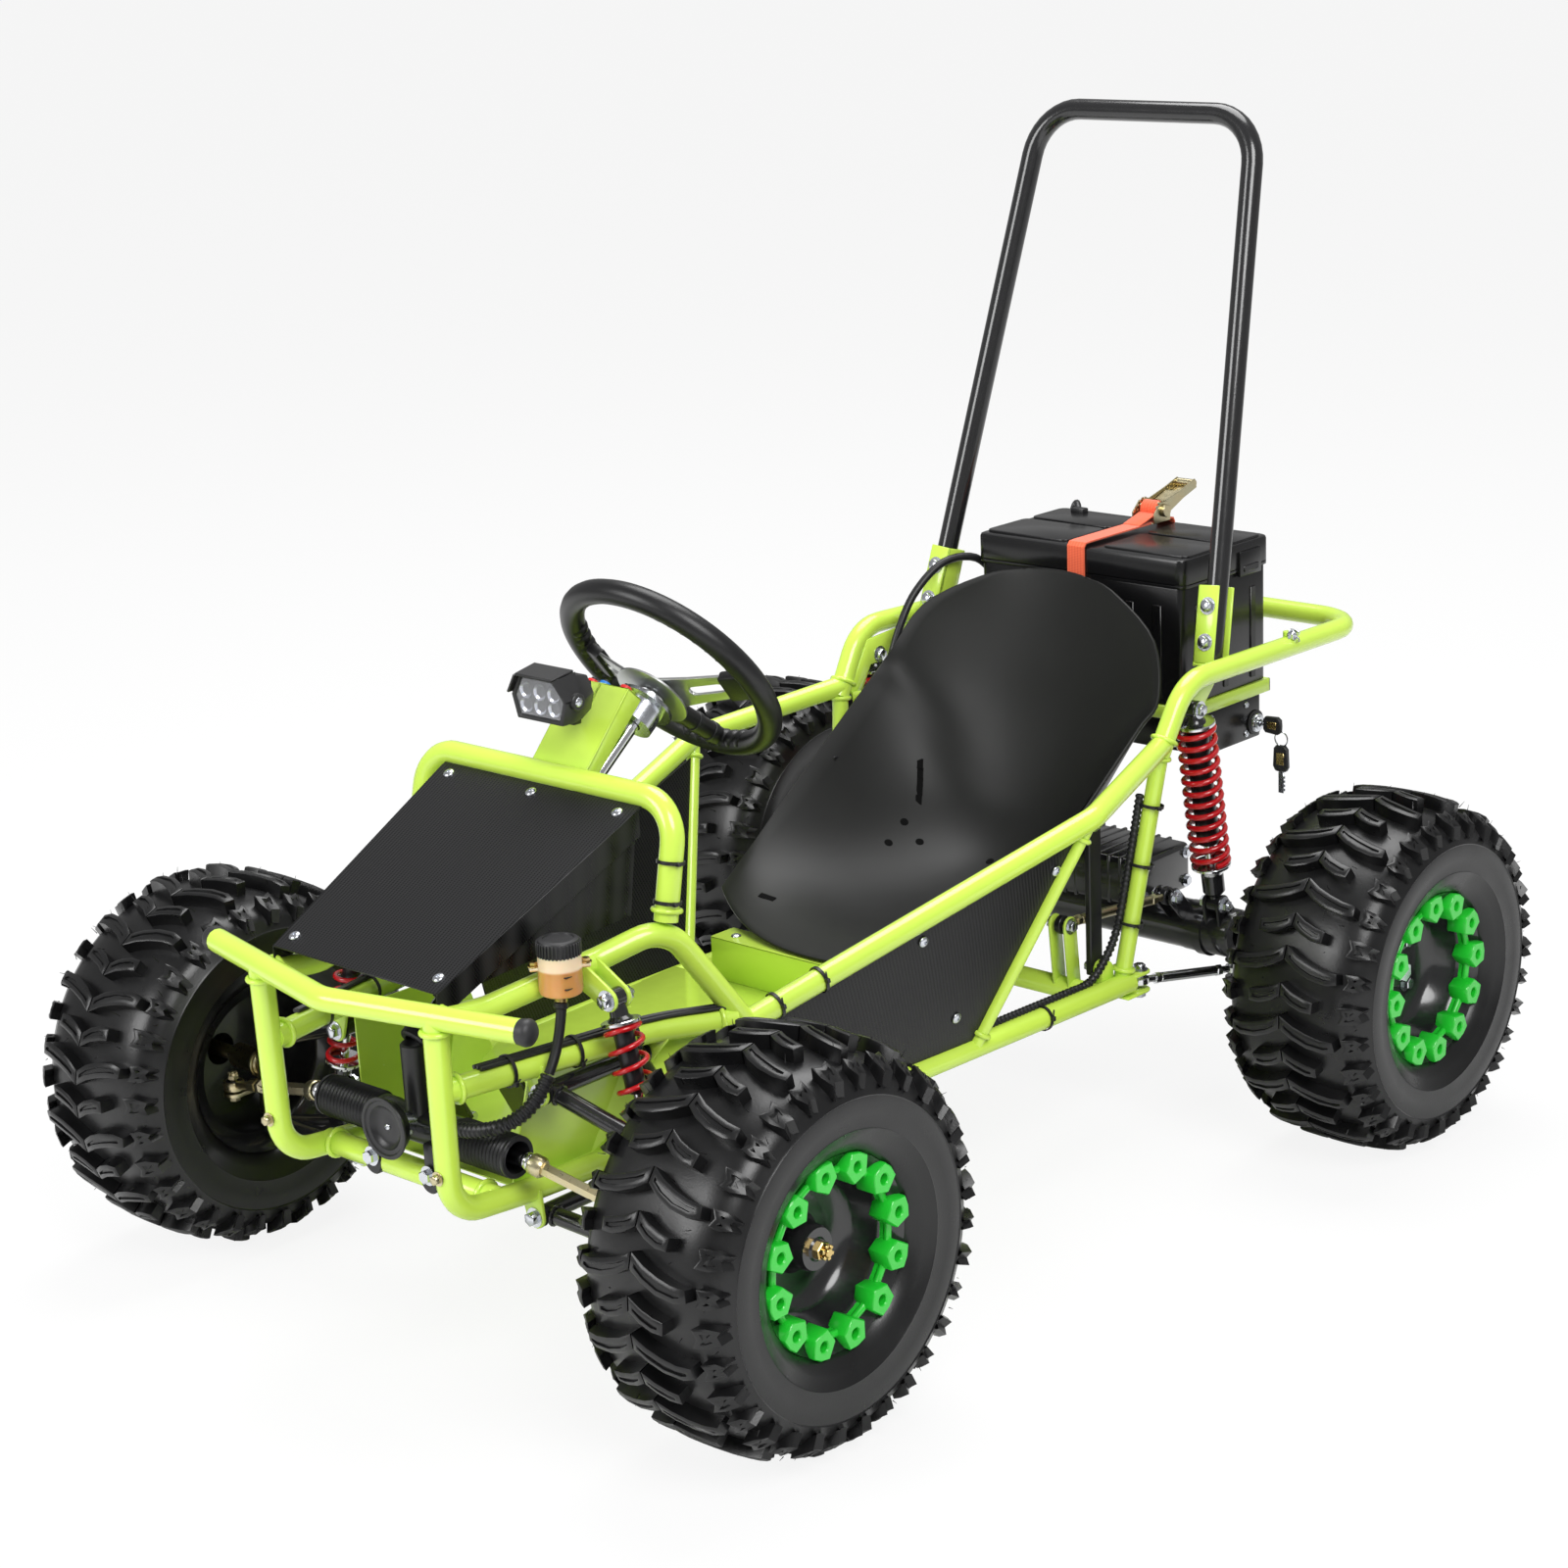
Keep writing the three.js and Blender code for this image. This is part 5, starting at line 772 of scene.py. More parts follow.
def add_tab(shape, root, eye, axis, width, radius, thickness, index=0, hole=0.0):
    """A lug of plate from a tube to a bolt's eye, with a round end."""
    root = Vector(root)
    eye = Vector(eye)
    axis = Vector(axis).normalized()
    way = (eye - root).normalized()
    across = axis.cross(way)
    outline = [root - across * width, root + across * width]
    for step in range(9):
        angle = math.pi * step / 8
        outline.append(eye + (across * math.cos(angle) + way * math.sin(angle)) * radius)
    outline = [point - axis * thickness / 2 for point in outline]
    holes = [(eye - axis * thickness / 2, hole)] if hole else ()
    add_plate(shape, outline, axis * thickness, index, holes=holes)


def along_to(start, end, y):
    """The point of a straight run that has a given y."""
    start = Vector(start)
    end = Vector(end)
    return start.lerp(end, (y - start.y) / (end.y - start.y))


LOWER_PIVOT = ((0.130, -0.580, 0.166), (0.130, -0.458, 0.166))
UPPER_PIVOT = ((0.150, -0.583, 0.300), (0.150, -0.442, 0.300))
SHOCK_TOP = (0.190, -0.516, 0.387)
SHOCK_FOOT = (0.237, -0.516, 0.197)
LINK_FRONT = (0.215, 0.292, 0.175)
LINK_REAR = (0.250, 0.430, 0.157)
BOLT_AXIS_Y = (0, 1, 0)
EAR = 0.004

for side_name, side in both_sides():
    tubes = bmesh.new()
    for points, radius in SIDE_TUBES:
        add_tube(tubes, bent_line([sided(point, side) for point in points], BEND), radius)
    for start, end, radius, distance in WELDS:
        start = sided(start, side)
        way = (sided(end, side) - start).normalized()
        add_weld(tubes, start + way * distance, way, radius)
    for pivots, rails in ((LOWER_PIVOT, (LOWER_RAIL[:2], LOWER_RAIL[1:3])), (UPPER_PIVOT, (MID_RAIL[:2], MID_RAIL[1:]))):
        for eye, rail, outward in zip(pivots, rails, (-1, 1)):
            root = along_to(sided(rail[0], side), sided(rail[1], side), eye[1])
            shift = Vector((0, outward * (0.00025 + EAR / 2), 0))
            eye = sided(eye, side) + shift
            add_tab(tubes, (root.x, eye.y, root.z), eye, BOLT_AXIS_Y, 0.014, 0.012, EAR)
            add_bolt(tubes, eye + Vector((0, outward * EAR / 2, 0)), (0, outward, 0), 0.0125, 0.0075, 1, outward > 0)
    shock_top = sided(SHOCK_TOP, side)
    shock_root = along_to(sided(UPPER_RAIL[1], side), sided(UPPER_RAIL[2], side), shock_top.y)
    for outward in (-1, 1):
        shift = outward * (0.0073 + EAR / 2)
        root = (shock_root.x, shock_top.y + shift, shock_root.z)
        eye = shock_top + Vector((0, shift, 0))
        add_tab(tubes, root, eye, BOLT_AXIS_Y, 0.014, 0.012, EAR)
        add_bolt(tubes, eye + Vector((0, outward * EAR / 2, 0)), (0, outward, 0), 0.013, 0.007, 1, outward > 0)
    rod(tubes, shock_top - Vector((0, 0.012, 0)), shock_top + Vector((0, 0.012, 0)), 0.004, 12, 1)
    link_eye = sided(LINK_FRONT, side)
    for outward in (-1, 1):
        shift = Vector((0, 0, outward * 0.011))
        root = Vector((link_eye.x, LOWER_RAIL[-1][1] - TUBE, link_eye.z)) + shift
        add_tab(tubes, root, link_eye + shift, (0, 0, 1), 0.011, 0.012, 0.003)
        add_bolt(tubes, link_eye + shift + Vector((0, 0, outward * 0.0015)), (0, 0, outward), 0.012, 0.006, 1)
    seat_eye = sided((0.2025, 0.240, 0.201), side)
    add_tab(tubes, seat_eye - Vector((0, 0, 0.02)), seat_eye, (side, 0, 0), 0.0125, 0.010, 0.014)
    add_bolt(tubes, seat_eye - Vector((side * 0.0165, 0, 0)), (-side, 0, 0), 0.011, 0.006, 1)
    if side < 0:
        add_tab(tubes, (-0.165, -0.470, 0.425), (-0.140, -0.462, 0.392), BOLT_AXIS_Y, 0.012, 0.013, 0.003, hole=0.005)
    piece(
        f"frame_tubes_{side_name}",
        tubes,
        [lime_coat, bright_zinc],
        "chassis",
        [f"frame_{side_name}"],
        FRAME_SHARP,
    )
print("frame sides ready")

# %% [markdown]
# The bumper is a shallow V of the same tube on two posts that turn under the nose and run into the lower
# rails, with a cross tube between them. Black domed caps close its open ends. The small yellow fittings
# on the posts hold the brake hose.

# %% Front bumper
BUMPER = ((0.2281, -0.6689, 0.406), (0, -0.722, 0.406), (-0.2281, -0.6689, 0.406))
bumper = bmesh.new()
add_tube(bumper, bent_line(BUMPER, 0.05), TUBE)
rod(bumper, (-0.125, -0.628, 0.2), (0.125, -0.628, 0.2), TUBE)
for side_name, side in both_sides():
    add_tube(bumper, bent_line([sided(point, side) for point in FRONT_POST], BEND), TUBE)
    post_top = sided(FRONT_POST[0], side)
    add_weld(bumper, post_top - Vector((0, 0, 0.0145)), (0, 0, 1), TUBE)
    add_weld(bumper, (side * 0.1105, -0.628, 0.2), (1, 0, 0), TUBE)
    fitting = Vector((side * 0.1255, -0.70, 0.245))
    add_bolt(bumper, fitting, (0, -1, 0), 0.009, 0.006, 1)
piece("front_bumper_tube", bumper, [lime_coat, yellow_zinc], "chassis", ["front_bumper"], FRAME_SHARP)

caps = bmesh.new()
for side_name, side in both_sides():
    end = sided(BUMPER[0], side)
    way = (end - Vector(BUMPER[1])).normalized()
    dome = [(0.0132, -0.001), (0.0136, 0.002), (0.0125, 0.0055), (0.009, 0.0085), (0.0045, 0.01), (0, 0.0104)]
    lathe(caps, [(0.0125, -0.006), *dome], facing(end, way), 28)
piece("bumper_end_caps", caps, cap_plastic, "chassis")
print("bumper ready")

# %% [markdown]
# The steering hoop is one bent tube behind the nose. It carries the column box, a folded sheet with two
# side edges, and the bearing housing that the steering shaft turns in. The three coloured terminals on its
# top edge are the charging sockets.

# %% Steering hoop and column box
HOOP = ((0.1814, -0.4334, 0.4403), (0.180, -0.410, 0.555), (-0.180, -0.410, 0.555), (-0.1814, -0.4334, 0.4403))
WHEEL_CENTRE = Vector((0, -0.227, 0.625))
COLUMN_TILT = math.radians(37.6)
COLUMN_WAY = Vector((0, math.cos(COLUMN_TILT), math.sin(COLUMN_TILT)))
BOX_FOOT = Vector((0, -0.403, 0.5504))
BOX_TOP = Vector((0, -0.328, 0.632))
BOX_HALF = 0.040
BOX_DEPTH = 0.024


def on_column(distance):
    return WHEEL_CENTRE - COLUMN_WAY * distance


hoop = bmesh.new()
add_tube(hoop, bent_line(HOOP, BEND), TUBE)
for side_name, side in both_sides():
    foot = sided(HOOP[0], side)
    way = (sided(HOOP[1], side) - foot).normalized()
    add_weld(hoop, foot + way * 0.011, way, TUBE)
rise = (BOX_TOP - BOX_FOOT).normalized()
box_back = Vector((0, rise.z, -rise.y))
half = Vector((BOX_HALF, 0, 0))
fold = 0.0026
add_plate(hoop, [BOX_FOOT - half, BOX_FOOT + half, BOX_TOP + half, BOX_TOP - half], box_back * fold, edge=0.001)
for side in (-1, 1):
    edge_foot = BOX_FOOT + half * side
    edge_top = BOX_TOP + half * side
    outline = [edge_foot, edge_top, edge_top + box_back * BOX_DEPTH, edge_foot + box_back * BOX_DEPTH * 0.7]
    add_plate(hoop, outline, (-side * fold, 0, 0), edge=0.001)
top_flap = [BOX_TOP - half, BOX_TOP + half, BOX_TOP + half + box_back * BOX_DEPTH, BOX_TOP - half + box_back * BOX_DEPTH]
add_plate(hoop, top_flap, -rise * fold, edge=0.001)
shaft_side = -Vector((0, COLUMN_WAY.z, -COLUMN_WAY.y)) * 0.018
web = [BOX_FOOT.lerp(BOX_TOP, 0.72), BOX_TOP, on_column(0.047) + shaft_side, on_column(0.076) + shaft_side]
add_plate(hoop, [point - Vector((0.0025, 0, 0)) for point in web], (0.005, 0, 0))
housing = [(0.0095, 0.0), (0.022, 0.0), (0.022, 0.0235), (0.031, 0.0245), (0.031, 0.0285), (0.0295, 0.0292), (0.0095, 0.0292)]
lathe(hoop, housing, facing(on_column(0.076), COLUMN_WAY), 40, 1)
piece("steering_hoop_tube", hoop, [lime_coat, bright_zinc], "chassis", ["steering_hoop"], FRAME_SHARP)

terminals = bmesh.new()
for number, x in enumerate((-0.024, -0.006, 0.024)):
    place = BOX_TOP + Vector((x, 0, 0)) + box_back * 0.012
    rod(terminals, place, place + rise * 0.006, 0.0062, 16, number, 0.001)
    rod(terminals, place + rise * 0.005, place + rise * 0.0085, 0.0034, 12, 3, 0.0006)
terminal_finish = [terminal_red, terminal_blue, terminal_red, cap_plastic]
piece("charging_terminals", terminals, terminal_finish, "chassis")
print("hoop ready")

# %% [markdown]
# The rear loop rises behind the seat, turns back on each side and crosses behind the battery. Its two
# gussets hold the rear springs, and its two open sockets take the feet of the roll bar, which is bolted
# in. A shallow tray with bent arms carries the battery. A gusset is drawn as an outline.

# %% Rear loop, sockets, gussets and tray
LOOP = ((0.239, 0.2996, 0.4429), (0.2429, 0.3465, 0.5202), (0.232, 0.723, 0.512))
GUSSET = (
    (0.229, 0.312, 0.452),
    (0.229, 0.345, 0.506),
    (0.229, 0.430, 0.512),
    (0.229, 0.392, 0.474),
    (0.229, 0.350, 0.474),
    (0.229, 0.328, 0.436),
    (0.229, 0.316, 0.436),
)
REAR_SHOCK_TOP = (0.240, 0.366, 0.484)
REAR_SHOCK_FOOT = (0.240, 0.407, 0.241)
BAR_FOOT = (0.209, 0.445, 0.515)
BAR_CORNER = (0.155, 0.615, 1.1215)
SOCKET_HEIGHT = 0.09
TRAY_TOP = 0.4477
TRAY_LOW = 0.4317
BATTERY_LOW = (-0.154, 0.467, 0.448)
BATTERY_HIGH = (0.154, 0.645, 0.6283)

loop = bmesh.new()
loop_points = [Vector(point) for point in LOOP] + [sided(point, -1) for point in reversed(LOOP)]
add_tube(loop, bent_line(loop_points, 0.06), TUBE)
for side_name, side in both_sides():
    foot = sided(LOOP[0], side)
    way = (sided(LOOP[1], side) - foot).normalized()
    add_weld(loop, foot + way * 0.02, way, TUBE)
    gusset = [sided(point, side) for point in GUSSET]
    eye = sided(REAR_SHOCK_TOP, side)
    add_plate(loop, gusset, (side * 0.003, 0, 0))
    add_bolt(loop, (side * 0.2485, eye.y, eye.z), (side, 0, 0), 0.0125, 0.005, 1)
    rod(loop, (side * 0.2315, eye.y, eye.z), (side * 0.2495, eye.y, eye.z), 0.004, 12, 1)
    add_bolt(loop, (side * 0.229, eye.y, eye.z), (-side, 0, 0), 0.0125, 0.006, 1)
    socket_foot = sided(BAR_FOOT, side)
    bar_way = (sided(BAR_CORNER, side) - socket_foot).normalized()
    bar_across = bar_way.cross(Vector((0, 1, 0))).normalized() * side
    channel = Matrix((bar_across, bar_way.cross(bar_across) * side, bar_way)).transposed().to_4x4()
    channel = Matrix.Translation(socket_foot) @ channel
    reach = TUBE + 0.0003
    for low, high in (
        ((-reach, -reach - 0.003, 0), (reach + 0.003, -reach, SOCKET_HEIGHT)),
        ((reach, -reach - 0.003, -0.004), (reach + 0.003, reach + 0.003, SOCKET_HEIGHT)),
        ((-reach, reach, 0), (reach + 0.003, reach + 0.003, SOCKET_HEIGHT)),
        ((-reach, -reach - 0.003, -0.0035), (reach + 0.003, reach + 0.003, -0.0003)),
    ):
        centre = (Vector(low) + Vector(high)) / 2
        add_box(loop, centre, Vector(high) - Vector(low), channel, 0.0009, 1)
    channel_front = -(channel.to_3x3() @ Vector((0, 1, 0)))
    for height in (0.024, 0.066):
        place = channel @ Vector((0, -reach - 0.003, height))
        add_bolt(loop, place, channel_front, 0.0125, 0.0055, 1)
        add_bolt(loop, channel @ Vector((0, reach + 0.003, height)), -channel_front, 0.0125, 0.006, 1)
    arm_front = sided((0.229, 0.314, TRAY_LOW), side)
    arm_back = sided((0.151, 0.475, TRAY_LOW), side)
    up = Vector((0, 0, TRAY_TOP - TRAY_LOW))
    inward = Vector((-side, -1, 0)).normalized() * 0.003
    add_plate(loop, [arm_front, arm_back, arm_back + up, arm_front + up], inward)
tray_centre_y = (BATTERY_LOW[1] + BATTERY_HIGH[1]) / 2
for size, centre in (
    ((0.308, 0.003, 0.016), (0, BATTERY_LOW[1] + 0.0015, 0.4397)),
    ((0.308, 0.003, 0.016), (0, BATTERY_HIGH[1] - 0.0015, 0.4397)),
    ((0.003, 0.178, 0.016), (0.1525, tray_centre_y, 0.4397)),
    ((0.003, 0.178, 0.016), (-0.1525, tray_centre_y, 0.4397)),
    ((0.306, 0.176, 0.0028), (0, tray_centre_y, 0.4461)),
):
    add_box(loop, centre, size, edge=0.0008, segments=1)
add_dome(loop, (0.06, BATTERY_LOW[1], 0.4397), (0, -1, 0), 0.005, 0.003, 2)
piece("rear_loop_tube", loop, [lime_coat, bright_zinc, black_iron], "chassis", ["rear_loop"], FRAME_SHARP)

bar = bmesh.new()
bar_points = [Vector(BAR_FOOT), Vector(BAR_CORNER), sided(BAR_CORNER, -1), sided(BAR_FOOT, -1)]
add_tube(bar, bent_line(bar_points, 0.062), 0.0125, resolution=8)
piece("roll_bar_tube", bar, black_coat, "chassis", ["roll_bar"])
print("rear loop and roll bar ready")
# %% [markdown]
# ## Tyres
#
# The tyre is a wide low-pressure one for sand and mud. Its carcass is turned like any other round part.
# The tread has three rows: long bars that run from the middle to the shoulder in a wide V, short arrows
# between them, and knobs on each shoulder. Both halves are mirror images, so the bars meet in the middle. Each sort of lug is modelled once on a flat strip, where x goes
# across the tyre, y goes round it and z stands up from the rubber. The strip is then rolled onto the
# carcass, which puts each point at its own radius and angle, and copied round by spinning copies.

# %% Carcass
TYRE_RADIUS = 0.202
TYRE_HALF = 0.095
CROWN_RADIUS = 0.186
BEAD_RADIUS = 0.0925

CARCASS = (
    (BEAD_RADIUS, 0.058),
    (0.096, 0.068),
    (0.101, 0.0755),
    (0.112, 0.0825),
    (0.1225, 0.0872),
    (0.1238, 0.0884),
    (0.1252, 0.0880),
    (0.138, 0.0905),
    (0.150, 0.0905),
    (0.1545, 0.0898),
    (0.1558, 0.0906),
    (0.1572, 0.0892),
    (0.166, 0.0855),
    (0.1745, 0.078),
    (0.1805, 0.067),
    (0.1838, 0.052),
    (0.1855, 0.035),
    (0.1862, 0.017),
    (0.1864, 0.0),
)


def crown_at(across):
    """The radius of the carcass at a distance from the middle of the tread."""
    across = min(abs(across), CARCASS[12][1])
    for outer, inner in zip(CARCASS[12:], CARCASS[13:]):
        if inner[1] <= across <= outer[1]:
            share = (across - inner[1]) / (outer[1] - inner[1])
            return inner[0] + (outer[0] - inner[0]) * share
    return CROWN_RADIUS


def lug_outline(points):
    return [Vector((x / 1000, y / 1000, 0)) for x, y in points]


def raised(strip, outline, height, draft=0.0022, sunk=0.004, groove=None):
    """A lug on the flat strip: its outline raised with a little draft, and an inset groove in its top."""
    foot = [strip.verts.new(point - Vector((0, 0, sunk))) for point in outline]
    base = strip.faces.new(foot)
    made = bmesh.ops.extrude_face_region(strip, geom=[base])
    top = [item for item in made["geom"] if isinstance(item, bmesh.types.BMVert)]
    bmesh.ops.translate(strip, vec=(0, 0, height + sunk), verts=top)
    lid = next(item for item in made["geom"] if isinstance(item, bmesh.types.BMFace))
    bmesh.ops.inset_region(strip, faces=[lid], thickness=draft, depth=0, use_even_offset=True)
    for vert in {vert for edge in lid.edges for face in edge.link_faces for vert in face.verts} - set(lid.verts):
        if vert.co.z > height - 0.0005:
            vert.co.z -= draft * 0.55
    if groove:
        bmesh.ops.inset_region(strip, faces=[lid], thickness=groove, depth=0, use_even_offset=True)
        bmesh.ops.inset_region(strip, faces=[lid], thickness=0.0007, depth=-0.0022, use_even_offset=True)
    base.normal_update()


def rolled(strip, angle):
    """Roll the flat strip onto the carcass at an angle round the axle."""
    for vert in strip.verts:
        across, around, height = vert.co
        radius = crown_at(across) + height
        turn = angle + around / TYRE_RADIUS
        vert.co = (radius * math.cos(turn), radius * math.sin(turn), across)


BAR_FRONT = ((0.8, -15), (17, -6), (34, 0), (50, 4), (64, 5))
BAR_BACK = ((66, 17), (54, 20), (33, 17), (15, 10), (0.8, 1))
LONG_BAR = lug_outline(BAR_FRONT + BAR_BACK)
ARROW = lug_outline(((0.8, -13), (15, -5), (30, 0), (41, 2), (40, 15), (27, 15), (13, 10), (0.8, 2)))
SHOULDER_KNOB = lug_outline(((68, -11), (79, -12), (91, -9), (86, -2), (91, 6), (79, 10), (68, 9), (72, -1)))
SMALL_KNOB = lug_outline(((71, -10), (82, -10), (90, -5), (85, 0), (90, 6), (80, 10), (71, 8), (75, -1)))
LUG_PAIRS = 16
LUG_STEP = 2 * math.pi / LUG_PAIRS


def tread(mirror_half):
    """One pitch of the tread on one half of the tyre."""
    strip = bmesh.new()
    pitch = LUG_STEP * TYRE_RADIUS
    for outline, shift, height, groove in (
        (LONG_BAR, 0.0, 0.0154, 0.0032),
        (ARROW, pitch * 0.5, 0.0154, 0.0030),
        (SHOULDER_KNOB, pitch * 0.68, 0.0125, 0.0028),
        (SMALL_KNOB, pitch * 0.17, 0.0115, 0.0026),
    ):
        placed = [point + Vector((0, shift, 0)) for point in outline]
        raised(strip, placed, height, groove=groove)
    if mirror_half:
        bmesh.ops.scale(strip, vec=(-1, 1, 1), verts=strip.verts[:])
    return strip


def tyre_shape():
    """A whole tyre round the Z axis, with its middle at the origin."""
    tyre = bmesh.new()
    inner = [(radius, -across) for radius, across in reversed(CARCASS[:-1])]
    inner_wall = [(BEAD_RADIUS, -0.058), (0.098, -0.058), (0.098, 0.058), (BEAD_RADIUS, 0.058)]
    lathe(tyre, list(CARCASS) + inner + inner_wall[1:], Matrix(), 96)
    for mirror_half in (False, True):
        strip = tread(mirror_half)
        rolled(strip, 0)
        for number in range(LUG_PAIRS):
            joined(tyre, strip, Matrix.Rotation(number * LUG_STEP, 4, "Z"), keep=True)
        strip.free()
    return tyre


# %% [markdown]
# Fresh tyres carry thin rubber hairs, which are left where air was let out of the mould. Each is a pin of
# three sides, set on the lugs and knobs. They lean in all directions, so their angles come from a fixed
# sequence that looks irregular: the golden angle, which never repeats.

# %% Mould hairs
GOLDEN_ANGLE = math.radians(137.508)
HAIRS = 170


def add_hairs(tyre, reach):
    for number in range(HAIRS):
        angle = number * GOLDEN_ANGLE
        across = (0.026, 0.058, 0.083, 0.045, 0.078)[number % 5] * (1 if number % 2 else -1)
        length = 0.004 + 0.006 * ((number * 0.618) % 1)
        radius = crown_at(across) + (0.010 if abs(across) < 0.07 else 0.006)
        length = min(length, reach - radius)
        if length < 0.002:
            continue
        lean = Vector((math.sin(number * 1.7), math.cos(number * 2.3), math.sin(number * 0.9))) * 0.45
        out = Vector((math.cos(angle), math.sin(angle), 0))
        hair = bmesh.new()
        bmesh.ops.create_cone(
            hair,
            cap_ends=True,
            segments=3,
            radius1=0.0006,
            radius2=0.0002,
            depth=length,
            matrix=Matrix.Translation((0, 0, length / 2)),
        )
        joined(tyre, hair, facing(out * radius + Vector((0, 0, across)), out + lean))


print("tyre recipe ready")

# %% [markdown]
# ## Rims and the green rings
#
# The rim is a deep black dish. Its outer flange carries a green ring of twelve clamp blocks joined by
# round bars, which locks the tyre's bead. A block is a five-sided plate with a round hole, drawn as an
# outline with a bridged circle and extruded. The rear dish shows its wheel bolts; the front one has a
# short hub with a castle nut.

# %% Rim, ring and hub
RING_BLOCKS = 12
RING_RADIUS = 0.083
RING_BACK = 0.060
RING_DEPTH = 0.0245


def rim_shape(depth):
    """The dish of a wheel round the Z axis, with its open face towards +Z."""
    rim = bmesh.new()
    outer = [
        (0.018, depth),
        (0.045, depth),
        (0.062, depth + 0.004),
        (0.071, depth + 0.012),
        (0.0755, 0.052),
        (0.0795, 0.060),
        (0.093, 0.0665),
        (0.0968, 0.070),
        (0.0968, 0.0665),
        (0.0915, 0.0625),
        (0.088, 0.055),
        (0.0865, 0.02),
        (0.0865, -0.02),
        (0.088, -0.055),
        (0.0915, -0.0625),
        (0.0968, -0.0665),
        (0.0968, -0.070),
        (0.093, -0.0665),
        (0.0795, -0.060),
        (0.0755, -0.052),
        (0.0755, depth - 0.006),
        (0.060, depth - 0.004),
        (0.045, depth - 0.004),
        (0.018, depth - 0.004),
        (0.018, depth),
    ]
    lathe(rim, outer, Matrix(), 72)
    return rim


def ring_block():
    """One clamp block, with its middle on the X axis."""
    block = bmesh.new()
    outline = [(0.0785, -0.0148), (0.0965, -0.0115), (0.0985, 0.0), (0.0965, 0.0115), (0.0785, 0.0148), (0.0670, 0.0)]
    holes = [((0.0845, 0, 0), 0.0053)]
    add_plate(block, [Vector((x, y, 0)) for x, y in outline], (0, 0, RING_DEPTH), edge=0.0011, holes=holes)
    return block


def add_ring(shape, index):
    """The ring of clamp blocks, which stands proud of the rim's face."""
    block = ring_block()
    for number in range(RING_BLOCKS):
        turn = Matrix.Rotation(2 * math.pi * number / RING_BLOCKS, 4, "Z")
        tip = Matrix.Translation((0, 0, RING_BACK - 0.008))
        joined(shape, block, turn @ tip, index, keep=True)
    block.free()
    chord = []
    for number in range(RING_BLOCKS):
        angle = 2 * math.pi * number / RING_BLOCKS
        chord.append(Vector((math.cos(angle) * RING_RADIUS, math.sin(angle) * RING_RADIUS, RING_BACK + 0.0035)))
    add_tube(shape, chord, 0.0040, index, closed=True, resolution=3)
    flat = [(0.0775, RING_BACK - 0.0045), (0.0935, RING_BACK - 0.0005), (0.0935, RING_BACK + 0.002), (0.0775, RING_BACK)]
    lathe(shape, flat + flat[:1], Matrix(), 72, index)


FRONT_WHEEL = Vector((0.4085, -0.532, 0.202))
REAR_WHEEL = Vector((0.451, 0.425, 0.202))
for end, centre in (("front", FRONT_WHEEL), ("rear", REAR_WHEEL)):
    for side_name, side in both_sides():
        place = facing(sided(centre, side), (side, 0, 0), math.radians(11 if end == "front" else 4))
        body = f"{end}_wheel_{side_name}" if end == "front" else "rear_wheels"
        tyre = tyre_shape()
        add_hairs(tyre, 0.2045)
        bmesh.ops.transform(tyre, matrix=place, verts=tyre.verts[:])
        piece(f"{end}_tyre_rubber_{side_name}", tyre, tyre_black, body, [f"{end}_tyre_{side_name}"])
        dish = 0.016
        rim = rim_shape(dish)
        add_ring(rim, 1)
        nut_face = dish + 0.001
        if end == "front":
            hub = [(0.030, dish - 0.002), (0.030, dish + 0.004), (0.024, dish + 0.007), (0.022, dish + 0.028)]
            hub += [(0.0205, dish + 0.031), (0.012, dish + 0.031), (0.010, dish + 0.033), (0, dish + 0.033)]
            lathe(rim, hub, Matrix(), 36)
            add_hex(rim, (0, 0, dish + 0.031), (0, 0, 1), 0.0165, 0.009, 2)
            for number in range(6):
                turn = Matrix.Rotation(math.pi * number / 3 + math.pi / 6, 4, "Z")
                add_box(rim, (0.0062, 0, dish + 0.0425), (0.0034, 0.0040, 0.005), turn, 0.0005, 1, 2)
            rod(rim, (0, 0, dish + 0.038), (0, 0, dish + 0.0465), 0.0042, 16, 2)
        else:
            lathe(rim, [(0, nut_face + 0.006), (0.019, nut_face + 0.006), (0.021, nut_face + 0.003), (0.021, nut_face)], Matrix(), 28)
            add_hex(rim, (0, 0, nut_face + 0.006), (0, 0, 1), 0.022, 0.012, 3)
            for number in range(4):
                angle = math.pi / 4 + math.pi * number / 2
                bolt_place = (0.036 * math.cos(angle), 0.036 * math.sin(angle), dish)
                add_bolt(rim, bolt_place, (0, 0, 1), 0.0125, 0.0075, 3)
        bmesh.ops.transform(rim, matrix=place, verts=rim.verts[:])
        finish = [black_coat, ring_green_coat, brass, bright_zinc]
        piece(f"{end}_rim_dish_{side_name}", rim, finish, body, [f"{end}_rim_{side_name}"])
print("wheels ready")
# %% [markdown]
# ## Front suspension
#
# Each front wheel hangs on two black arms, welded from two tubes that meet in a ball housing. The lower
# arm has a cross tube with two ears for the shock absorber's foot. Rubber bushes show as dark rings at the
# inner ends. The kingpin joins the two balls, and the yellow knuckle turns on it and carries the wheel.

# %% Suspension arms
LOWER_BALL = (0.335, -0.532, 0.136)
UPPER_BALL = (0.335, -0.532, 0.232)
SHOCK_CROSS = (0.237, -0.516, 0.151)
ARM_TUBE = 0.009
EYE_HALF = 0.007


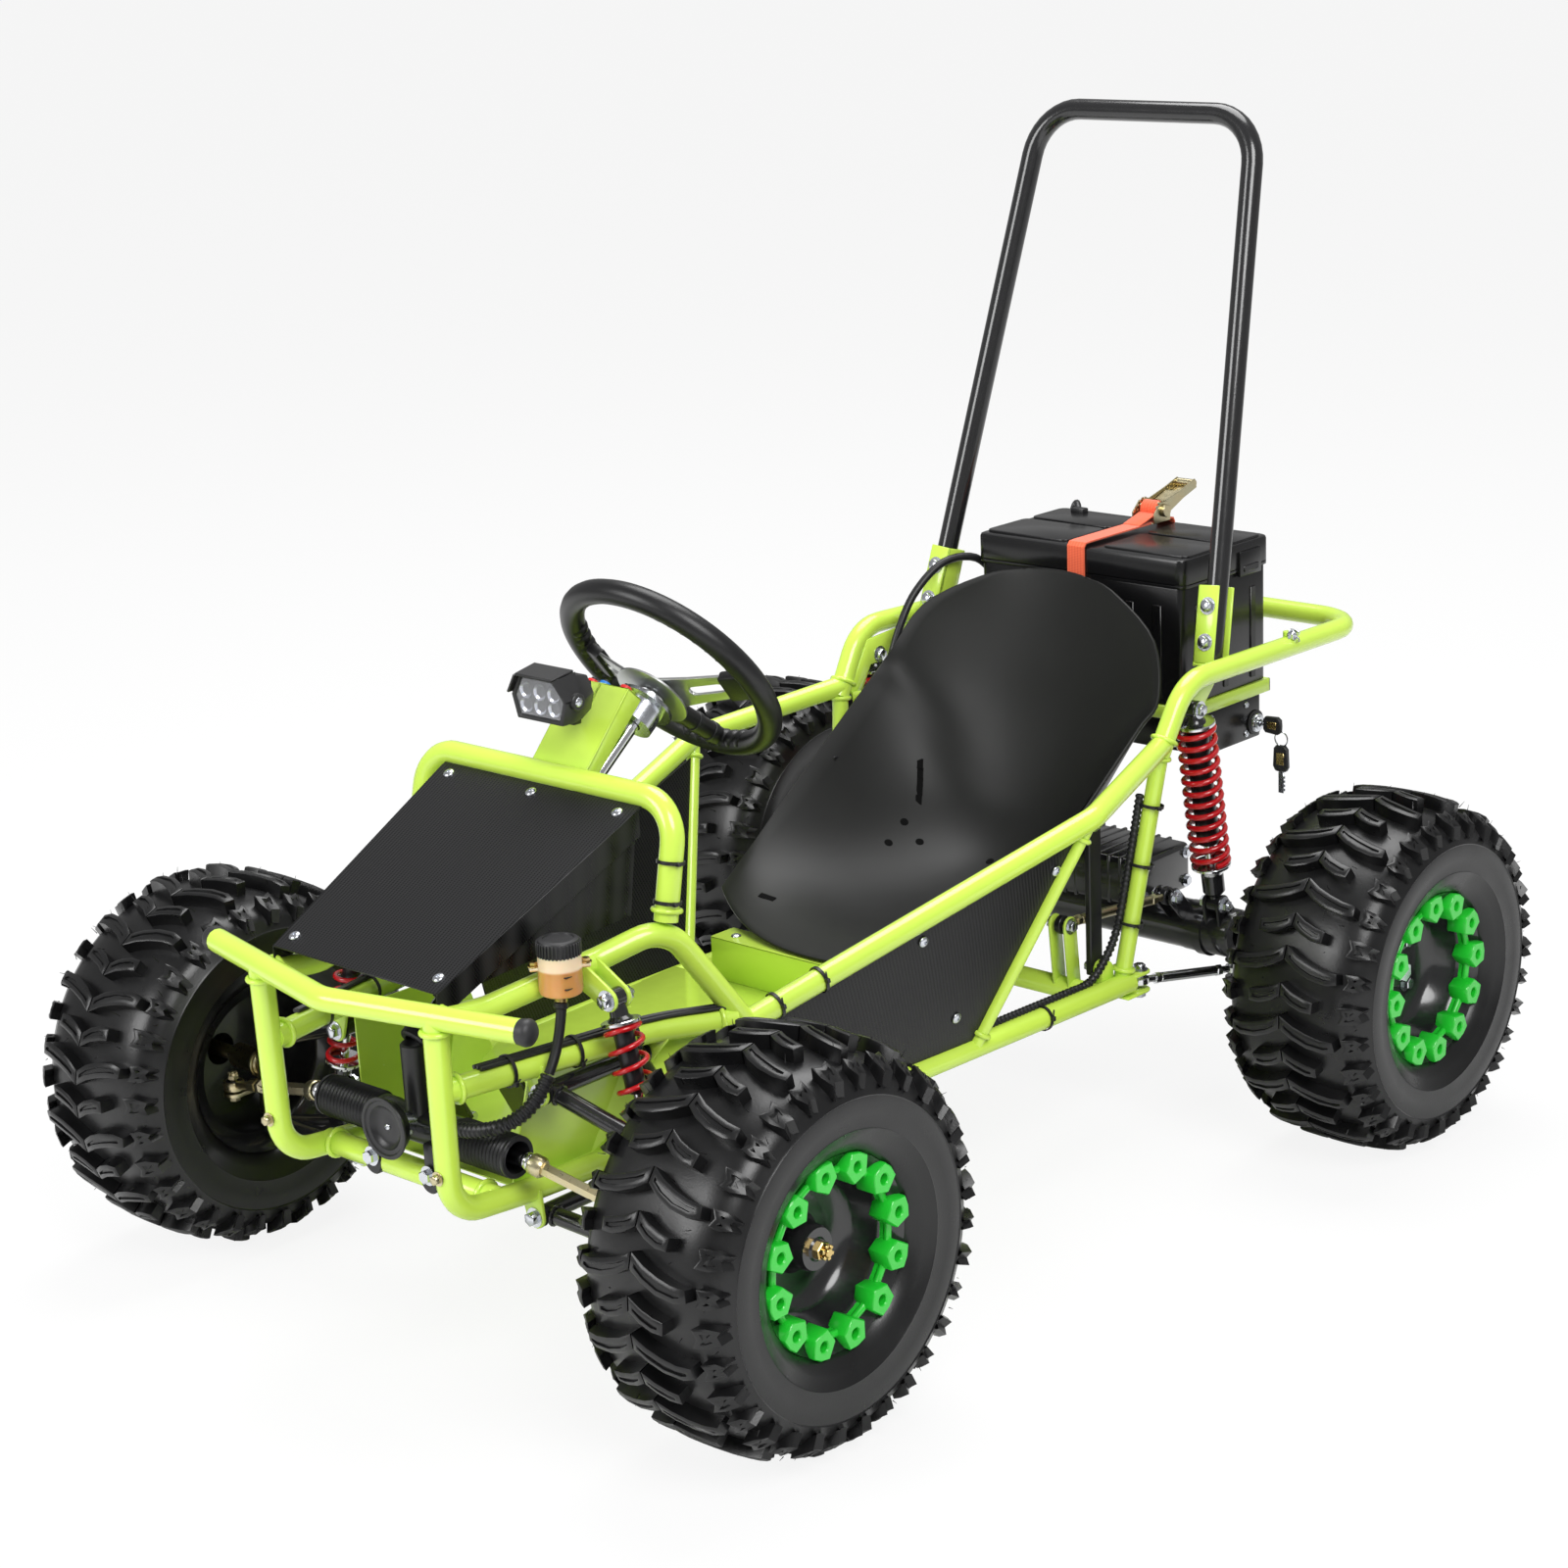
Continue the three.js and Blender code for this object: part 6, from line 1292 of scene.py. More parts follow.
def add_arm(shape, pivots, ball, side):
    front, rear = (sided(point, side) for point in pivots)
    outer = sided(ball, side)
    along = Vector((0, 1, 0))
    first = front + along * 0.0006
    last = rear - along * 0.0006
    sleeve = [(0.0056, 0), (0.0088, 0), (0.0093, 0.0006), (0.0093, 0.122), (0.0093, (last - first).length - 0.0006)]
    sleeve += [(0.0088, (last - first).length), (0.0056, (last - first).length), (0.0056, 0)]
    lathe(shape, sleeve, facing(first, along), 28)
    for place in (first + along * 0.001, last - along * 0.003):
        lathe(shape, [(0.0093, 0), (0.0118, 0), (0.0118, 0.002), (0.0093, 0.002)], facing(place, along), 28, 1)
    for root in (front + along * 0.012, rear - along * 0.012):
        line = bent_line([root, root.lerp(outer, 0.86), outer], 0.02)
        add_tube(shape, line, ARM_TUBE, resolution=4)
        way = (outer - root).normalized()
        add_weld(shape, root + way * 0.0105, way, ARM_TUBE, 0.002)
        add_weld(shape, outer - way * 0.0155, way, ARM_TUBE, 0.002)
    cup = [(0.0102, -0.0075), (0.0138, -0.0075), (0.0146, -0.0062), (0.0146, 0.0062), (0.0138, 0.0075), (0.0102, 0.0075)]
    lathe(shape, cup + cup[:1], facing(outer, (0, 0, 1)), 32)


for side_name, side in both_sides():
    lower_arm = bmesh.new()
    add_arm(lower_arm, LOWER_PIVOT, LOWER_BALL, side)
    share = (SHOCK_CROSS[0] - LOWER_PIVOT[0][0]) / (LOWER_BALL[0] - LOWER_PIVOT[0][0])
    cross_ends = [
        (side * SHOCK_CROSS[0], pivot[1] + (LOWER_BALL[1] - pivot[1]) * share, SHOCK_CROSS[2]) for pivot in LOWER_PIVOT
    ]
    rod(lower_arm, cross_ends[0], cross_ends[1], 0.0074)
    foot = sided(SHOCK_FOOT, side)
    for outward in (-1, 1):
        shift = Vector((0, outward * (EYE_HALF + 0.0003 + EAR / 2), 0))
        add_tab(lower_arm, sided(SHOCK_CROSS, side) + shift, foot + shift, BOLT_AXIS_Y, 0.013, 0.0115, EAR)
        tip = foot + Vector((0, outward * (EYE_HALF + 0.0003 + EAR), 0))
        add_bolt(lower_arm, tip, (0, outward, 0), 0.0125, 0.006, 2, outward > 0)
    rod(lower_arm, foot - Vector((0, 0.0115, 0)), foot + Vector((0, 0.0115, 0)), 0.004, 12, 2)
    finish = [black_coat, hose_rubber, bright_zinc]
    piece(f"lower_arm_tubes_{side_name}", lower_arm, finish, f"lower_arm_{side_name}", [f"lower_arm_{side_name}"])
    upper_arm = bmesh.new()
    add_arm(upper_arm, UPPER_PIVOT, UPPER_BALL, side)
    piece(f"upper_arm_tubes_{side_name}", upper_arm, finish, f"upper_arm_{side_name}", [f"upper_arm_{side_name}"])

# %% [markdown]
# The kingpin is a bright pin with a ball at each end. The knuckle is a sleeve on it with the wheel's stub
# axle, and a plate arm for the tie rod below, where a castle nut holds the tie rod's bolt. A short turned
# profile makes each ball, and the arm is a plate with a round end.

# %% Kingpins, knuckles and tie rods
HUB = (0.335, -0.532, 0.202)
TIE_INNER = (0.155, -0.610, 0.240)
TIE_OUTER = (0.335, -0.583, 0.196)


def add_ball(shape, place, radius, index=0, direction=(0, 0, 1)):
    arc = [(radius * math.sin(math.pi * step / 12), -radius * math.cos(math.pi * step / 12)) for step in range(13)]
    arc[0] = (0, -radius)
    arc[-1] = (0, radius)
    lathe(shape, arc, facing(place, direction), 20, index)


def add_castle_nut(shape, place, direction, across, height, index=0):
    """A nut with six slots in its top and the end of the bolt in it."""
    add_hex(shape, place, direction, across, height * 0.62, index)
    frame_of_nut = facing(place, direction)
    for number in range(6):
        turn = Matrix.Rotation(math.pi * number / 3 + math.pi / 6, 4, "Z")
        size = (across * 0.2, across * 0.27, height * 0.42)
        add_box(shape, (across * 0.38, 0, height * 0.8), size, frame_of_nut @ turn, across * 0.02, 1, index)
    way = Vector(direction).normalized()
    rod(shape, Vector(place), Vector(place) + way * height * 1.12, across * 0.26, 14, index)


for side_name, side in both_sides():
    pin = bmesh.new()
    lower_ball = sided(LOWER_BALL, side)
    upper_ball = sided(UPPER_BALL, side)
    up = Vector((0, 0, 1))
    add_ball(pin, lower_ball, 0.009)
    add_ball(pin, upper_ball, 0.009)
    rod(pin, lower_ball, upper_ball, 0.006)
    foot = lower_ball.lerp(upper_ball, 0.18)
    top = lower_ball.lerp(upper_ball, 0.82)
    rod(pin, foot - up * 0.0023, top + up * 0.0023, 0.0078, 24)
    for place, direction in ((foot - up * 0.0003, -up), (top + up * 0.0003, up)):
        disc = [(0.0078, 0), (0.0145, 0), (0.0145, 0.0016), (0.0078, 0.0016)]
        lathe(pin, disc + disc[:1], facing(place, direction), 28)
    piece(f"kingpin_steel_{side_name}", pin, yellow_zinc, f"kingpin_{side_name}", [f"kingpin_{side_name}"])

    knuckle = bmesh.new()
    sleeve_length = (top - foot).length
    sleeve = [(0.0092, 0), (0.0142, 0), (0.015, 0.0008), (0.015, sleeve_length - 0.0008), (0.0142, sleeve_length), (0.0092, sleeve_length)]
    lathe(knuckle, sleeve + sleeve[:1], facing(foot, up), 32)
    hub = sided(HUB, side)
    out = Vector((side, 0, 0))
    rod(knuckle, hub + out * 0.011, hub + out * 0.056, 0.014, 28)
    rod(knuckle, hub + out * 0.05, hub + out * 0.125, 0.008, 24)
    add_weld(knuckle, hub + out * 0.0165, out, 0.014, 0.002)
    arm_z = TIE_OUTER[2] - 0.008 - 0.0015
    arm_root = Vector((hub.x, hub.y - 0.008, arm_z))
    add_tab(knuckle, arm_root, (side * TIE_OUTER[0], TIE_OUTER[1], arm_z), up, 0.012, 0.0115, 0.004)
    bolt_foot = Vector((side * TIE_OUTER[0], TIE_OUTER[1], arm_z - 0.002))
    add_bolt(knuckle, bolt_foot, -up, 0.011, 0.005)
    rod(knuckle, bolt_foot, Vector((bolt_foot.x, bolt_foot.y, TIE_OUTER[2] + 0.013)), 0.0035, 16)
    add_castle_nut(knuckle, Vector((bolt_foot.x, bolt_foot.y, TIE_OUTER[2] + 0.0072)), up, 0.0105, 0.0072)
    piece(f"knuckle_steel_{side_name}", knuckle, yellow_zinc, f"knuckle_{side_name}", [f"knuckle_{side_name}"])

    inner = sided(TIE_INNER, side)
    outer = sided(TIE_OUTER, side)
    way = (outer - inner).normalized()
    tie_rod = bmesh.new()
    socket = [(0.0096, 0.0036), (0.0108, 0.005), (0.0108, 0.016), (0.0085, 0.019), (0.006, 0.0192), (0, 0.0192)]
    lathe(tie_rod, socket, facing(inner, way), 28)
    length = (outer - inner).length
    add_hex(tie_rod, inner + way * 0.018, way, 0.0118, length * 0.56)
    rod(tie_rod, inner + way * (0.018 + length * 0.55), outer - way * 0.009, 0.0045, 16)
    add_hex(tie_rod, inner + way * (0.018 + length * 0.56), way, 0.0135, 0.007)
    add_hex(tie_rod, inner + way * (0.018 + length * 0.56 + 0.012), way, 0.012, 0.016)
    eye = [(0.0082, -0.0048), (0.0108, -0.0048), (0.0115, -0.0035), (0.0115, 0.0035), (0.0108, 0.0048), (0.0082, 0.0048)]
    lathe(tie_rod, eye + eye[:1], facing(outer, up), 28)
    boot = [(0.0081, -0.004), (0.0081, 0.004), (0.0075, 0.0046), (0.0068, 0.0052), (0.0064, 0.0052), (0.0064, -0.0046), (0.0081, -0.004)]
    lathe(tie_rod, boot, facing(outer, up), 24, 1)
    piece(f"tie_rod_steel_{side_name}", tie_rod, [yellow_zinc, hose_rubber], f"tie_rod_{side_name}", [f"tie_rod_{side_name}"])
print("front suspension ready")

# %% [markdown]
# ## Shock absorbers
#
# A damper has a dark body with the upper eye and a perch for the spring, and a bright rod with the lower
# eye and perch. The spring between them is a helix of round wire: points on a circle that rises as it
# turns, with the first and last turn laid almost flat, like a ground spring. When the suspension moves the
# spring gets shorter.

# %% Dampers and springs
SHOCKS = {
    "front": {
        "top": SHOCK_TOP,
        "foot": SHOCK_FOOT,
        "axis": (0, 1, 0),
        "outer": 0.040,
        "wire": 0.0056,
        "turns": 7.4,
        "top_perch": 0.026,
        "foot_perch": 0.034,
        "perch": 0.020,
        "body": 0.011,
        "body_length": 0.096,
        "rod": 0.005,
        "collar": 0.009,
        "travel": 0.0098,
    },
    "rear": {
        "top": REAR_SHOCK_TOP,
        "foot": REAR_SHOCK_FOOT,
        "axis": (1, 0, 0),
        "outer": 0.048,
        "wire": 0.0068,
        "turns": 12.6,
        "top_perch": 0.020,
        "foot_perch": 0.052,
        "perch": 0.023,
        "body": 0.014,
        "body_length": 0.170,
        "rod": 0.006,
        "collar": 0.013,
        "travel": 0.0199,
    },
}
POINTS_PER_TURN = 20


def helix(start, way, length, radius, turns):
    """The centre line of a spring wire, whose end turns lie close to flat."""
    frame_of_spring = facing(start, way)
    count = round(turns * POINTS_PER_TURN)
    line = []
    for step in range(count + 1):
        share = step / count
        flat = 0.75 / turns
        rise = min(max((share - flat * 0.55) / (1 - flat * 1.1), 0), 1)
        rise = rise * 0.93 + share * 0.07
        angle = 2 * math.pi * turns * share
        line.append(frame_of_spring @ Vector((radius * math.cos(angle), radius * math.sin(angle), length * rise)))
    return line


def add_eye(shape, place, axis, index, bore):
    profile = [(bore, -0.007), (0.009, -0.007), (0.010, -0.006), (0.010, 0.006), (0.009, 0.007), (bore, 0.007)]
    lathe(shape, profile + profile[:1], facing(place, axis), 28, index)


for end, shock in SHOCKS.items():
    for side_name, side in both_sides():
        top = sided(shock["top"], side)
        foot = sided(shock["foot"], side)
        axis = Vector(shock["axis"])
        way = (foot - top).normalized()
        length = (foot - top).length
        down = facing(top, way)
        perch_top = shock["top_perch"]
        perch_foot = length - shock["foot_perch"]
        perch = shock["perch"]
        body = bmesh.new()
        add_eye(body, top, axis, 0, 0.0048)
        neck = [(0, 0.006), (0.0085, 0.006), (0.0095, perch_top - 0.008), (0.0125, perch_top - 0.005)]
        lathe(body, [*neck, (0.0125, perch_top - 0.004), (0, perch_top - 0.004)], down, 28)
        seat = [
            (0.006, perch_top - 0.004),
            (perch - 0.001, perch_top - 0.004),
            (perch, perch_top - 0.0032),
            (perch, perch_top - 0.0006),
            (perch - 0.0006, perch_top),
            (0.006, perch_top),
            (0.006, perch_top - 0.004),
        ]
        lathe(body, seat, down, 36, 1)
        barrel = shock["body"] - 0.0006
        tube_profile = [
            (0, perch_top - 0.002),
            (barrel, perch_top - 0.002),
            (barrel, shock["body_length"] - 0.006),
            (barrel - 0.002, shock["body_length"] - 0.002),
            (shock["rod"] + 0.0012, shock["body_length"]),
            (shock["rod"] + 0.0006, shock["body_length"]),
            (shock["rod"] + 0.0006, perch_top + 0.004),
            (0, perch_top + 0.004),
        ]
        lathe(body, tube_profile, down, 28, 2)
        body_name = "chassis" if end == "front" else f"rear_damper_body_{side_name}"
        finish = [black_coat, polished_steel, black_iron]
        piece(f"{end}_damper_upper_{side_name}", body, finish, body_name, [f"{end}_damper_body_{side_name}"])

        slide = bmesh.new()
        add_eye(slide, foot, axis, 1, 0.0062)
        collar = shock["collar"]
        rod(slide, top + way * shock["body_length"] * 0.5, foot - way * 0.008, shock["rod"], 20, 0)
        lower_seat = [
            (0.004, perch_foot),
            (perch - 0.0006, perch_foot),
            (perch, perch_foot + 0.0006),
            (perch, perch_foot + 0.003),
            (perch - 0.0012, perch_foot + 0.004),
            (collar + 0.003, perch_foot + 0.0042),
            (collar + 0.001, perch_foot + 0.009),
            (collar, perch_foot + 0.012),
            (0.004, perch_foot + 0.012),
            (0.004, perch_foot),
        ]
        lathe(slide, lower_seat, down, 36, 0)
        sleeve = [
            (0, perch_foot + 0.010),
            (collar - 0.0005, perch_foot + 0.010),
            (collar, perch_foot + 0.0115),
            (collar, length - 0.017),
            (collar - 0.003, length - 0.0135),
            (0.0065, length - 0.0105),
            (0.0065, length - 0.006),
            (0, length - 0.006),
        ]
        lathe(slide, sleeve, down, 28, 1)
        piece(
            f"{end}_damper_lower_{side_name}",
            slide,
            [polished_steel, black_coat],
            f"{end}_damper_rod_{side_name}",
            [f"{end}_damper_rod_{side_name}"],
        )

        spring_start = top + way * (perch_top + 0.0003 + shock["wire"] / 2)
        spring_length = perch_foot - perch_top - 0.0006 - shock["wire"]
        coil_radius = (shock["outer"] - shock["wire"]) / 2
        wire = bmesh.new()
        line = helix(spring_start, way, spring_length, coil_radius, shock["turns"])
        add_tube(wire, line, shock["wire"] / 2, resolution=3)
        spring_body = "chassis" if end == "front" else f"rear_damper_body_{side_name}"
        name = f"{end}_spring_{side_name}"
        spring = piece(f"{end}_spring_wire_{side_name}", wire, red_coat, spring_body, [name])
        tuple(top + way * perch_top)
        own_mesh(spring)
print("shock absorbers ready")

# %% [markdown]
# ## Rack and horn
#
# The steering rack lies across the front under the nose. Ribbed rubber sleeves keep dust from its bar, and
# their profile goes in and out once for each rib. In front of it hangs the horn, a dished black disc with
# a screw in the middle, on a flat strap.

# %% Steering rack, bellows and horn
RACK = Vector((0, -0.610, 0.240))
HORN = Vector((0, -0.659, 0.252))
BELLOWS_START = 0.0575
BELLOWS_END = 0.1395
BELLOWS_RIBS = 15

rack = bmesh.new()
along_x = Vector((1, 0, 0))
housing = [(0, -0.058), (0.017, -0.058), (0.0195, -0.056), (0.0195, -0.04), (0.0175, -0.036), (0.0175, 0.036)]
housing += [(0.0195, 0.04), (0.0195, 0.056), (0.017, 0.058), (0, 0.058)]
lathe(rack, housing, facing(RACK, along_x), 36)
for side_name, side in both_sides():
    ribs = [(0.0168, 0.0), (0.0195, 0.001)]
    pitch = (BELLOWS_END - BELLOWS_START - 0.006) / BELLOWS_RIBS
    for rib in range(BELLOWS_RIBS):
        at_rib = 0.002 + pitch * rib
        ribs += [(0.0185, at_rib), (0.0212, at_rib + pitch * 0.32), (0.0218, at_rib + pitch * 0.5), (0.0212, at_rib + pitch * 0.68)]
    end_at = BELLOWS_END - BELLOWS_START
    ribs += [(0.0185, end_at - 0.004), (0.0212, end_at - 0.0035), (0.0215, end_at - 0.0008), (0.0205, end_at), (0.0162, end_at)]
    ribs += [(0.0162, 0.002), (0.0168, 0.0)]
    start = RACK + Vector((side * BELLOWS_START, 0, 0))
    lathe(rack, ribs, facing(start, (side, 0, 0)), 40, 1)
    add_box(rack, (side * 0.042, -0.6235, 0.2215), (0.018, 0.030, 0.034), edge=0.002)
    rod(rack, (side * 0.042, -0.641, 0.2), (side * 0.042, -0.615, 0.2), 0.0128, 20)
    add_bolt(rack, (side * 0.042, -0.641, 0.207), (0, -1, 0), 0.0125, 0.0065, 2)
tower_top = on_column(0.486)
rod(rack, RACK, tower_top, 0.0138, 28, 0)
cup = [(0.0098, 0), (0.0142, 0), (0.0158, 0.002), (0.0158, 0.034), (0.0142, 0.036), (0.0098, 0.036)]
lathe(rack, cup + cup[:1], facing(on_column(0.486), COLUMN_WAY), 28)
horn_way = Vector((0, -1, 0))
horn_profile = [
    (0, -0.016),
    (0.022, -0.016),
    (0.0255, -0.013),
    (0.0275, -0.006),
    (0.0318, -0.003),
    (0.0325, -0.0012),
    (0.0318, 0),
    (0.0285, 0),
    (0.0272, -0.0016),
    (0.023, -0.0022),
    (0.0195, -0.0062),
    (0.015, -0.0075),
    (0.009, -0.0066),
    (0.0045, -0.0066),
    (0, -0.0064),
]
lathe(rack, horn_profile, facing(HORN, horn_way), 48, 0)
add_dome(rack, HORN - horn_way * 0.0066, horn_way, 0.0036, 0.0028, 2)
rod(rack, HORN - horn_way * 0.015, RACK + Vector((0, -0.012, 0.006)), 0.0115, 24, 3)
finish = [black_iron, hose_rubber, bright_zinc, bright_zinc]
piece("rack_and_bellows", rack, finish, "chassis", ["rack_housing"])

bar = bmesh.new()
rod(bar, RACK - along_x * 0.155, RACK + along_x * 0.155, 0.007, 20)
add_ball(bar, RACK - along_x * 0.155, 0.009)
add_ball(bar, RACK + along_x * 0.155, 0.009)
piece("rack_bar_steel", bar, polished_steel, "rack", ["rack_bar"])
print("rack ready")

# %% [markdown]
# ## Rear axle
#
# A black tube holds the rear axle, with a finned motor on its right and a gear case. Brackets on it take
# the shock absorbers, the two lower links and the upper link. The links are bright bars with an eye at
# each end and a lock nut.

# %% Axle tube, motor and links
AXLE_Y = 0.425
AXLE_Z = 0.202
AXLE_TUBE = 0.029
UPPER_LINK = ((0.172, 0.205, 0.258), (0.190, 0.381, 0.248))

axle = bmesh.new()
for side_name, side in both_sides():
    bearing = [(0, 0.0), (AXLE_TUBE, 0.0), (AXLE_TUBE, 0.19), (AXLE_TUBE + 0.0008, 0.194), (AXLE_TUBE + 0.0008, 0.226)]
    bearing += [(AXLE_TUBE, 0.23), (AXLE_TUBE, 0.258), (AXLE_TUBE - 0.002, 0.262), (0.0158, 0.262), (0.0158, 0.21), (0, 0.21)]
    lathe(axle, bearing, facing((0, AXLE_Y, AXLE_Z), (side, 0, 0)), 48)
    foot = sided(REAR_SHOCK_FOOT, side)
    for outward in (-1, 1):
        offset = outward * (EYE_HALF + 0.0003 + EAR / 2)
        root = Vector((foot.x + offset, AXLE_Y, AXLE_Z))
        eye = foot + Vector((offset, 0, 0))
        add_tab(axle, root, eye, (1, 0, 0), 0.0235, 0.0118, EAR)
        tip = foot + Vector((outward * (EYE_HALF + 0.0003 + EAR), 0, 0))
        add_bolt(axle, tip, (outward, 0, 0), 0.0125, 0.0062, 1, outward > 0)
        clamp = Vector((foot.x + offset * 1.0 + outward * EAR / 2, AXLE_Y - 0.006, AXLE_Z + 0.018))
        add_bolt(axle, clamp, (outward, 0, 0), 0.011, 0.005, 1)
    rod(axle, foot - Vector((0.0115, 0, 0)), foot + Vector((0.0115, 0, 0)), 0.004, 12, 1)
    eye = sided(LINK_REAR, side)
    keel_y = AXLE_Y + AXLE_TUBE
    add_box(axle, (eye.x, keel_y - 0.003, (eye.z - 0.011 + AXLE_Z) / 2), (0.022, 0.006, AXLE_Z - eye.z + 0.011), edge=0.001, segments=1)
    for outward in (-1, 1):
        shift = Vector((0, 0, outward * 0.0105))
        root = Vector((eye.x, keel_y, eye.z)) + shift
        add_tab(axle, root, eye + shift, (0, 0, 1), 0.011, 0.011, 0.003)
        add_bolt(axle, eye + shift + Vector((0, 0, outward * 0.0015)), (0, 0, outward), 0.0115, 0.005, 1)
    rod(axle, eye - Vector((0, 0, 0.012)), eye + Vector((0, 0, 0.012)), 0.004, 12, 1)
    collar = [(AXLE_TUBE, 0), (AXLE_TUBE + 0.0032, 0), (AXLE_TUBE + 0.0032, 0.012), (AXLE_TUBE, 0.012)]
    lathe(axle, collar, facing((side * 0.214, AXLE_Y, AXLE_Z), (side, 0, 0)), 40)
upper_eye = Vector(UPPER_LINK[1])
for outward in (-1, 1):
    shift = Vector((outward * 0.0105, 0, 0))
    root = Vector((upper_eye.x, AXLE_Y, AXLE_Z)) + shift
    add_tab(axle, root, upper_eye + shift, (1, 0, 0), 0.011, 0.011, 0.003)
    add_bolt(axle, upper_eye + shift + Vector((outward * 0.0015, 0, 0)), (outward, 0, 0), 0.0115, 0.005, 1)
rod(axle, upper_eye - along_x * 0.012, upper_eye + along_x * 0.012, 0.004, 12, 1)
add_box(axle, (0.045, 0.434, 0.2515), (0.208, 0.102, 0.058), edge=0.007, segments=3)
for number in range(11):
    x = -0.045 + 0.0165 * number
    add_box(axle, (x, 0.434, 0.252), (0.0045, 0.1036, 0.0586), edge=0.001, segments=1)
for y in (0.392, 0.476):
    for z in (0.234, 0.270):
        add_bolt(axle, (0.149, y, z), (1, 0, 0), 0.0095, 0.0035, 1)
piece("rear_axle_housing", axle, [black_coat, bright_zinc], "rear_axle", ["rear_axle"])


def add_link(shape, front, rear, axis):
    """A link bar: an eye at each end, a thick middle and a lock nut."""
    way = (rear - front).normalized()
    for place, bore in ((front, 0.0052), (rear, 0.0078)):
        eye = [(bore, -0.0038), (0.0102, -0.0038), (0.0109, -0.003), (0.0109, 0.003), (0.0102, 0.0038), (bore, 0.0038)]
        lathe(shape, eye + eye[:1], facing(place, axis), 28, 1)
    rod(shape, front + way * 0.009, rear - way * 0.009, 0.0042, 18)
    rod(shape, front + way * 0.030, rear - way * 0.030, 0.0059, 24)
    add_hex(shape, front + way * 0.022, way, 0.0115, 0.0075)
    add_hex(shape, rear - way * 0.022, -way, 0.0115, 0.0075)


for side_name, side in both_sides():
    link = bmesh.new()
    add_link(link, sided(LINK_FRONT, side), sided(LINK_REAR, side), (0, 0, 1))
    piece(f"lower_link_bar_{side_name}", link, [polished_steel, polished_steel], f"lower_link_{side_name}", [f"lower_link_{side_name}"])
link = bmesh.new()
add_link(link, Vector(UPPER_LINK[0]), Vector(UPPER_LINK[1]), (1, 0, 0))
piece("upper_link_bar", link, [yellow_zinc, black_iron], "upper_link", ["upper_link"])
print("rear axle ready")
# %% [markdown]
# ## Sheets and panels
#
# The floor is a flat green sheet between the lower rails, with side walls at the front, a raised box under
# the seat and two bars that run back to a cross tube. The nose and the side panels are thin dark sheets
# with folded edges, held by button-headed screws.

# %% Floor pan
FLOOR_OUTLINE = ((0.110, -0.592, 0.195), (0.110, -0.486, 0.195), (0.196, -0.330, 0.195), (0.212, -0.032, 0.195))
FLOOR_SHEET = 0.002

pan = bmesh.new()
outline = [Vector(point) for point in FLOOR_OUTLINE] + [sided(point, -1) for point in reversed(FLOOR_OUTLINE)]
add_plate(pan, outline, (0, 0, FLOOR_SHEET), edge=0.0004)
for side_name, side in both_sides():
    wall_foot = ((0.109, -0.592, 0.194), (0.109, -0.486, 0.194), (0.192, -0.340, 0.194))
    wall_top = ((0.131, -0.578, 0.326), (0.133, -0.430, 0.324), (0.196, -0.384, 0.324))
    for number in (0, 1):
        corners = [wall_foot[number], wall_foot[number + 1], wall_top[number + 1], wall_top[number]]
        add_plate(pan, [sided(point, side) for point in corners[:3]], (side * -FLOOR_SHEET, 0, 0), edge=0)
        add_plate(pan, [sided(corners[index], side) for index in (0, 2, 3)], (side * -FLOOR_SHEET, 0, 0), edge=0)
    add_box(pan, (side * 0.085, 0.072, 0.192), (0.020, 0.280, 0.006), edge=0.0008, segments=1)
    rod(pan, (side * 0.085, 0.212, 0.189), (side * 0.085, 0.212, 0.272), 0.008, 20)
    add_weld(pan, (side * 0.085, 0.212, 0.196), (0, 0, 1), 0.008)
    add_weld(pan, (side * 0.201, 0.212, 0.18), (1, 0, 0), TUBE)
    for place in ((0.125, -0.03, 0.247), (0.06, -0.012, 0.247)):
        add_dome(pan, (side * place[0], place[1] + 0.012, place[2]), (0, 0, 1), 0.006, 0.003, 1)
rod(pan, (-0.2125, 0.212, 0.18), (0.2125, 0.212, 0.18), TUBE)
add_plate(pan, [(-0.15, -0.034, 0.197), (0.15, -0.034, 0.197), (0.15, -0.034, 0.247), (-0.15, -0.034, 0.247)], (0, 0.002, 0))
add_plate(pan, [(-0.15, -0.034, 0.245), (0.15, -0.034, 0.245), (0.15, 0.004, 0.245), (-0.15, 0.004, 0.245)], (0, 0, 0.002))
for outward in (-1, 1):
    shift = Vector((outward * 0.0105, 0, 0))
    eye = Vector(UPPER_LINK[0]) + shift
    add_tab(pan, (eye.x, 0.212, 0.185), eye, (1, 0, 0), 0.011, 0.011, 0.003)
    add_bolt(pan, eye + Vector((outward * 0.0015, 0, 0)), (outward, 0, 0), 0.0115, 0.005, 1)
piece("floor_sheet", pan, [lime_coat, bright_zinc], "chassis", ["floor_pan"], FRAME_SHARP)
print("floor ready")

# %% Nose panel
NOSE_REAR = (0.143, -0.424, 0.546)
NOSE_FRONT = (0.121, -0.681, 0.424)
NOSE_FLANGE = 0.028
SHEET = 0.002

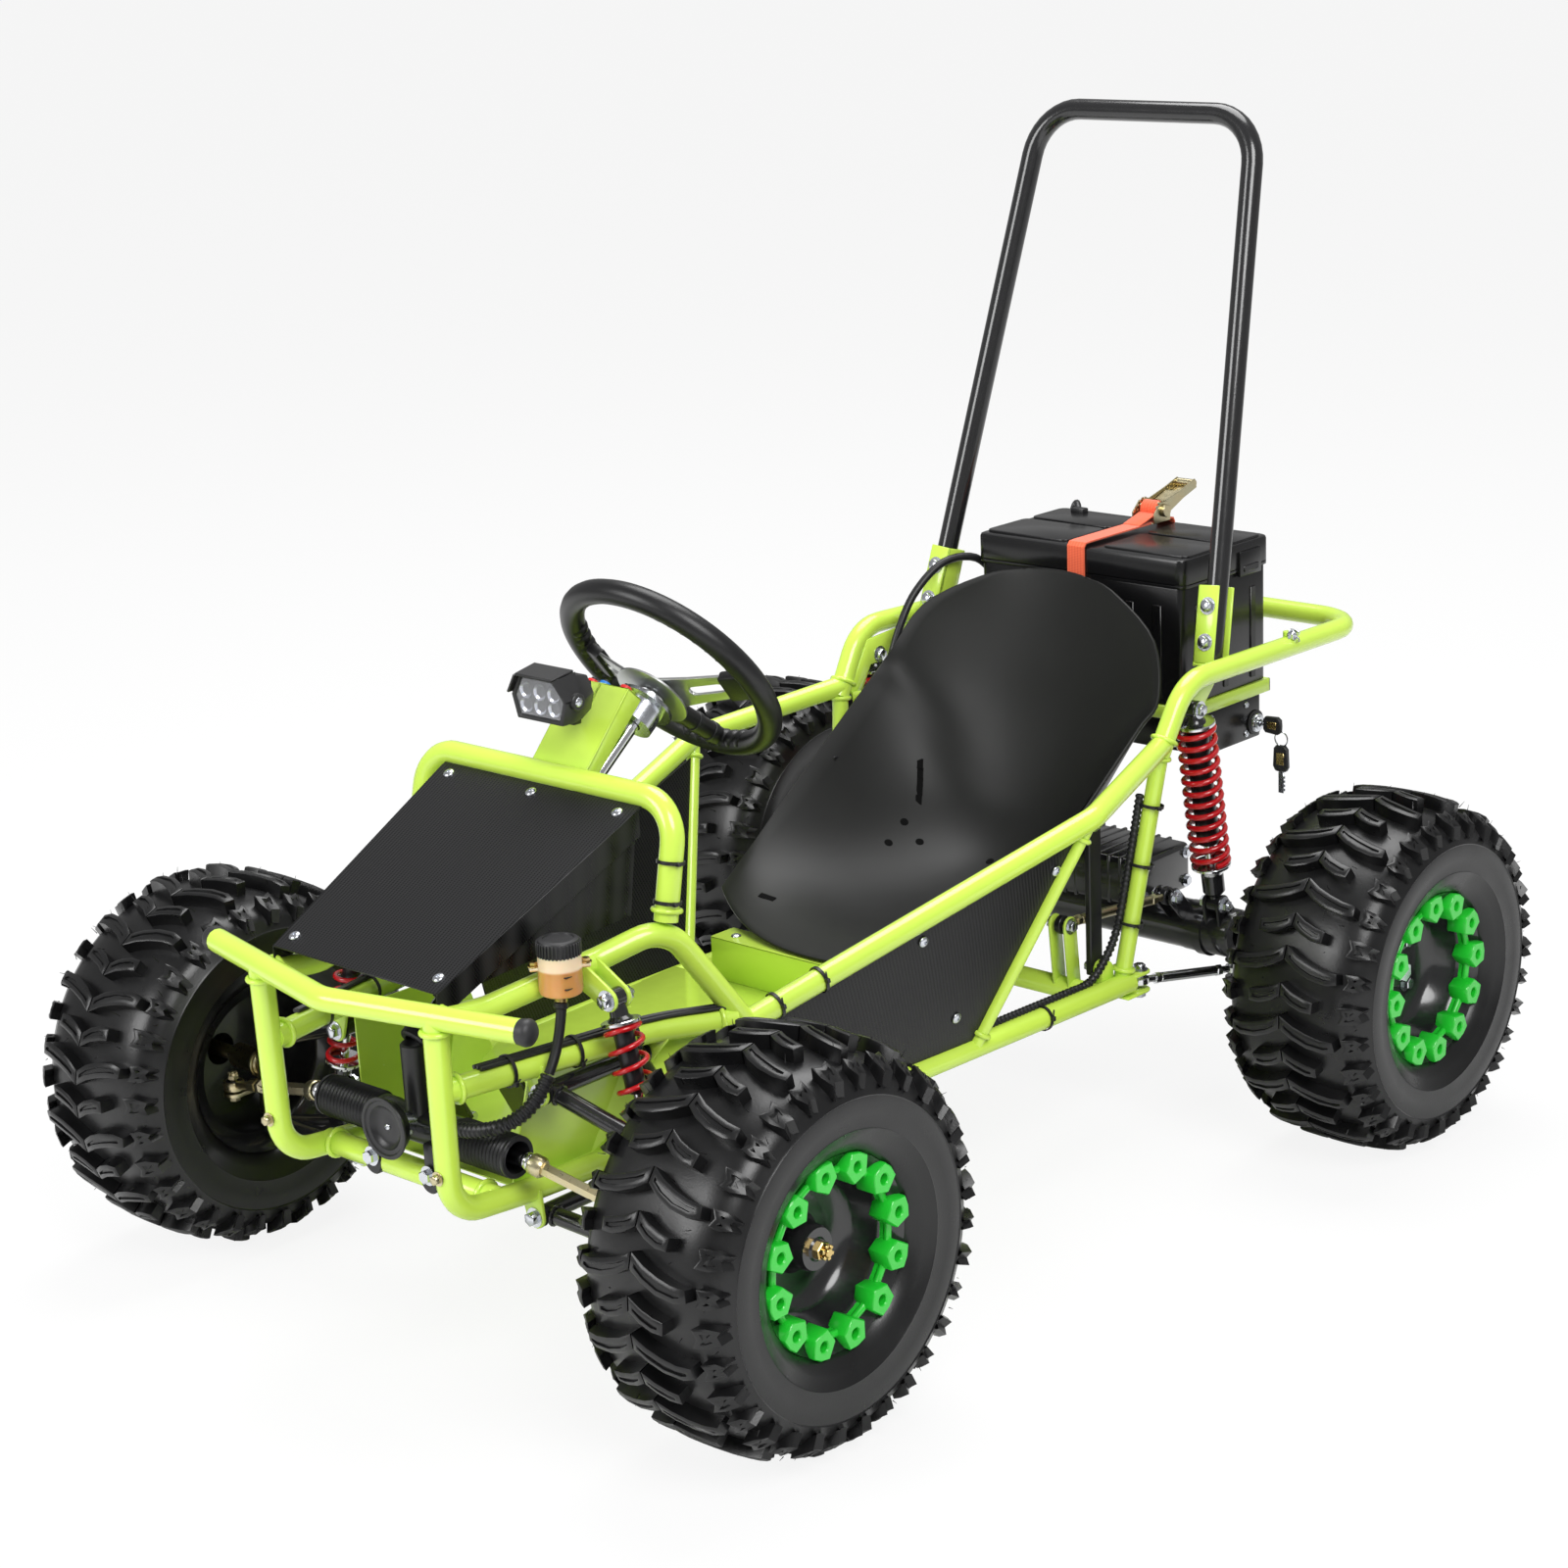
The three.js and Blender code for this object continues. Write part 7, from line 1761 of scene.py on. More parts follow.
nose = bmesh.new()
nose_rise = (Vector(NOSE_REAR) - Vector(NOSE_FRONT))
nose_rise.x = 0
nose_rise.normalize()
nose_normal = Vector((0, -nose_rise.z, nose_rise.y))
lap = nose_rise * 0.004
corners = [Vector(NOSE_FRONT), Vector(NOSE_REAR) + lap, sided(NOSE_REAR, -1) + lap, sided(NOSE_FRONT, -1)]
add_plate(nose, corners, -nose_normal * SHEET, edge=0.0006)
for side_name, side in both_sides():
    front = sided(NOSE_FRONT, side)
    rear = sided(NOSE_REAR, side)
    drop = Vector((0, 0, -NOSE_FLANGE))
    inward = Vector((-side * SHEET, 0, 0))
    add_plate(nose, [front, rear, rear + drop, front + drop], inward, edge=0.0004)
    inset = Vector((-side * 0.004, 0, -SHEET))
    wall = [sided((0.113, -0.668, 0.412), side), sided((0.140, -0.440, 0.440), side), rear + inset, front + inset]
    add_plate(nose, [wall[0], wall[1], wall[2]], inward, edge=0)
    add_plate(nose, [wall[0], wall[2], wall[3]], inward, edge=0)
for place in ((0.1225, -0.434, 0.541), (-0.1225, -0.434, 0.541), (0, -0.434, 0.5413), (0.1055, -0.664, 0.432), (-0.1055, -0.664, 0.432)):
    add_dome(nose, Vector(place) + nose_normal * 0.0002, nose_normal, 0.0062, 0.0032, 1)
piece("nose_sheet", nose, [panel_film, bright_zinc], "chassis", ["nose_panel"])


# %% [markdown]
# A side panel is bent to follow two rails that are not parallel, so it twists a little. A flat grid is
# warped onto the four corners, then solidify gives it the thickness of the sheet.


# %% Side panels
PANEL_FOOT = ((0.206, -0.318, 0.189), (0.216, -0.005, 0.190))
PANEL_TOP = ((0.205, -0.348, 0.312), (0.287, 0.090, 0.410))
PANEL_SCREWS = ((0.525, 0.888), (0.965, 0.870), (0.800, 0.225))


def panel_point(along, rise):
    foot = Vector(PANEL_FOOT[0]).lerp(Vector(PANEL_FOOT[1]), along)
    top = Vector(PANEL_TOP[0]).lerp(Vector(PANEL_TOP[1]), along)
    return foot.lerp(top, rise)


def warped_grid(columns, rows, place):
    """A grid of squares whose points are moved by a function of their shares along both sides."""
    grid = bmesh.new()
    bmesh.ops.create_grid(grid, x_segments=columns, y_segments=rows, size=0.5)
    for vert in grid.verts:
        vert.co = place(vert.co.x + 0.5, vert.co.y + 0.5)
    return grid


for side_name, side in both_sides():
    panel = warped_grid(12, 6, panel_point)
    bmesh.ops.recalc_face_normals(panel, faces=panel.faces[:])
    inner = panel.faces[0].normal.x > 0
    bmesh.ops.solidify(panel, geom=panel.faces[:], thickness=SHEET if inner else -SHEET)
    bmesh.ops.scale(panel, vec=(side, 1, 1), verts=panel.verts[:])
    shape = bmesh.new()
    joined(shape, panel, None, 0)
    for along, rise in PANEL_SCREWS:
        here = panel_point(along, rise)
        normal = (panel_point(along + 0.01, rise) - here).cross(panel_point(along, rise + 0.01) - here)
        normal = -normal if normal.x < 0 else normal
        normal.normalize()
        place = here + normal * 0.0009
        add_dome(shape, sided(place, side), sided(normal, side), 0.0062, 0.0034, 1)
    piece(f"side_sheet_{side_name}", shape, [side_panel_film, bright_zinc], "chassis", [f"side_panel_{side_name}"])
print("panels ready")

# %% [markdown]
# ## Seat
#
# The seat is one moulded bucket of satin black plastic. It is given by cross rows from the front lip to
# the top of the back: each row has a middle and an edge, and the row climbs from one to the other with a
# steady power, so it is flat in the middle and steep at the sides. A smooth curve through the rows fills
# in the rest. The grid gets a wall and its rim is rounded. The bolt holes and the slots are not cut: thin
# near-black discs and rows of thin near-black blocks on the surface are painted shade in their place.

# %% Bucket seat
SEAT_ROWS = (
    ((0, -0.032, 0.252), (0.200, 0.038, 0.278)),
    ((0, 0.028, 0.262), (0.200, 0.075, 0.303)),
    ((0, 0.118, 0.258), (0.200, 0.130, 0.341)),
    ((0, 0.208, 0.262), (0.200, 0.185, 0.379)),
    ((0, 0.278, 0.280), (0.200, 0.235, 0.413)),
    ((0, 0.328, 0.315), (0.200, 0.280, 0.444)),
    ((0, 0.358, 0.365), (0.200, 0.318, 0.470)),
    ((0, 0.383, 0.430), (0.200, 0.352, 0.494)),
    ((0, 0.403, 0.505), (0.170, 0.384, 0.552)),
    ((0, 0.420, 0.573), (0.094, 0.412, 0.592)),
    ((0, 0.428, 0.605), (0.046, 0.426, 0.602)),
)
SEAT_WALL = 0.004
SEAT_CURVE = 2.2
SEAT_HOLES = ((-0.55, 3.97), (-0.53, 3.4), (-0.42, 3.83), (0.42, 3.83), (0.53, 3.4), (0.55, 3.97), (0.03, 4.07))
SEAT_SLOTS = (((0.65, 5.3), (0.55, 4.47)), ((0.70, 0.86), (0.60, 1.0)))


def along_rows(share, which):
    """A point on the smooth curve through the middles or the edges of the rows."""
    last = len(SEAT_ROWS) - 1
    number = min(int(share), last - 1)
    local = share - number
    points = [Vector(SEAT_ROWS[min(max(number + step, 0), last)][which]) for step in (-1, 0, 1, 2)]
    before, start, end, after = points
    part = (end - before) * local * (1 - local) ** 2 - (after - start) * local**2 * (1 - local)
    return start * (1 - local) ** 2 * (1 + 2 * local) + end * local**2 * (3 - 2 * local) + part * 0.5


def seat_point(across, rows):
    """A point of the seat, from -1 to 1 across it and counted in rows along it."""
    middle = along_rows(rows, 0)
    edge = along_rows(rows, 1)
    rise = abs(across) ** SEAT_CURVE
    return Vector((edge.x * across, middle.y + (edge.y - middle.y) * rise, middle.z + (edge.z - middle.z) * rise))


def seat_place(along, rise):
    return seat_point(2 * along - 1, rise * (len(SEAT_ROWS) - 1))


seat = warped_grid(28, 44, seat_place)
bmesh.ops.recalc_face_normals(seat, faces=seat.faces[:])
middle_face = min(seat.faces, key=lambda face: (face.calc_center_median() - Vector((0, 0.15, 0.26))).length)
if middle_face.normal.z < 0:
    bmesh.ops.reverse_faces(seat, faces=seat.faces[:])
bmesh.ops.solidify(seat, geom=seat.faces[:], thickness=SEAT_WALL)
rim_edges = [edge for edge in seat.edges if len(edge.link_faces) == 2 and edge.calc_face_angle() > 0.9]
rounded_edges(seat, rim_edges, 0.0016, 2)
shape = bmesh.new()
joined(shape, seat, None, 0)
# Painted shade: each bolt hole is a thin near-black disc set on the surface, not a cut hole.
for across, rows in SEAT_HOLES:
    here = seat_point(across, rows)
    normal = (seat_point(across + 0.01, rows) - here).cross(seat_point(across, rows + 0.05) - here).normalized()
    normal = -normal if normal.z < 0 else normal
    hole = [(0, 0.0006), (0.0048, 0.0006), (0.0052, 0.0002), (0.0052, -0.001)]
    lathe(shape, hole, facing(here, normal), 20, 1)
for side in (-1, 1):
    # Painted shade: each slot is five thin near-black blocks on the surface, not a cut slot.
    for (start_across, start_rows), (end_across, end_rows) in SEAT_SLOTS:
        start = seat_point(side * start_across, start_rows)
        end = seat_point(side * end_across, end_rows)
        middle = seat_point(side * (start_across + end_across) / 2, (start_rows + end_rows) / 2)
        ahead = (end - start).normalized()
        slope = seat_point(side * start_across, start_rows + 0.2) - seat_point(side * start_across, start_rows)
        edgeward = seat_point(side * (start_across - 0.05), start_rows) - start
        normal = slope.cross(edgeward).normalized()
        normal = -normal if normal.z < 0 else normal
        across_way = ahead.cross(normal).normalized()
        slot_turn = Matrix((across_way, ahead, across_way.cross(ahead))).transposed().to_4x4()
        for share in (0.1, 0.3, 0.5, 0.7, 0.9):
            here = seat_point(
                side * (start_across + (end_across - start_across) * share),
                start_rows + (end_rows - start_rows) * share,
            )
            slot_size = (0.0075, (end - start).length * 0.22, 0.0012)
            add_box(shape, (0, 0, 0), slot_size, Matrix.Translation(here) @ slot_turn, 0, 1, 1)
    add_box(shape, (side * 0.190, 0.240, 0.29275), (0.008, 0.022, 0.1985), edge=0.0012, segments=1, index=2)
    add_bolt(shape, (side * 0.1938, 0.240, 0.372), (side, 0, 0), 0.0115, 0.005, 3)
# The second finish is the painted shade of the holes and slots.
seat_finish = [seat_plastic, painted_hole_shade, black_iron, bright_zinc]
piece("seat_bucket", shape, seat_finish, "chassis", ["seat"], math.radians(30))
print("seat ready")

# %% [markdown]
# ## Steering wheel
#
# The rim is a thick ring of foamed rubber with a slight swell where the hands go. Two brushed spokes with
# a long slot run to rubber blocks on the rim, and the third is wrapped in black. A bolt circle and a nut
# hold the wheel to its bright shaft.

# %% Steering wheel and shaft
RIM_RADIUS = 0.1205
GRIP_RADIUS = 0.0132
HUB_DROP = 0.038
SPOKE_PLATE = 0.0036

wheel = bmesh.new()
wheel_axes = Matrix((Vector((1, 0, 0)), COLUMN_WAY.cross(Vector((1, 0, 0))), COLUMN_WAY)).transposed().to_4x4()
wheel_frame = Matrix.Translation(WHEEL_CENTRE) @ wheel_axes
first_ring = [wheel_frame @ Vector((RIM_RADIUS * math.cos(a), RIM_RADIUS * math.sin(a), 0)) for a in
              [2 * math.pi * step / 96 for step in range(96)]]
add_tube(wheel, first_ring, GRIP_RADIUS, closed=True, resolution=6)
for start, count in ((math.radians(-62), 7), (math.radians(158), 7), (math.radians(72), 6)):
    for number in range(count):
        angle = start + number * math.radians(7.5)
        bump = wheel_frame @ Vector(((RIM_RADIUS - 0.0035) * math.cos(angle), (RIM_RADIUS - 0.0035) * math.sin(angle), 0))
        bmesh_bump = bmesh.new()
        bmesh.ops.create_uvsphere(bmesh_bump, u_segments=14, v_segments=8, radius=0.0122)
        joined(wheel, bmesh_bump, Matrix.Translation(bump), 0)
hub_profile = [(0, -HUB_DROP), (0.040, -HUB_DROP), (0.042, -HUB_DROP + 0.001), (0.042, -HUB_DROP + 0.003)]
hub_profile += [(0.040, -HUB_DROP + 0.004), (0.020, -HUB_DROP + 0.004), (0.018, -HUB_DROP + 0.007), (0, -HUB_DROP + 0.007)]
lathe(wheel, hub_profile, wheel_frame, 48, 1)
add_hex(wheel, wheel_frame @ Vector((0, 0, -HUB_DROP + 0.007)), COLUMN_WAY, 0.017, 0.008, 3)
for number in range(6):
    angle = math.radians(30 + 60 * number)
    place = wheel_frame @ Vector((0.031 * math.cos(angle), 0.031 * math.sin(angle), -HUB_DROP + 0.004))
    add_dome(wheel, place, COLUMN_WAY, 0.0042, 0.0024, 3)
for heading in (0, math.pi):
    way = Vector((math.cos(heading), math.sin(heading), HUB_DROP / RIM_RADIUS))
    across = Vector((-math.sin(heading), math.cos(heading), 0))
    root = Vector((0, 0, -HUB_DROP))

    def on_spoke(share, offset):
        return wheel_frame @ (root + way * RIM_RADIUS * share + across * offset)

    outline = [on_spoke(0.1, -0.024), on_spoke(0.42, -0.0195), on_spoke(0.97, -0.0155)]
    outline += [on_spoke(0.97, 0.0155), on_spoke(0.42, 0.0195), on_spoke(0.1, 0.024)]
    slot_loop = []
    for end_share, turn_start in ((0.66, -90), (0.42, 90)):
        for step in range(7):
            angle = math.radians(turn_start + 30 * step)
            slot_loop.append(on_spoke(end_share + 0.0062 / RIM_RADIUS * math.cos(angle), 0.0062 * math.sin(angle)))
    add_plate(wheel, outline, COLUMN_WAY * SPOKE_PLATE, 1, 0.0005, holes=[(slot_loop, None)])
    block_frame = wheel_frame @ Matrix.Translation(root + way * RIM_RADIUS * 0.83)
    tilt = Matrix((way.normalized(), across, way.normalized().cross(across))).transposed().to_4x4()
    add_box(wheel, (0, 0, 0.0018), (0.030, 0.036, 0.013), block_frame @ tilt, 0.003, 2, 0)
down_way = Vector((0, 1, HUB_DROP / RIM_RADIUS))
root = Vector((0, 0, -HUB_DROP + 0.002))
spoke_start = wheel_frame @ (root + down_way * RIM_RADIUS * 0.2)
spoke_end = wheel_frame @ (root + down_way * RIM_RADIUS * 0.98)
add_tube(wheel, [spoke_start.lerp(spoke_end, step / 6) for step in range(7)], 0.0105, 0, resolution=5)
for share in (0.22, 0.5, 0.78):
    place = spoke_start.lerp(spoke_end, share)
    band = [(0.0105, -0.004), (0.0117, -0.0032), (0.0117, 0.0032), (0.0105, 0.004)]
    lathe(wheel, band, facing(place, spoke_end - spoke_start), 24, 2)
grip_finish = [grip_rubber, brushed_plate, hose_rubber, bright_zinc]
piece("steering_wheel_rim", wheel, grip_finish, "steering", ["steering_wheel"])

shaft = bmesh.new()
rod(shaft, on_column(0.0383), on_column(0.480), 0.008, 28)
flange = [(0.008, 0), (0.017, 0), (0.0175, 0.0008), (0.0175, 0.0036), (0.0165, 0.0044), (0.008, 0.0044)]
lathe(shaft, flange + flange[:1], facing(on_column(0.0432), COLUMN_WAY), 32)
piece("steering_shaft_steel", shaft, polished_steel, "steering", ["steering_shaft"])
print("steering wheel ready")

# %% [markdown]
# ## Lamp and brake fluid
#
# The lamp is a small moulded housing with a peak over a window with six bright reflectors. The brake fluid
# sits in an amber tank, clear enough to show its level, under a ribbed cap. A hose runs down from it
# to the brake cylinder behind the rack and is protected by a corrugated sleeve in its lower part.

# %% Headlight
LAMP_CENTRE = Vector((0, -0.391, 0.634))
LAMP_HALF = Vector((0.040, 0.025, 0.024))
LAMP_REAR_SCALE = 0.72


def lamp_loop(y, scale, grow=0.0):
    """The outline of the lamp at one depth: wide at mid height and narrower at the top and bottom."""
    width = (LAMP_HALF.x + grow) * scale
    height = (LAMP_HALF.z + grow) * scale
    shares = ((1, 0), (0.7, 1), (-0.7, 1), (-1, 0), (-0.82, -1), (0.82, -1))
    return [Vector((width * x, y, LAMP_CENTRE.z + height * z)) for x, z in shares]


lamp = bmesh.new()
housing = bmesh.new()
depths = ((-0.4155, 0.90), (-0.4155, 1.0), (-0.400, 1.0), (-0.386, 0.94), (-0.366, LAMP_REAR_SCALE))
for number in range(len(depths) - 1):
    near = lamp_loop(*depths[number])
    far = lamp_loop(*depths[number + 1])
    for index in range(6):
        after = (index + 1) % 6
        corners = [near[index], near[after], far[after], far[index]]
        part = bmesh.new()
        verts = [bmesh.ops.create_vert(part, co=corner)["vert"][0] for corner in corners]
        bmesh.ops.contextual_create(part, geom=verts)
        joined(housing, part, None, 0)
for y, scale in (depths[0], depths[-1]):
    part = bmesh.new()
    verts = [bmesh.ops.create_vert(part, co=corner)["vert"][0] for corner in lamp_loop(y, scale)]
    bmesh.ops.contextual_create(part, geom=verts)
    joined(housing, part, None, 0)
bmesh.ops.remove_doubles(housing, verts=housing.verts[:], dist=1e-5)
bmesh.ops.recalc_face_normals(housing, faces=housing.faces[:])
front_face = [face for face in housing.faces if len(face.verts) == 6 and face.calc_center_median().y < -0.41]
bmesh.ops.inset_region(housing, faces=front_face, thickness=0.004, depth=-0.0035)
rounded_edges(housing, [edge for edge in housing.edges if edge.calc_face_angle(0) > 0.5], 0.0012, 2)
joined(lamp, housing, None, 0)
for side_name, side in both_sides():
    for height in (-0.0075, 0.0075):
        for across in (-0.020, 0, 0.020):
            if side > 0:
                cup = [(0.0088, 0.0012), (0.0074, 0.0006), (0.0030, -0.0028), (0.0016, -0.0030), (0, -0.0016)]
                place = Vector((across, -0.4125, LAMP_CENTRE.z + height - 0.001))
                lathe(lamp, cup, facing(place, (0, -1, 0)), 20, 1)
    ear = sided((0.0385, -0.402, 0.634), side)
    rod(lamp, ear, ear + Vector((side * 0.0052, 0, 0)), 0.009, 24, 0, 0.001)
    add_dome(lamp, ear + Vector((side * 0.005, 0, 0)), (side, 0, 0), 0.005, 0.002, 3)
window = bmesh.new()
add_plate(window, [Vector((p.x * 0.84, -0.4142, LAMP_CENTRE.z + (p.z - LAMP_CENTRE.z) * 0.78)) for p in lamp_loop(0, 1)],
          (0, 0.0008, 0), edge=0)
joined(lamp, window, None, 2)
visor = [Vector((x, -0.4225, 0.6585 - abs(x) * 0.1)) for x in (-0.0265, 0.0265)]
visor += [Vector((x, -0.392, 0.6605)) for x in (0.0285, -0.0285)]
add_plate(lamp, visor, (0, 0, 0.0028), 0, 0.0009)
for side in (-1, 1):
    wing = [Vector((side * 0.0265, -0.4225, 0.656)), Vector((side * 0.0405, -0.4195, 0.636))]
    wing += [Vector((side * 0.0405, -0.398, 0.636)), Vector((side * 0.0285, -0.392, 0.6605))]
    add_plate(lamp, [wing[0], wing[1], wing[2]], (side * 0.0018, 0, 0.001), 0, 0)
    add_plate(lamp, [wing[0], wing[2], wing[3]], (side * 0.0018, 0, 0.001), 0, 0)
for number in range(7):
    add_box(lamp, (-0.021 + number * 0.007, -0.3655, 0.634), (0.0022, 0.006, 0.022), edge=0.0006, segments=1)
add_box(lamp, (0, -0.373, 0.609), (0.020, 0.012, 0.020), edge=0.002)
piece("headlight_housing", lamp, [lamp_plastic, lamp_mirror, lamp_lens, bright_zinc], "chassis", ["headlight"])

# %% Brake fluid tank and hose
TANK_FOOT = Vector((0.162, -0.560, 0.399))
TANK_HEIGHT = 0.040
HOSE_ROUTE = (
    (0.164, -0.562, 0.400), (0.166, -0.566, 0.380), (0.169, -0.577, 0.350), (0.170, -0.592, 0.325),
    (0.165, -0.606, 0.303), (0.155, -0.620, 0.288), (0.138, -0.633, 0.278), (0.112, -0.640, 0.271),
    (0.085, -0.640, 0.266), (0.0586, -0.634, 0.258),
)


def smooth_line(points, step):
    """A smooth curve through the points, given as places at nearly equal steps."""
    points = [Vector(point) for point in points]
    line = []
    for number in range(len(points) - 1):
        start = points[number]
        end = points[number + 1]
        before = points[number - 1] if number else start * 2 - end
        after = points[number + 2] if number + 2 < len(points) else end * 2 - start
        count = max(1, round((end - start).length / step))
        for index in range(count):
            t = index / count
            bend = (end - before) * t * (1 - t) ** 2 - (after - start) * t * t * (1 - t)
            line.append(start * (1 - t) ** 2 * (1 + 2 * t) + end * t * t * (3 - 2 * t) + bend * 0.5)
    line.append(points[-1])
    return line


def add_sleeve(shape, line, low, high, index=0, sides=12):
    """A corrugated sleeve: a tube that is wide and narrow by turns along its line."""
    rings = []
    for number, place in enumerate(line):
        way = line[min(number + 1, len(line) - 1)] - line[max(number - 1, 0)]
        part = bmesh.new()
        bmesh.ops.create_circle(part, segments=sides, radius=high if number % 4 in (1, 2) else low)
        turn = Vector((0, 0, 1)).rotation_difference(way).to_matrix().to_4x4()
        bmesh.ops.transform(part, matrix=Matrix.Translation(place) @ turn, verts=part.verts[:])
        rings.append(part)
    tube = bmesh.new()
    loops = []
    for part in rings:
        before = set(tube.edges)
        joined(tube, part, None, 0)
        loops.append([edge for edge in tube.edges if edge not in before])
    for near, far in zip(loops, loops[1:]):
        bmesh.ops.bridge_loops(tube, edges=near + far)
    bmesh.ops.recalc_face_normals(tube, faces=tube.faces[:])
    joined(shape, tube, None, index)


tank = bmesh.new()
tank_profile = [(0, 0), (0.0185, 0), (0.0205, 0.0012), (0.0215, 0.004), (0.0215, 0.0245), (0.0222, 0.0255)]
tank_profile += [(0.0222, 0.0285), (0.0215, 0.0295), (0.0212, TANK_HEIGHT), (0, TANK_HEIGHT)]
lathe(tank, tank_profile, Matrix.Translation(TANK_FOOT), 40, 0)
cap_foot = TANK_FOOT + Vector((0, 0, TANK_HEIGHT - 0.001))
cap_profile = [(0, 0), (0.0205, 0), (0.0205, 0.0145), (0.0195, 0.0158), (0.0155, 0.0166), (0.0150, 0.0152), (0, 0.0150)]
lathe(tank, cap_profile, Matrix.Translation(cap_foot), 40, 1)
for number in range(36):
    angle = 2 * math.pi * number / 36
    place = cap_foot + Vector((0.0208 * math.cos(angle), 0.0208 * math.sin(angle), 0.0074))
    add_box(tank, (0, 0, 0), (0.0026, 0.0018, 0.0136), Matrix.Translation(place) @ Matrix.Rotation(angle, 4, "Z"), 0.0003, 1, 1)
for height in (0.010, 0.022):
    add_box(tank, TANK_FOOT + Vector((0.0195, -0.0085, height)), (0.003, 0.008, 0.0008), edge=0, index=1)
for turn in (0.9, 0.9 + math.pi):
    way = Vector((math.cos(turn), math.sin(turn), 0))
    frame_lug = Matrix.Translation(TANK_FOOT + way * 0.024 + Vector((0, 0, 0.0270))) @ Matrix.Rotation(turn, 4, "Z")
    add_box(tank, (0, 0, 0), (0.011, 0.011, 0.004), frame_lug, 0.001, 1, 0)
    add_bolt(tank, TANK_FOOT + way * 0.0252 + Vector((0, 0, 0.029)), (0, 0, 1), 0.0072, 0.0036, 2)
outlet = TANK_FOOT + Vector((0.002, -0.002, 0))
rod(tank, outlet, outlet - Vector((-0.0004, 0.0016, 0.008)), 0.0062, 20, 2)
rod(tank, outlet - Vector((-0.0004, 0.0016, 0.008)), outlet - Vector((-0.0010, 0.0032, 0.014)), 0.0074, 20, 3)
hose = smooth_line(HOSE_ROUTE, 0.0014)
bare = round(len(hose) * 0.34)
add_tube(tank, hose[: bare + 2 : 3], 0.0052, 3, resolution=4)
add_sleeve(tank, hose[bare:], 0.0064, 0.0078, 3)
tail = hose[-1]
rod(tank, tail, tail + (tail - hose[-6]).normalized() * 0.006, 0.0058, 18, 2)
tank_finish = [reservoir_amber, cap_plastic, brass, hose_rubber]
piece("brake_fluid_tank", tank, tank_finish, "chassis", ["brake_reservoir"])
print("tank and hose ready")

# %% [markdown]
# ## Battery and control box
#
# A box with a lid holds the battery behind the seat, in a steel tray. An orange ratchet strap goes round
# it, with the spare webbing wound on its spool. Below it hangs the flat box of the motor control with the
# key switch in its left side, and two keys hang on a wire ring.

# %% Battery box, lid and strap
LID_LOW = 0.5903
LID_TOP = 0.6283
LID_CORNER = 0.012
STRAP_HALF = 0.0125
STRAP_THICK = 0.0018


def rounded_box(shape, low, high, corner, index=0, edge=0.0015):
    """A box with round upright corners and a small round edge at its top and bottom."""
    centre = (Vector(low) + Vector(high)) / 2
    size = Vector(high) - Vector(low)
    part = bmesh.new()
    bmesh.ops.create_cube(part, size=1)
    bmesh.ops.scale(part, vec=size, verts=part.verts[:])
    upright = [e for e in part.edges if abs(e.verts[0].co.z - e.verts[1].co.z) > size.z / 2]
    rounded_edges(part, upright, corner, 4)
    flat = [e for e in part.edges if abs(e.verts[0].co.z - e.verts[1].co.z) < 1e-6 and e.calc_face_angle(0) > 1]
    rounded_edges(part, flat, edge, 2)
    joined(shape, part, Matrix.Translation(centre), index)


battery = bmesh.new()
box_low = Vector(BATTERY_LOW)
box_high = Vector((BATTERY_HIGH[0], BATTERY_HIGH[1], LID_LOW))
rounded_box(battery, box_low + Vector((0.003, 0.003, 0)), box_high - Vector((0.003, 0.003, 0)), 0.010)
for side in (-1, 1):
    for y in (0.500, 0.556, 0.612):
        add_box(battery, (side * 0.1508, y, 0.512), (0.0032, 0.010, 0.112), edge=0.0008, segments=1)
for x in (-0.115, -0.075, 0.075, 0.115):
    for y, way in ((0.4694, -1), (0.6426, 1)):
        add_box(battery, (x, y, 0.512), (0.012, 0.0032, 0.112), edge=0.0008, segments=1)
piece("battery_case", battery, [box_plastic], "chassis", ["battery_box"])

lid = bmesh.new()
lid_low = Vector((-0.154, 0.467, LID_LOW))
lid_high = Vector((0.154, 0.645, LID_TOP - 0.003))
rounded_box(lid, lid_low, lid_high, LID_CORNER, 0, 0.004)
rounded_box(lid, lid_low + Vector((0, 0, 0)), Vector((0.154, 0.645, LID_LOW + 0.006)), LID_CORNER, 0, 0.001)
for side in (-1, 1):
    rounded_box(lid, (side * 0.088 - 0.062, 0.480, LID_TOP - 0.005), (side * 0.088 + 0.062, 0.560, LID_TOP - 0.0008), 0.010, 0, 0.001)
    rounded_box(lid, (side * 0.088 - 0.062, 0.568, LID_TOP - 0.005), (side * 0.088 + 0.062, 0.634, LID_TOP - 0.0008), 0.010, 0, 0.001)
    add_box(lid, (side * 0.1548, 0.600, 0.600), (0.005, 0.044, 0.030), edge=0.0015, segments=2)
    add_box(lid, (side * 0.1566, 0.600, 0.594), (0.004, 0.030, 0.008), edge=0.001, segments=1)
cable_line = smooth_line(((-0.120, 0.628, 0.6255), (-0.132, 0.640, 0.634), (-0.146, 0.650, 0.622), (-0.156, 0.652, 0.590),
                          (-0.158, 0.640, 0.540), (-0.157, 0.600, 0.480), (-0.150, 0.560, 0.436), (-0.142, 0.550, 0.424)), 0.006)
add_tube(lid, cable_line, 0.0042, 1, resolution=3)
add_box(lid, (-0.116, 0.624, 0.6285), (0.020, 0.012, 0.008), edge=0.002, index=1)
piece("battery_cover", lid, [box_plastic, hose_rubber], "chassis", ["battery_lid"])

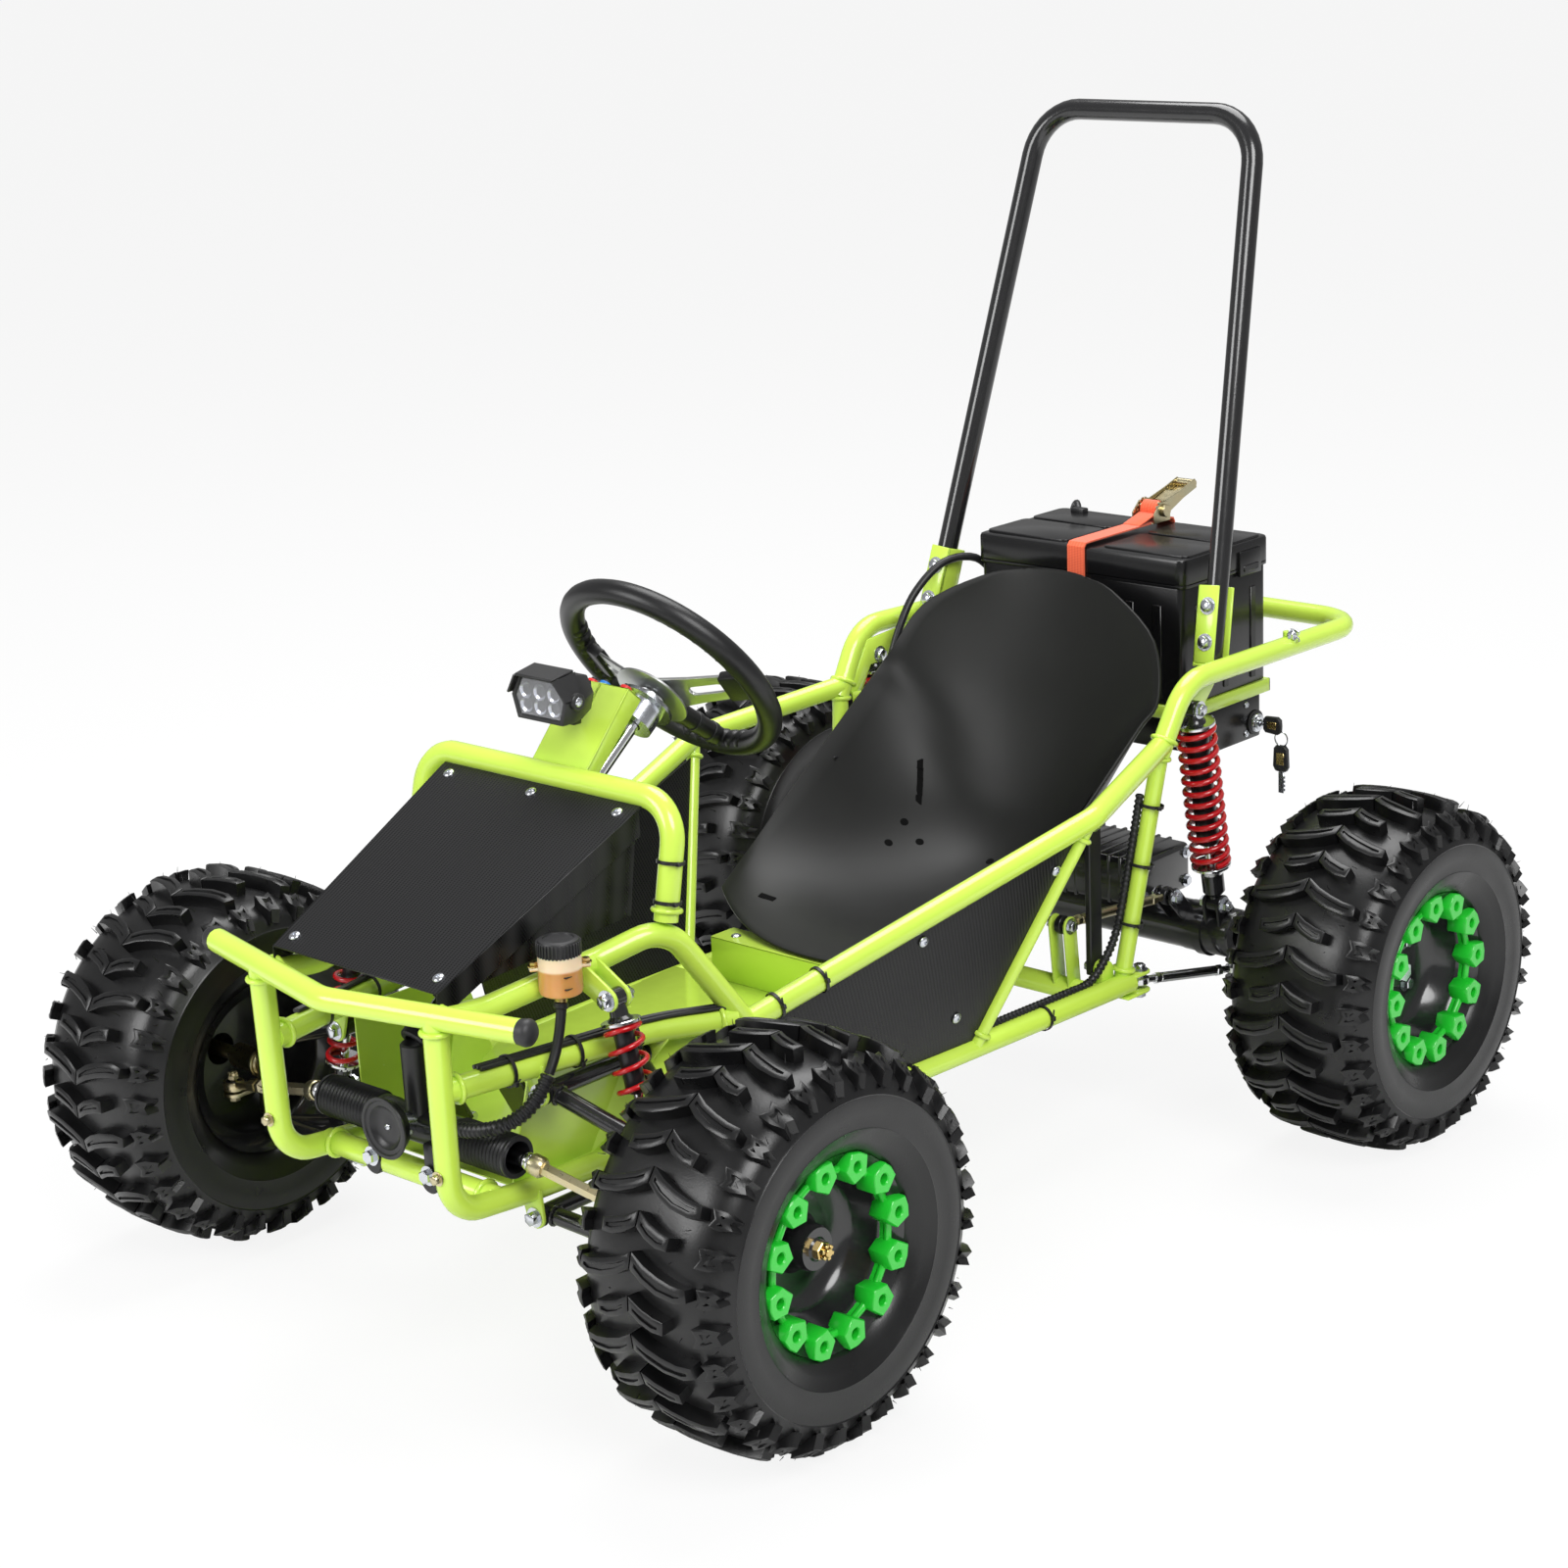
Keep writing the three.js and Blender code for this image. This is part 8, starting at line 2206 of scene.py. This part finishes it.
strap = bmesh.new()
strap_line = ((0, 0.4658, 0.4545), (0, 0.4658, 0.600), (0, 0.4661, 0.6255), (0, 0.4695, 0.6293), (0, 0.480, 0.6297),
              (0, 0.560, 0.6297), (0, 0.6365, 0.6297), (0, 0.6440, 0.6290), (0, 0.6462, 0.6250), (0, 0.6462, 0.600), (0, 0.6462, 0.4545))
strip = bmesh.new()
edge_points = [Vector((-STRAP_HALF, y, z)) for _, y, z in strap_line]
verts = [bmesh.ops.create_vert(strip, co=point)["vert"][0] for point in edge_points]
edges = [bmesh.ops.contextual_create(strip, geom=pair)["edges"][0] for pair in zip(verts, verts[1:])]
grown = bmesh.ops.extrude_edge_only(strip, edges=edges)
moved = [item for item in grown["geom"] if isinstance(item, bmesh.types.BMVert)]
bmesh.ops.translate(strip, vec=(2 * STRAP_HALF, 0, 0), verts=moved)
bmesh.ops.recalc_face_normals(strip, faces=strip.faces[:])
outward = sum((face.normal.dot(face.calc_center_median() - Vector((0, 0.556, 0.54))) for face in strip.faces))
if outward < 0:
    bmesh.ops.reverse_faces(strip, faces=strip.faces[:])
bmesh.ops.solidify(strip, geom=strip.faces[:], thickness=-STRAP_THICK)
joined(strap, strip, None, 0)
spool = Vector((0, 0.6201, 0.6436))
roll_profile = [(0, -STRAP_HALF), (0.0100, -STRAP_HALF), (0.0112, -STRAP_HALF + 0.001)]
roll_profile += [(0.0112, STRAP_HALF - 0.001), (0.0100, STRAP_HALF), (0, STRAP_HALF)]
lathe(strap, roll_profile, facing(spool, (1, 0, 0)), 28, 0)
flat_lead = [Vector((x, 0.609, 0.6395)) for x in (-STRAP_HALF, STRAP_HALF)]
flat_lead += [Vector((x, 0.576, 0.6308)) for x in (STRAP_HALF, -STRAP_HALF)]
add_plate(strap, flat_lead, (0, 0.0002, STRAP_THICK), 0, 0.0003)
for side in (-1, 1):
    cheek = []
    for y, z in ((0.5990, 0.6300), (0.6325, 0.6300), (0.6325, 0.6480), (0.6260, 0.6545), (0.6130, 0.6545), (0.5990, 0.6420)):
        cheek.append(Vector((side * 0.0150, y, z)))
    add_plate(strap, cheek, (side * 0.0018, 0, 0), 1, 0.0004)
    rod(strap, spool + Vector((side * 0.0160, 0, 0)), spool + Vector((side * 0.0215, 0, 0)), 0.0078, 18, 1, 0.0008)
add_box(strap, (0, 0.6155, 0.6306), (0.030, 0.034, 0.0014), edge=0.0004, segments=1, index=1)
for number in range(14):
    angle = 2 * math.pi * number / 14
    for side in (-1, 1):
        place = spool + Vector((side * 0.0138, 0.0118 * math.cos(angle), 0.0118 * math.sin(angle)))
        add_box(strap, (0, 0, 0), (0.0016, 0.0038, 0.0030), Matrix.Translation(place) @ Matrix.Rotation(angle, 4, "X"), 0, 1, 1)
piece("ratchet_strap", strap, [strap_webbing, yellow_zinc], "chassis", ["battery_strap"])

handle = bmesh.new()
lever = Vector((0, math.cos(0.3), math.sin(0.3)))
lever_up = Vector((0, -math.sin(0.3), math.cos(0.3)))
for side in (-1, 1):
    bar = []
    for share, height in ((-0.10, 0.009), (0.25, 0.0075), (0.62, 0.006), (0.99, 0.006), (1.0, 0.003), (0.99, -0.006), (0.6, -0.006), (0.2, -0.009), (-0.10, -0.009)):
        bar.append(spool + lever * 0.074 * share + lever_up * height + Vector((side * 0.0120, 0, 0)))
    add_plate(handle, bar, (side * 0.0018, 0, 0), 0, 0.0004)
    rod(handle, spool + Vector((side * 0.0119, 0, 0)), spool + Vector((side * 0.0140, 0, 0)), 0.0085, 24)
grip_end = spool + lever * 0.0715
rod(handle, grip_end - Vector((0.013, 0, 0)), grip_end + Vector((0.013, 0, 0)), 0.0050, 18)
cross = [spool + lever * 0.074 * share + Vector((x, 0, 0)) - lever_up * 0.0045 for share, x in ((0.36, -0.012), (0.36, 0.012), (0.92, 0.012), (0.92, -0.012))]
add_plate(handle, cross, lever_up * 0.0016, 0, 0.0003)
pawl = [spool + lever * 0.074 * share + Vector((x, 0, 0)) + lever_up * 0.001 for share, x in ((0.26, -0.011), (0.26, 0.011), (0.60, 0.011), (0.60, -0.011))]
add_plate(handle, pawl, lever_up * 0.0018, 0, 0.0003)
piece("ratchet_lever", handle, yellow_zinc, "ratchet_handle", ["ratchet_handle"])
print("battery ready")

# %% Control box and key
CONTROL_LOW = (-0.150, 0.515, 0.3784)
CONTROL_HIGH = (0.150, 0.632, 0.4314)
LOCK = Vector((0.150, 0.61796, 0.39748))
KEY_RING = Vector((0.1882, 0.61796, 0.382))

control = bmesh.new()
rounded_box(control, CONTROL_LOW, CONTROL_HIGH, 0.006, 0, 0.002)
for side in (-1, 1):
    for y in (0.527, 0.600):
        for z in (0.387, 0.423):
            add_dome(control, (side * 0.150, y, z), (side, 0, 0), 0.0042, 0.0022, 1)
barrel = [(0, -0.006), (0.0115, -0.006), (0.0115, 0.0045), (0.0105, 0.0062), (0.0080, 0.0066), (0.0075, 0.008), (0.0046, 0.008)]
barrel += [(0.0046, -0.002), (0, -0.002)]
lathe(control, barrel, facing(LOCK, (1, 0, 0)), 32, 1)
collar = [(0.0115, 0.0002), (0.0150, 0.0002), (0.0155, 0.0010), (0.0150, 0.0022), (0.0115, 0.0030)]
lathe(control, collar, facing(LOCK, (1, 0, 0)), 32, 2)
for number in range(11):
    add_box(control, (-0.10 + 0.02 * number, 0.634, 0.405), (0.003, 0.006, 0.046), edge=0.0006, segments=1, index=0)
piece("control_case", control, [box_plastic, bright_zinc, cap_plastic], "chassis", ["controller_box"])

key = bmesh.new()
rod(key, LOCK + Vector((0.0005, 0, 0)), LOCK + Vector((0.0145, 0, 0)), 0.0035, 16, 1)
head_middle = Vector((0.176, LOCK.y, LOCK.z))


def key_head(middle, long_way, short_way):
    outline = []
    for long_share, short_share in ((-1, -0.55), (-0.75, -0.9), (0.6, -1), (0.95, -0.7), (1, 0), (0.95, 0.7), (0.6, 1), (-0.75, 0.9), (-1, 0.55)):
        outline.append(middle + long_way * long_share + short_way * short_share - Vector((0, 0.003, 0)))
    add_plate(key, outline, (0, 0.006, 0), 0, 0.0012)


key_head(head_middle, Vector((0.0128, 0, 0)), Vector((0, 0, 0.011)))
add_box(key, head_middle, (0.014, 0.0068, 0.010), edge=0.001, segments=1, index=2)
spare_way = Vector((0.12, 0, -1)).normalized()
spare_side = Vector((1, 0, 0.12)).normalized()
spare_head = Vector((0.1882, LOCK.y, 0.3576))
key_head(spare_head, Vector((0, 0, -0.0165)), Vector((0.0108, 0, 0)))
add_box(key, spare_head, (0.012, 0.0068, 0.016), edge=0.001, segments=1, index=2)
add_box(key, (0.1882, LOCK.y, 0.3275), (0.0076, 0.0018, 0.026), edge=0.0004, segments=1, index=1)
for number in range(4):
    add_box(key, (0.1925, LOCK.y, 0.3345 - number * 0.0052), (0.0028, 0.0016, 0.0026), edge=0, index=1)
ring_line = [KEY_RING + Vector((0.009 * math.cos(a), 0, 0.009 * math.sin(a))) for a in [2 * math.pi * step / 40 for step in range(40)]]
add_tube(key, ring_line, 0.0009, 1, closed=True, resolution=2)
piece("ignition_keys", key, [cap_plastic, bright_zinc, brass], "ignition_key", ["ignition_key"])
print("control box ready")

# %% [markdown]
# ## Cables and pedals
#
# A corrugated sleeve with the motor cables runs from the loop down to the lower rail. Thinner cables follow
# the middle rail, and black ties hold them at steps. Each pedal is a plate with cross ridges on a cross pin.

# %% Wiring, ties and pedals
LOOM_ROUTE = (
    (0.223, 0.286, 0.400), (0.2186, 0.278, 0.350), (0.2125, 0.2685, 0.290), (0.208, 0.259, 0.244),
    (0.208, 0.240, 0.218), (0.2098, 0.205, 0.1965), (0.209, 0.160, 0.1951), (0.208, 0.105, 0.1958),
    (0.2067, 0.045, 0.1966), (0.2052, -0.024, 0.1975),
)
TIE_WIDTH = 0.0036


def add_tie(shape, place, way, radius, tail_way):
    """A cable tie: a thin band round the tube, a small block and a cut-off tail."""
    half = TIE_WIDTH / 2
    band = [(radius, -half), (radius + 0.0013, -half), (radius + 0.0013, half), (radius, half), (radius, -half)]
    lathe(shape, band, facing(place, way), 20)
    out = Vector(tail_way)
    out = (out - out.project(Vector(way))).normalized()
    block_place = Vector(place) + out * (radius + 0.0022)
    add_box(shape, (0, 0, 0), (0.0052, 0.0052, 0.0042), facing(block_place, way), 0.0006, 1)
    side_way = out.cross(Vector(way)).normalized()
    rod(shape, block_place, block_place + side_way * 0.010 + out * 0.003, 0.0009, 6)


wiring = bmesh.new()
add_sleeve(wiring, smooth_line(LOOM_ROUTE, 0.0016), 0.0040, 0.0052)
piece("cable_sleeve", wiring, hose_rubber, "chassis", ["wiring_loom"])

for name, side, width in (("brake_pedal", 1, 0.046), ("throttle_pedal", -1, 0.034)):
    pedal = bmesh.new()
    heel = Vector((side * 0.062, -0.500, 0.2023))
    toe = Vector((side * 0.062, -0.548, 0.290))
    up = (toe - heel).normalized()
    normal = Vector((0, up.z, -up.y))
    half = Vector((width / 2, 0, 0))
    outline = [heel - half, heel + half, toe + half, toe - half]
    add_plate(pedal, outline, -normal * 0.005, 0, 0.0008)
    for number in range(6):
        middle = heel + up * (0.034 + number * 0.0115) + normal * 0.0008
        turn = Matrix((Vector((1, 0, 0)), up, Vector((1, 0, 0)).cross(up))).transposed().to_4x4()
        add_box(pedal, (0, 0, 0), (width - 0.006, 0.004, 0.0026), Matrix.Translation(middle) @ turn, 0.0006, 1)
    rod(pedal, heel - half * 1.0, heel + half * 1.0, 0.005, 18, 1)
    piece(f"{name}_plate", pedal, [black_coat, bright_zinc], name, [name])
print("cables and pedals ready")

# %% [markdown]
# Three thin cables leave the battery, follow the rails of the right side of the frame and reach the pedals
# and the column. On the real kart they are pulled tight with a black tie every hand's width, which is
# also what keeps them off the hot and the moving parts. They are rubber tubes along smooth curves.

# %% Cables and ties along the frame
CABLE_RADIUS = 0.0024

run_front, run_knee, run_end = [Vector(point) for point in MID_RAIL]
TIED_RUNS = (
    (LOWER_RAIL[2], LOWER_RAIL[3], (0.28, 0.36, 0.74)),
    (UPRIGHT[1], UPRIGHT[0], (0.25, 0.5, 0.75)),
    (SIDE_RAIL[0], SIDE_RAIL[1], (0.08, 0.2)),
    (HOOP[0], HOOP[1], (0.16, 0.5)),
)

cables = bmesh.new()
for side in (1, -1):
    for number in range(3 if side > 0 else 2):
        around = 0.35 - 0.34 * number
        lift = Vector((0, 0, math.cos(around))) * (TUBE + CABLE_RADIUS)
        out = Vector((side * math.sin(around), 0, 0)) * (TUBE + CABLE_RADIUS)
        route = [sided(run_front.lerp(run_knee, share), side) + lift + out for share in (0.16, 0.4, 0.65, 0.9)]
        route += [sided(run_knee.lerp(run_end, share), side) + lift + out for share in (0.2, 0.55, 0.9)]
        add_tube(cables, smooth_line(route, 0.012), CABLE_RADIUS, 0, resolution=2)
    for share in (0.3, 0.62, 0.9):
        place = sided(run_front.lerp(run_knee, share), side) + Vector((0, 0, 0.0022))
        add_tie(cables, place, sided(run_knee - run_front, side), TUBE + 0.0029, (side, 0, -0.6))
for start, end, shares in TIED_RUNS:
    for share in shares:
        place = Vector(start).lerp(Vector(end), share)
        add_tie(cables, place, Vector(end) - Vector(start), TUBE + 0.0007, (1, -0.3, 0.2))
behind = smooth_line(((-0.150, 0.505, 0.560), (-0.166, 0.480, 0.590), (-0.184, 0.440, 0.590), (-0.196, 0.400, 0.560),
                      (-0.200, 0.372, 0.520), (-0.204, 0.352, 0.470)), 0.008)
add_tube(cables, behind, 0.0050, 0, resolution=3)
wing = Vector((0.2357, 0.560, 0.512))
rod(cables, wing, wing + Vector((0, 0, 0.022)), 0.0052, 16, 1)
add_bolt(cables, wing + Vector((0.0052, 0, 0.0175)), (1, 0, 0), 0.010, 0.005, 2)
for lift in (-0.5, 0.5):
    turn = Matrix.Translation(wing + Vector((0.0130, 0, 0.0175 + lift * 0.009))) @ Matrix.Rotation(lift * 0.6, 4, "Y")
    add_box(cables, (0, 0, 0), (0.0080, 0.0022, 0.0060), turn, 0.0009, 2, 2)
piece("cables_and_ties", cables, [hose_rubber, lime_coat, bright_zinc], "chassis", [])
print("cables ready")
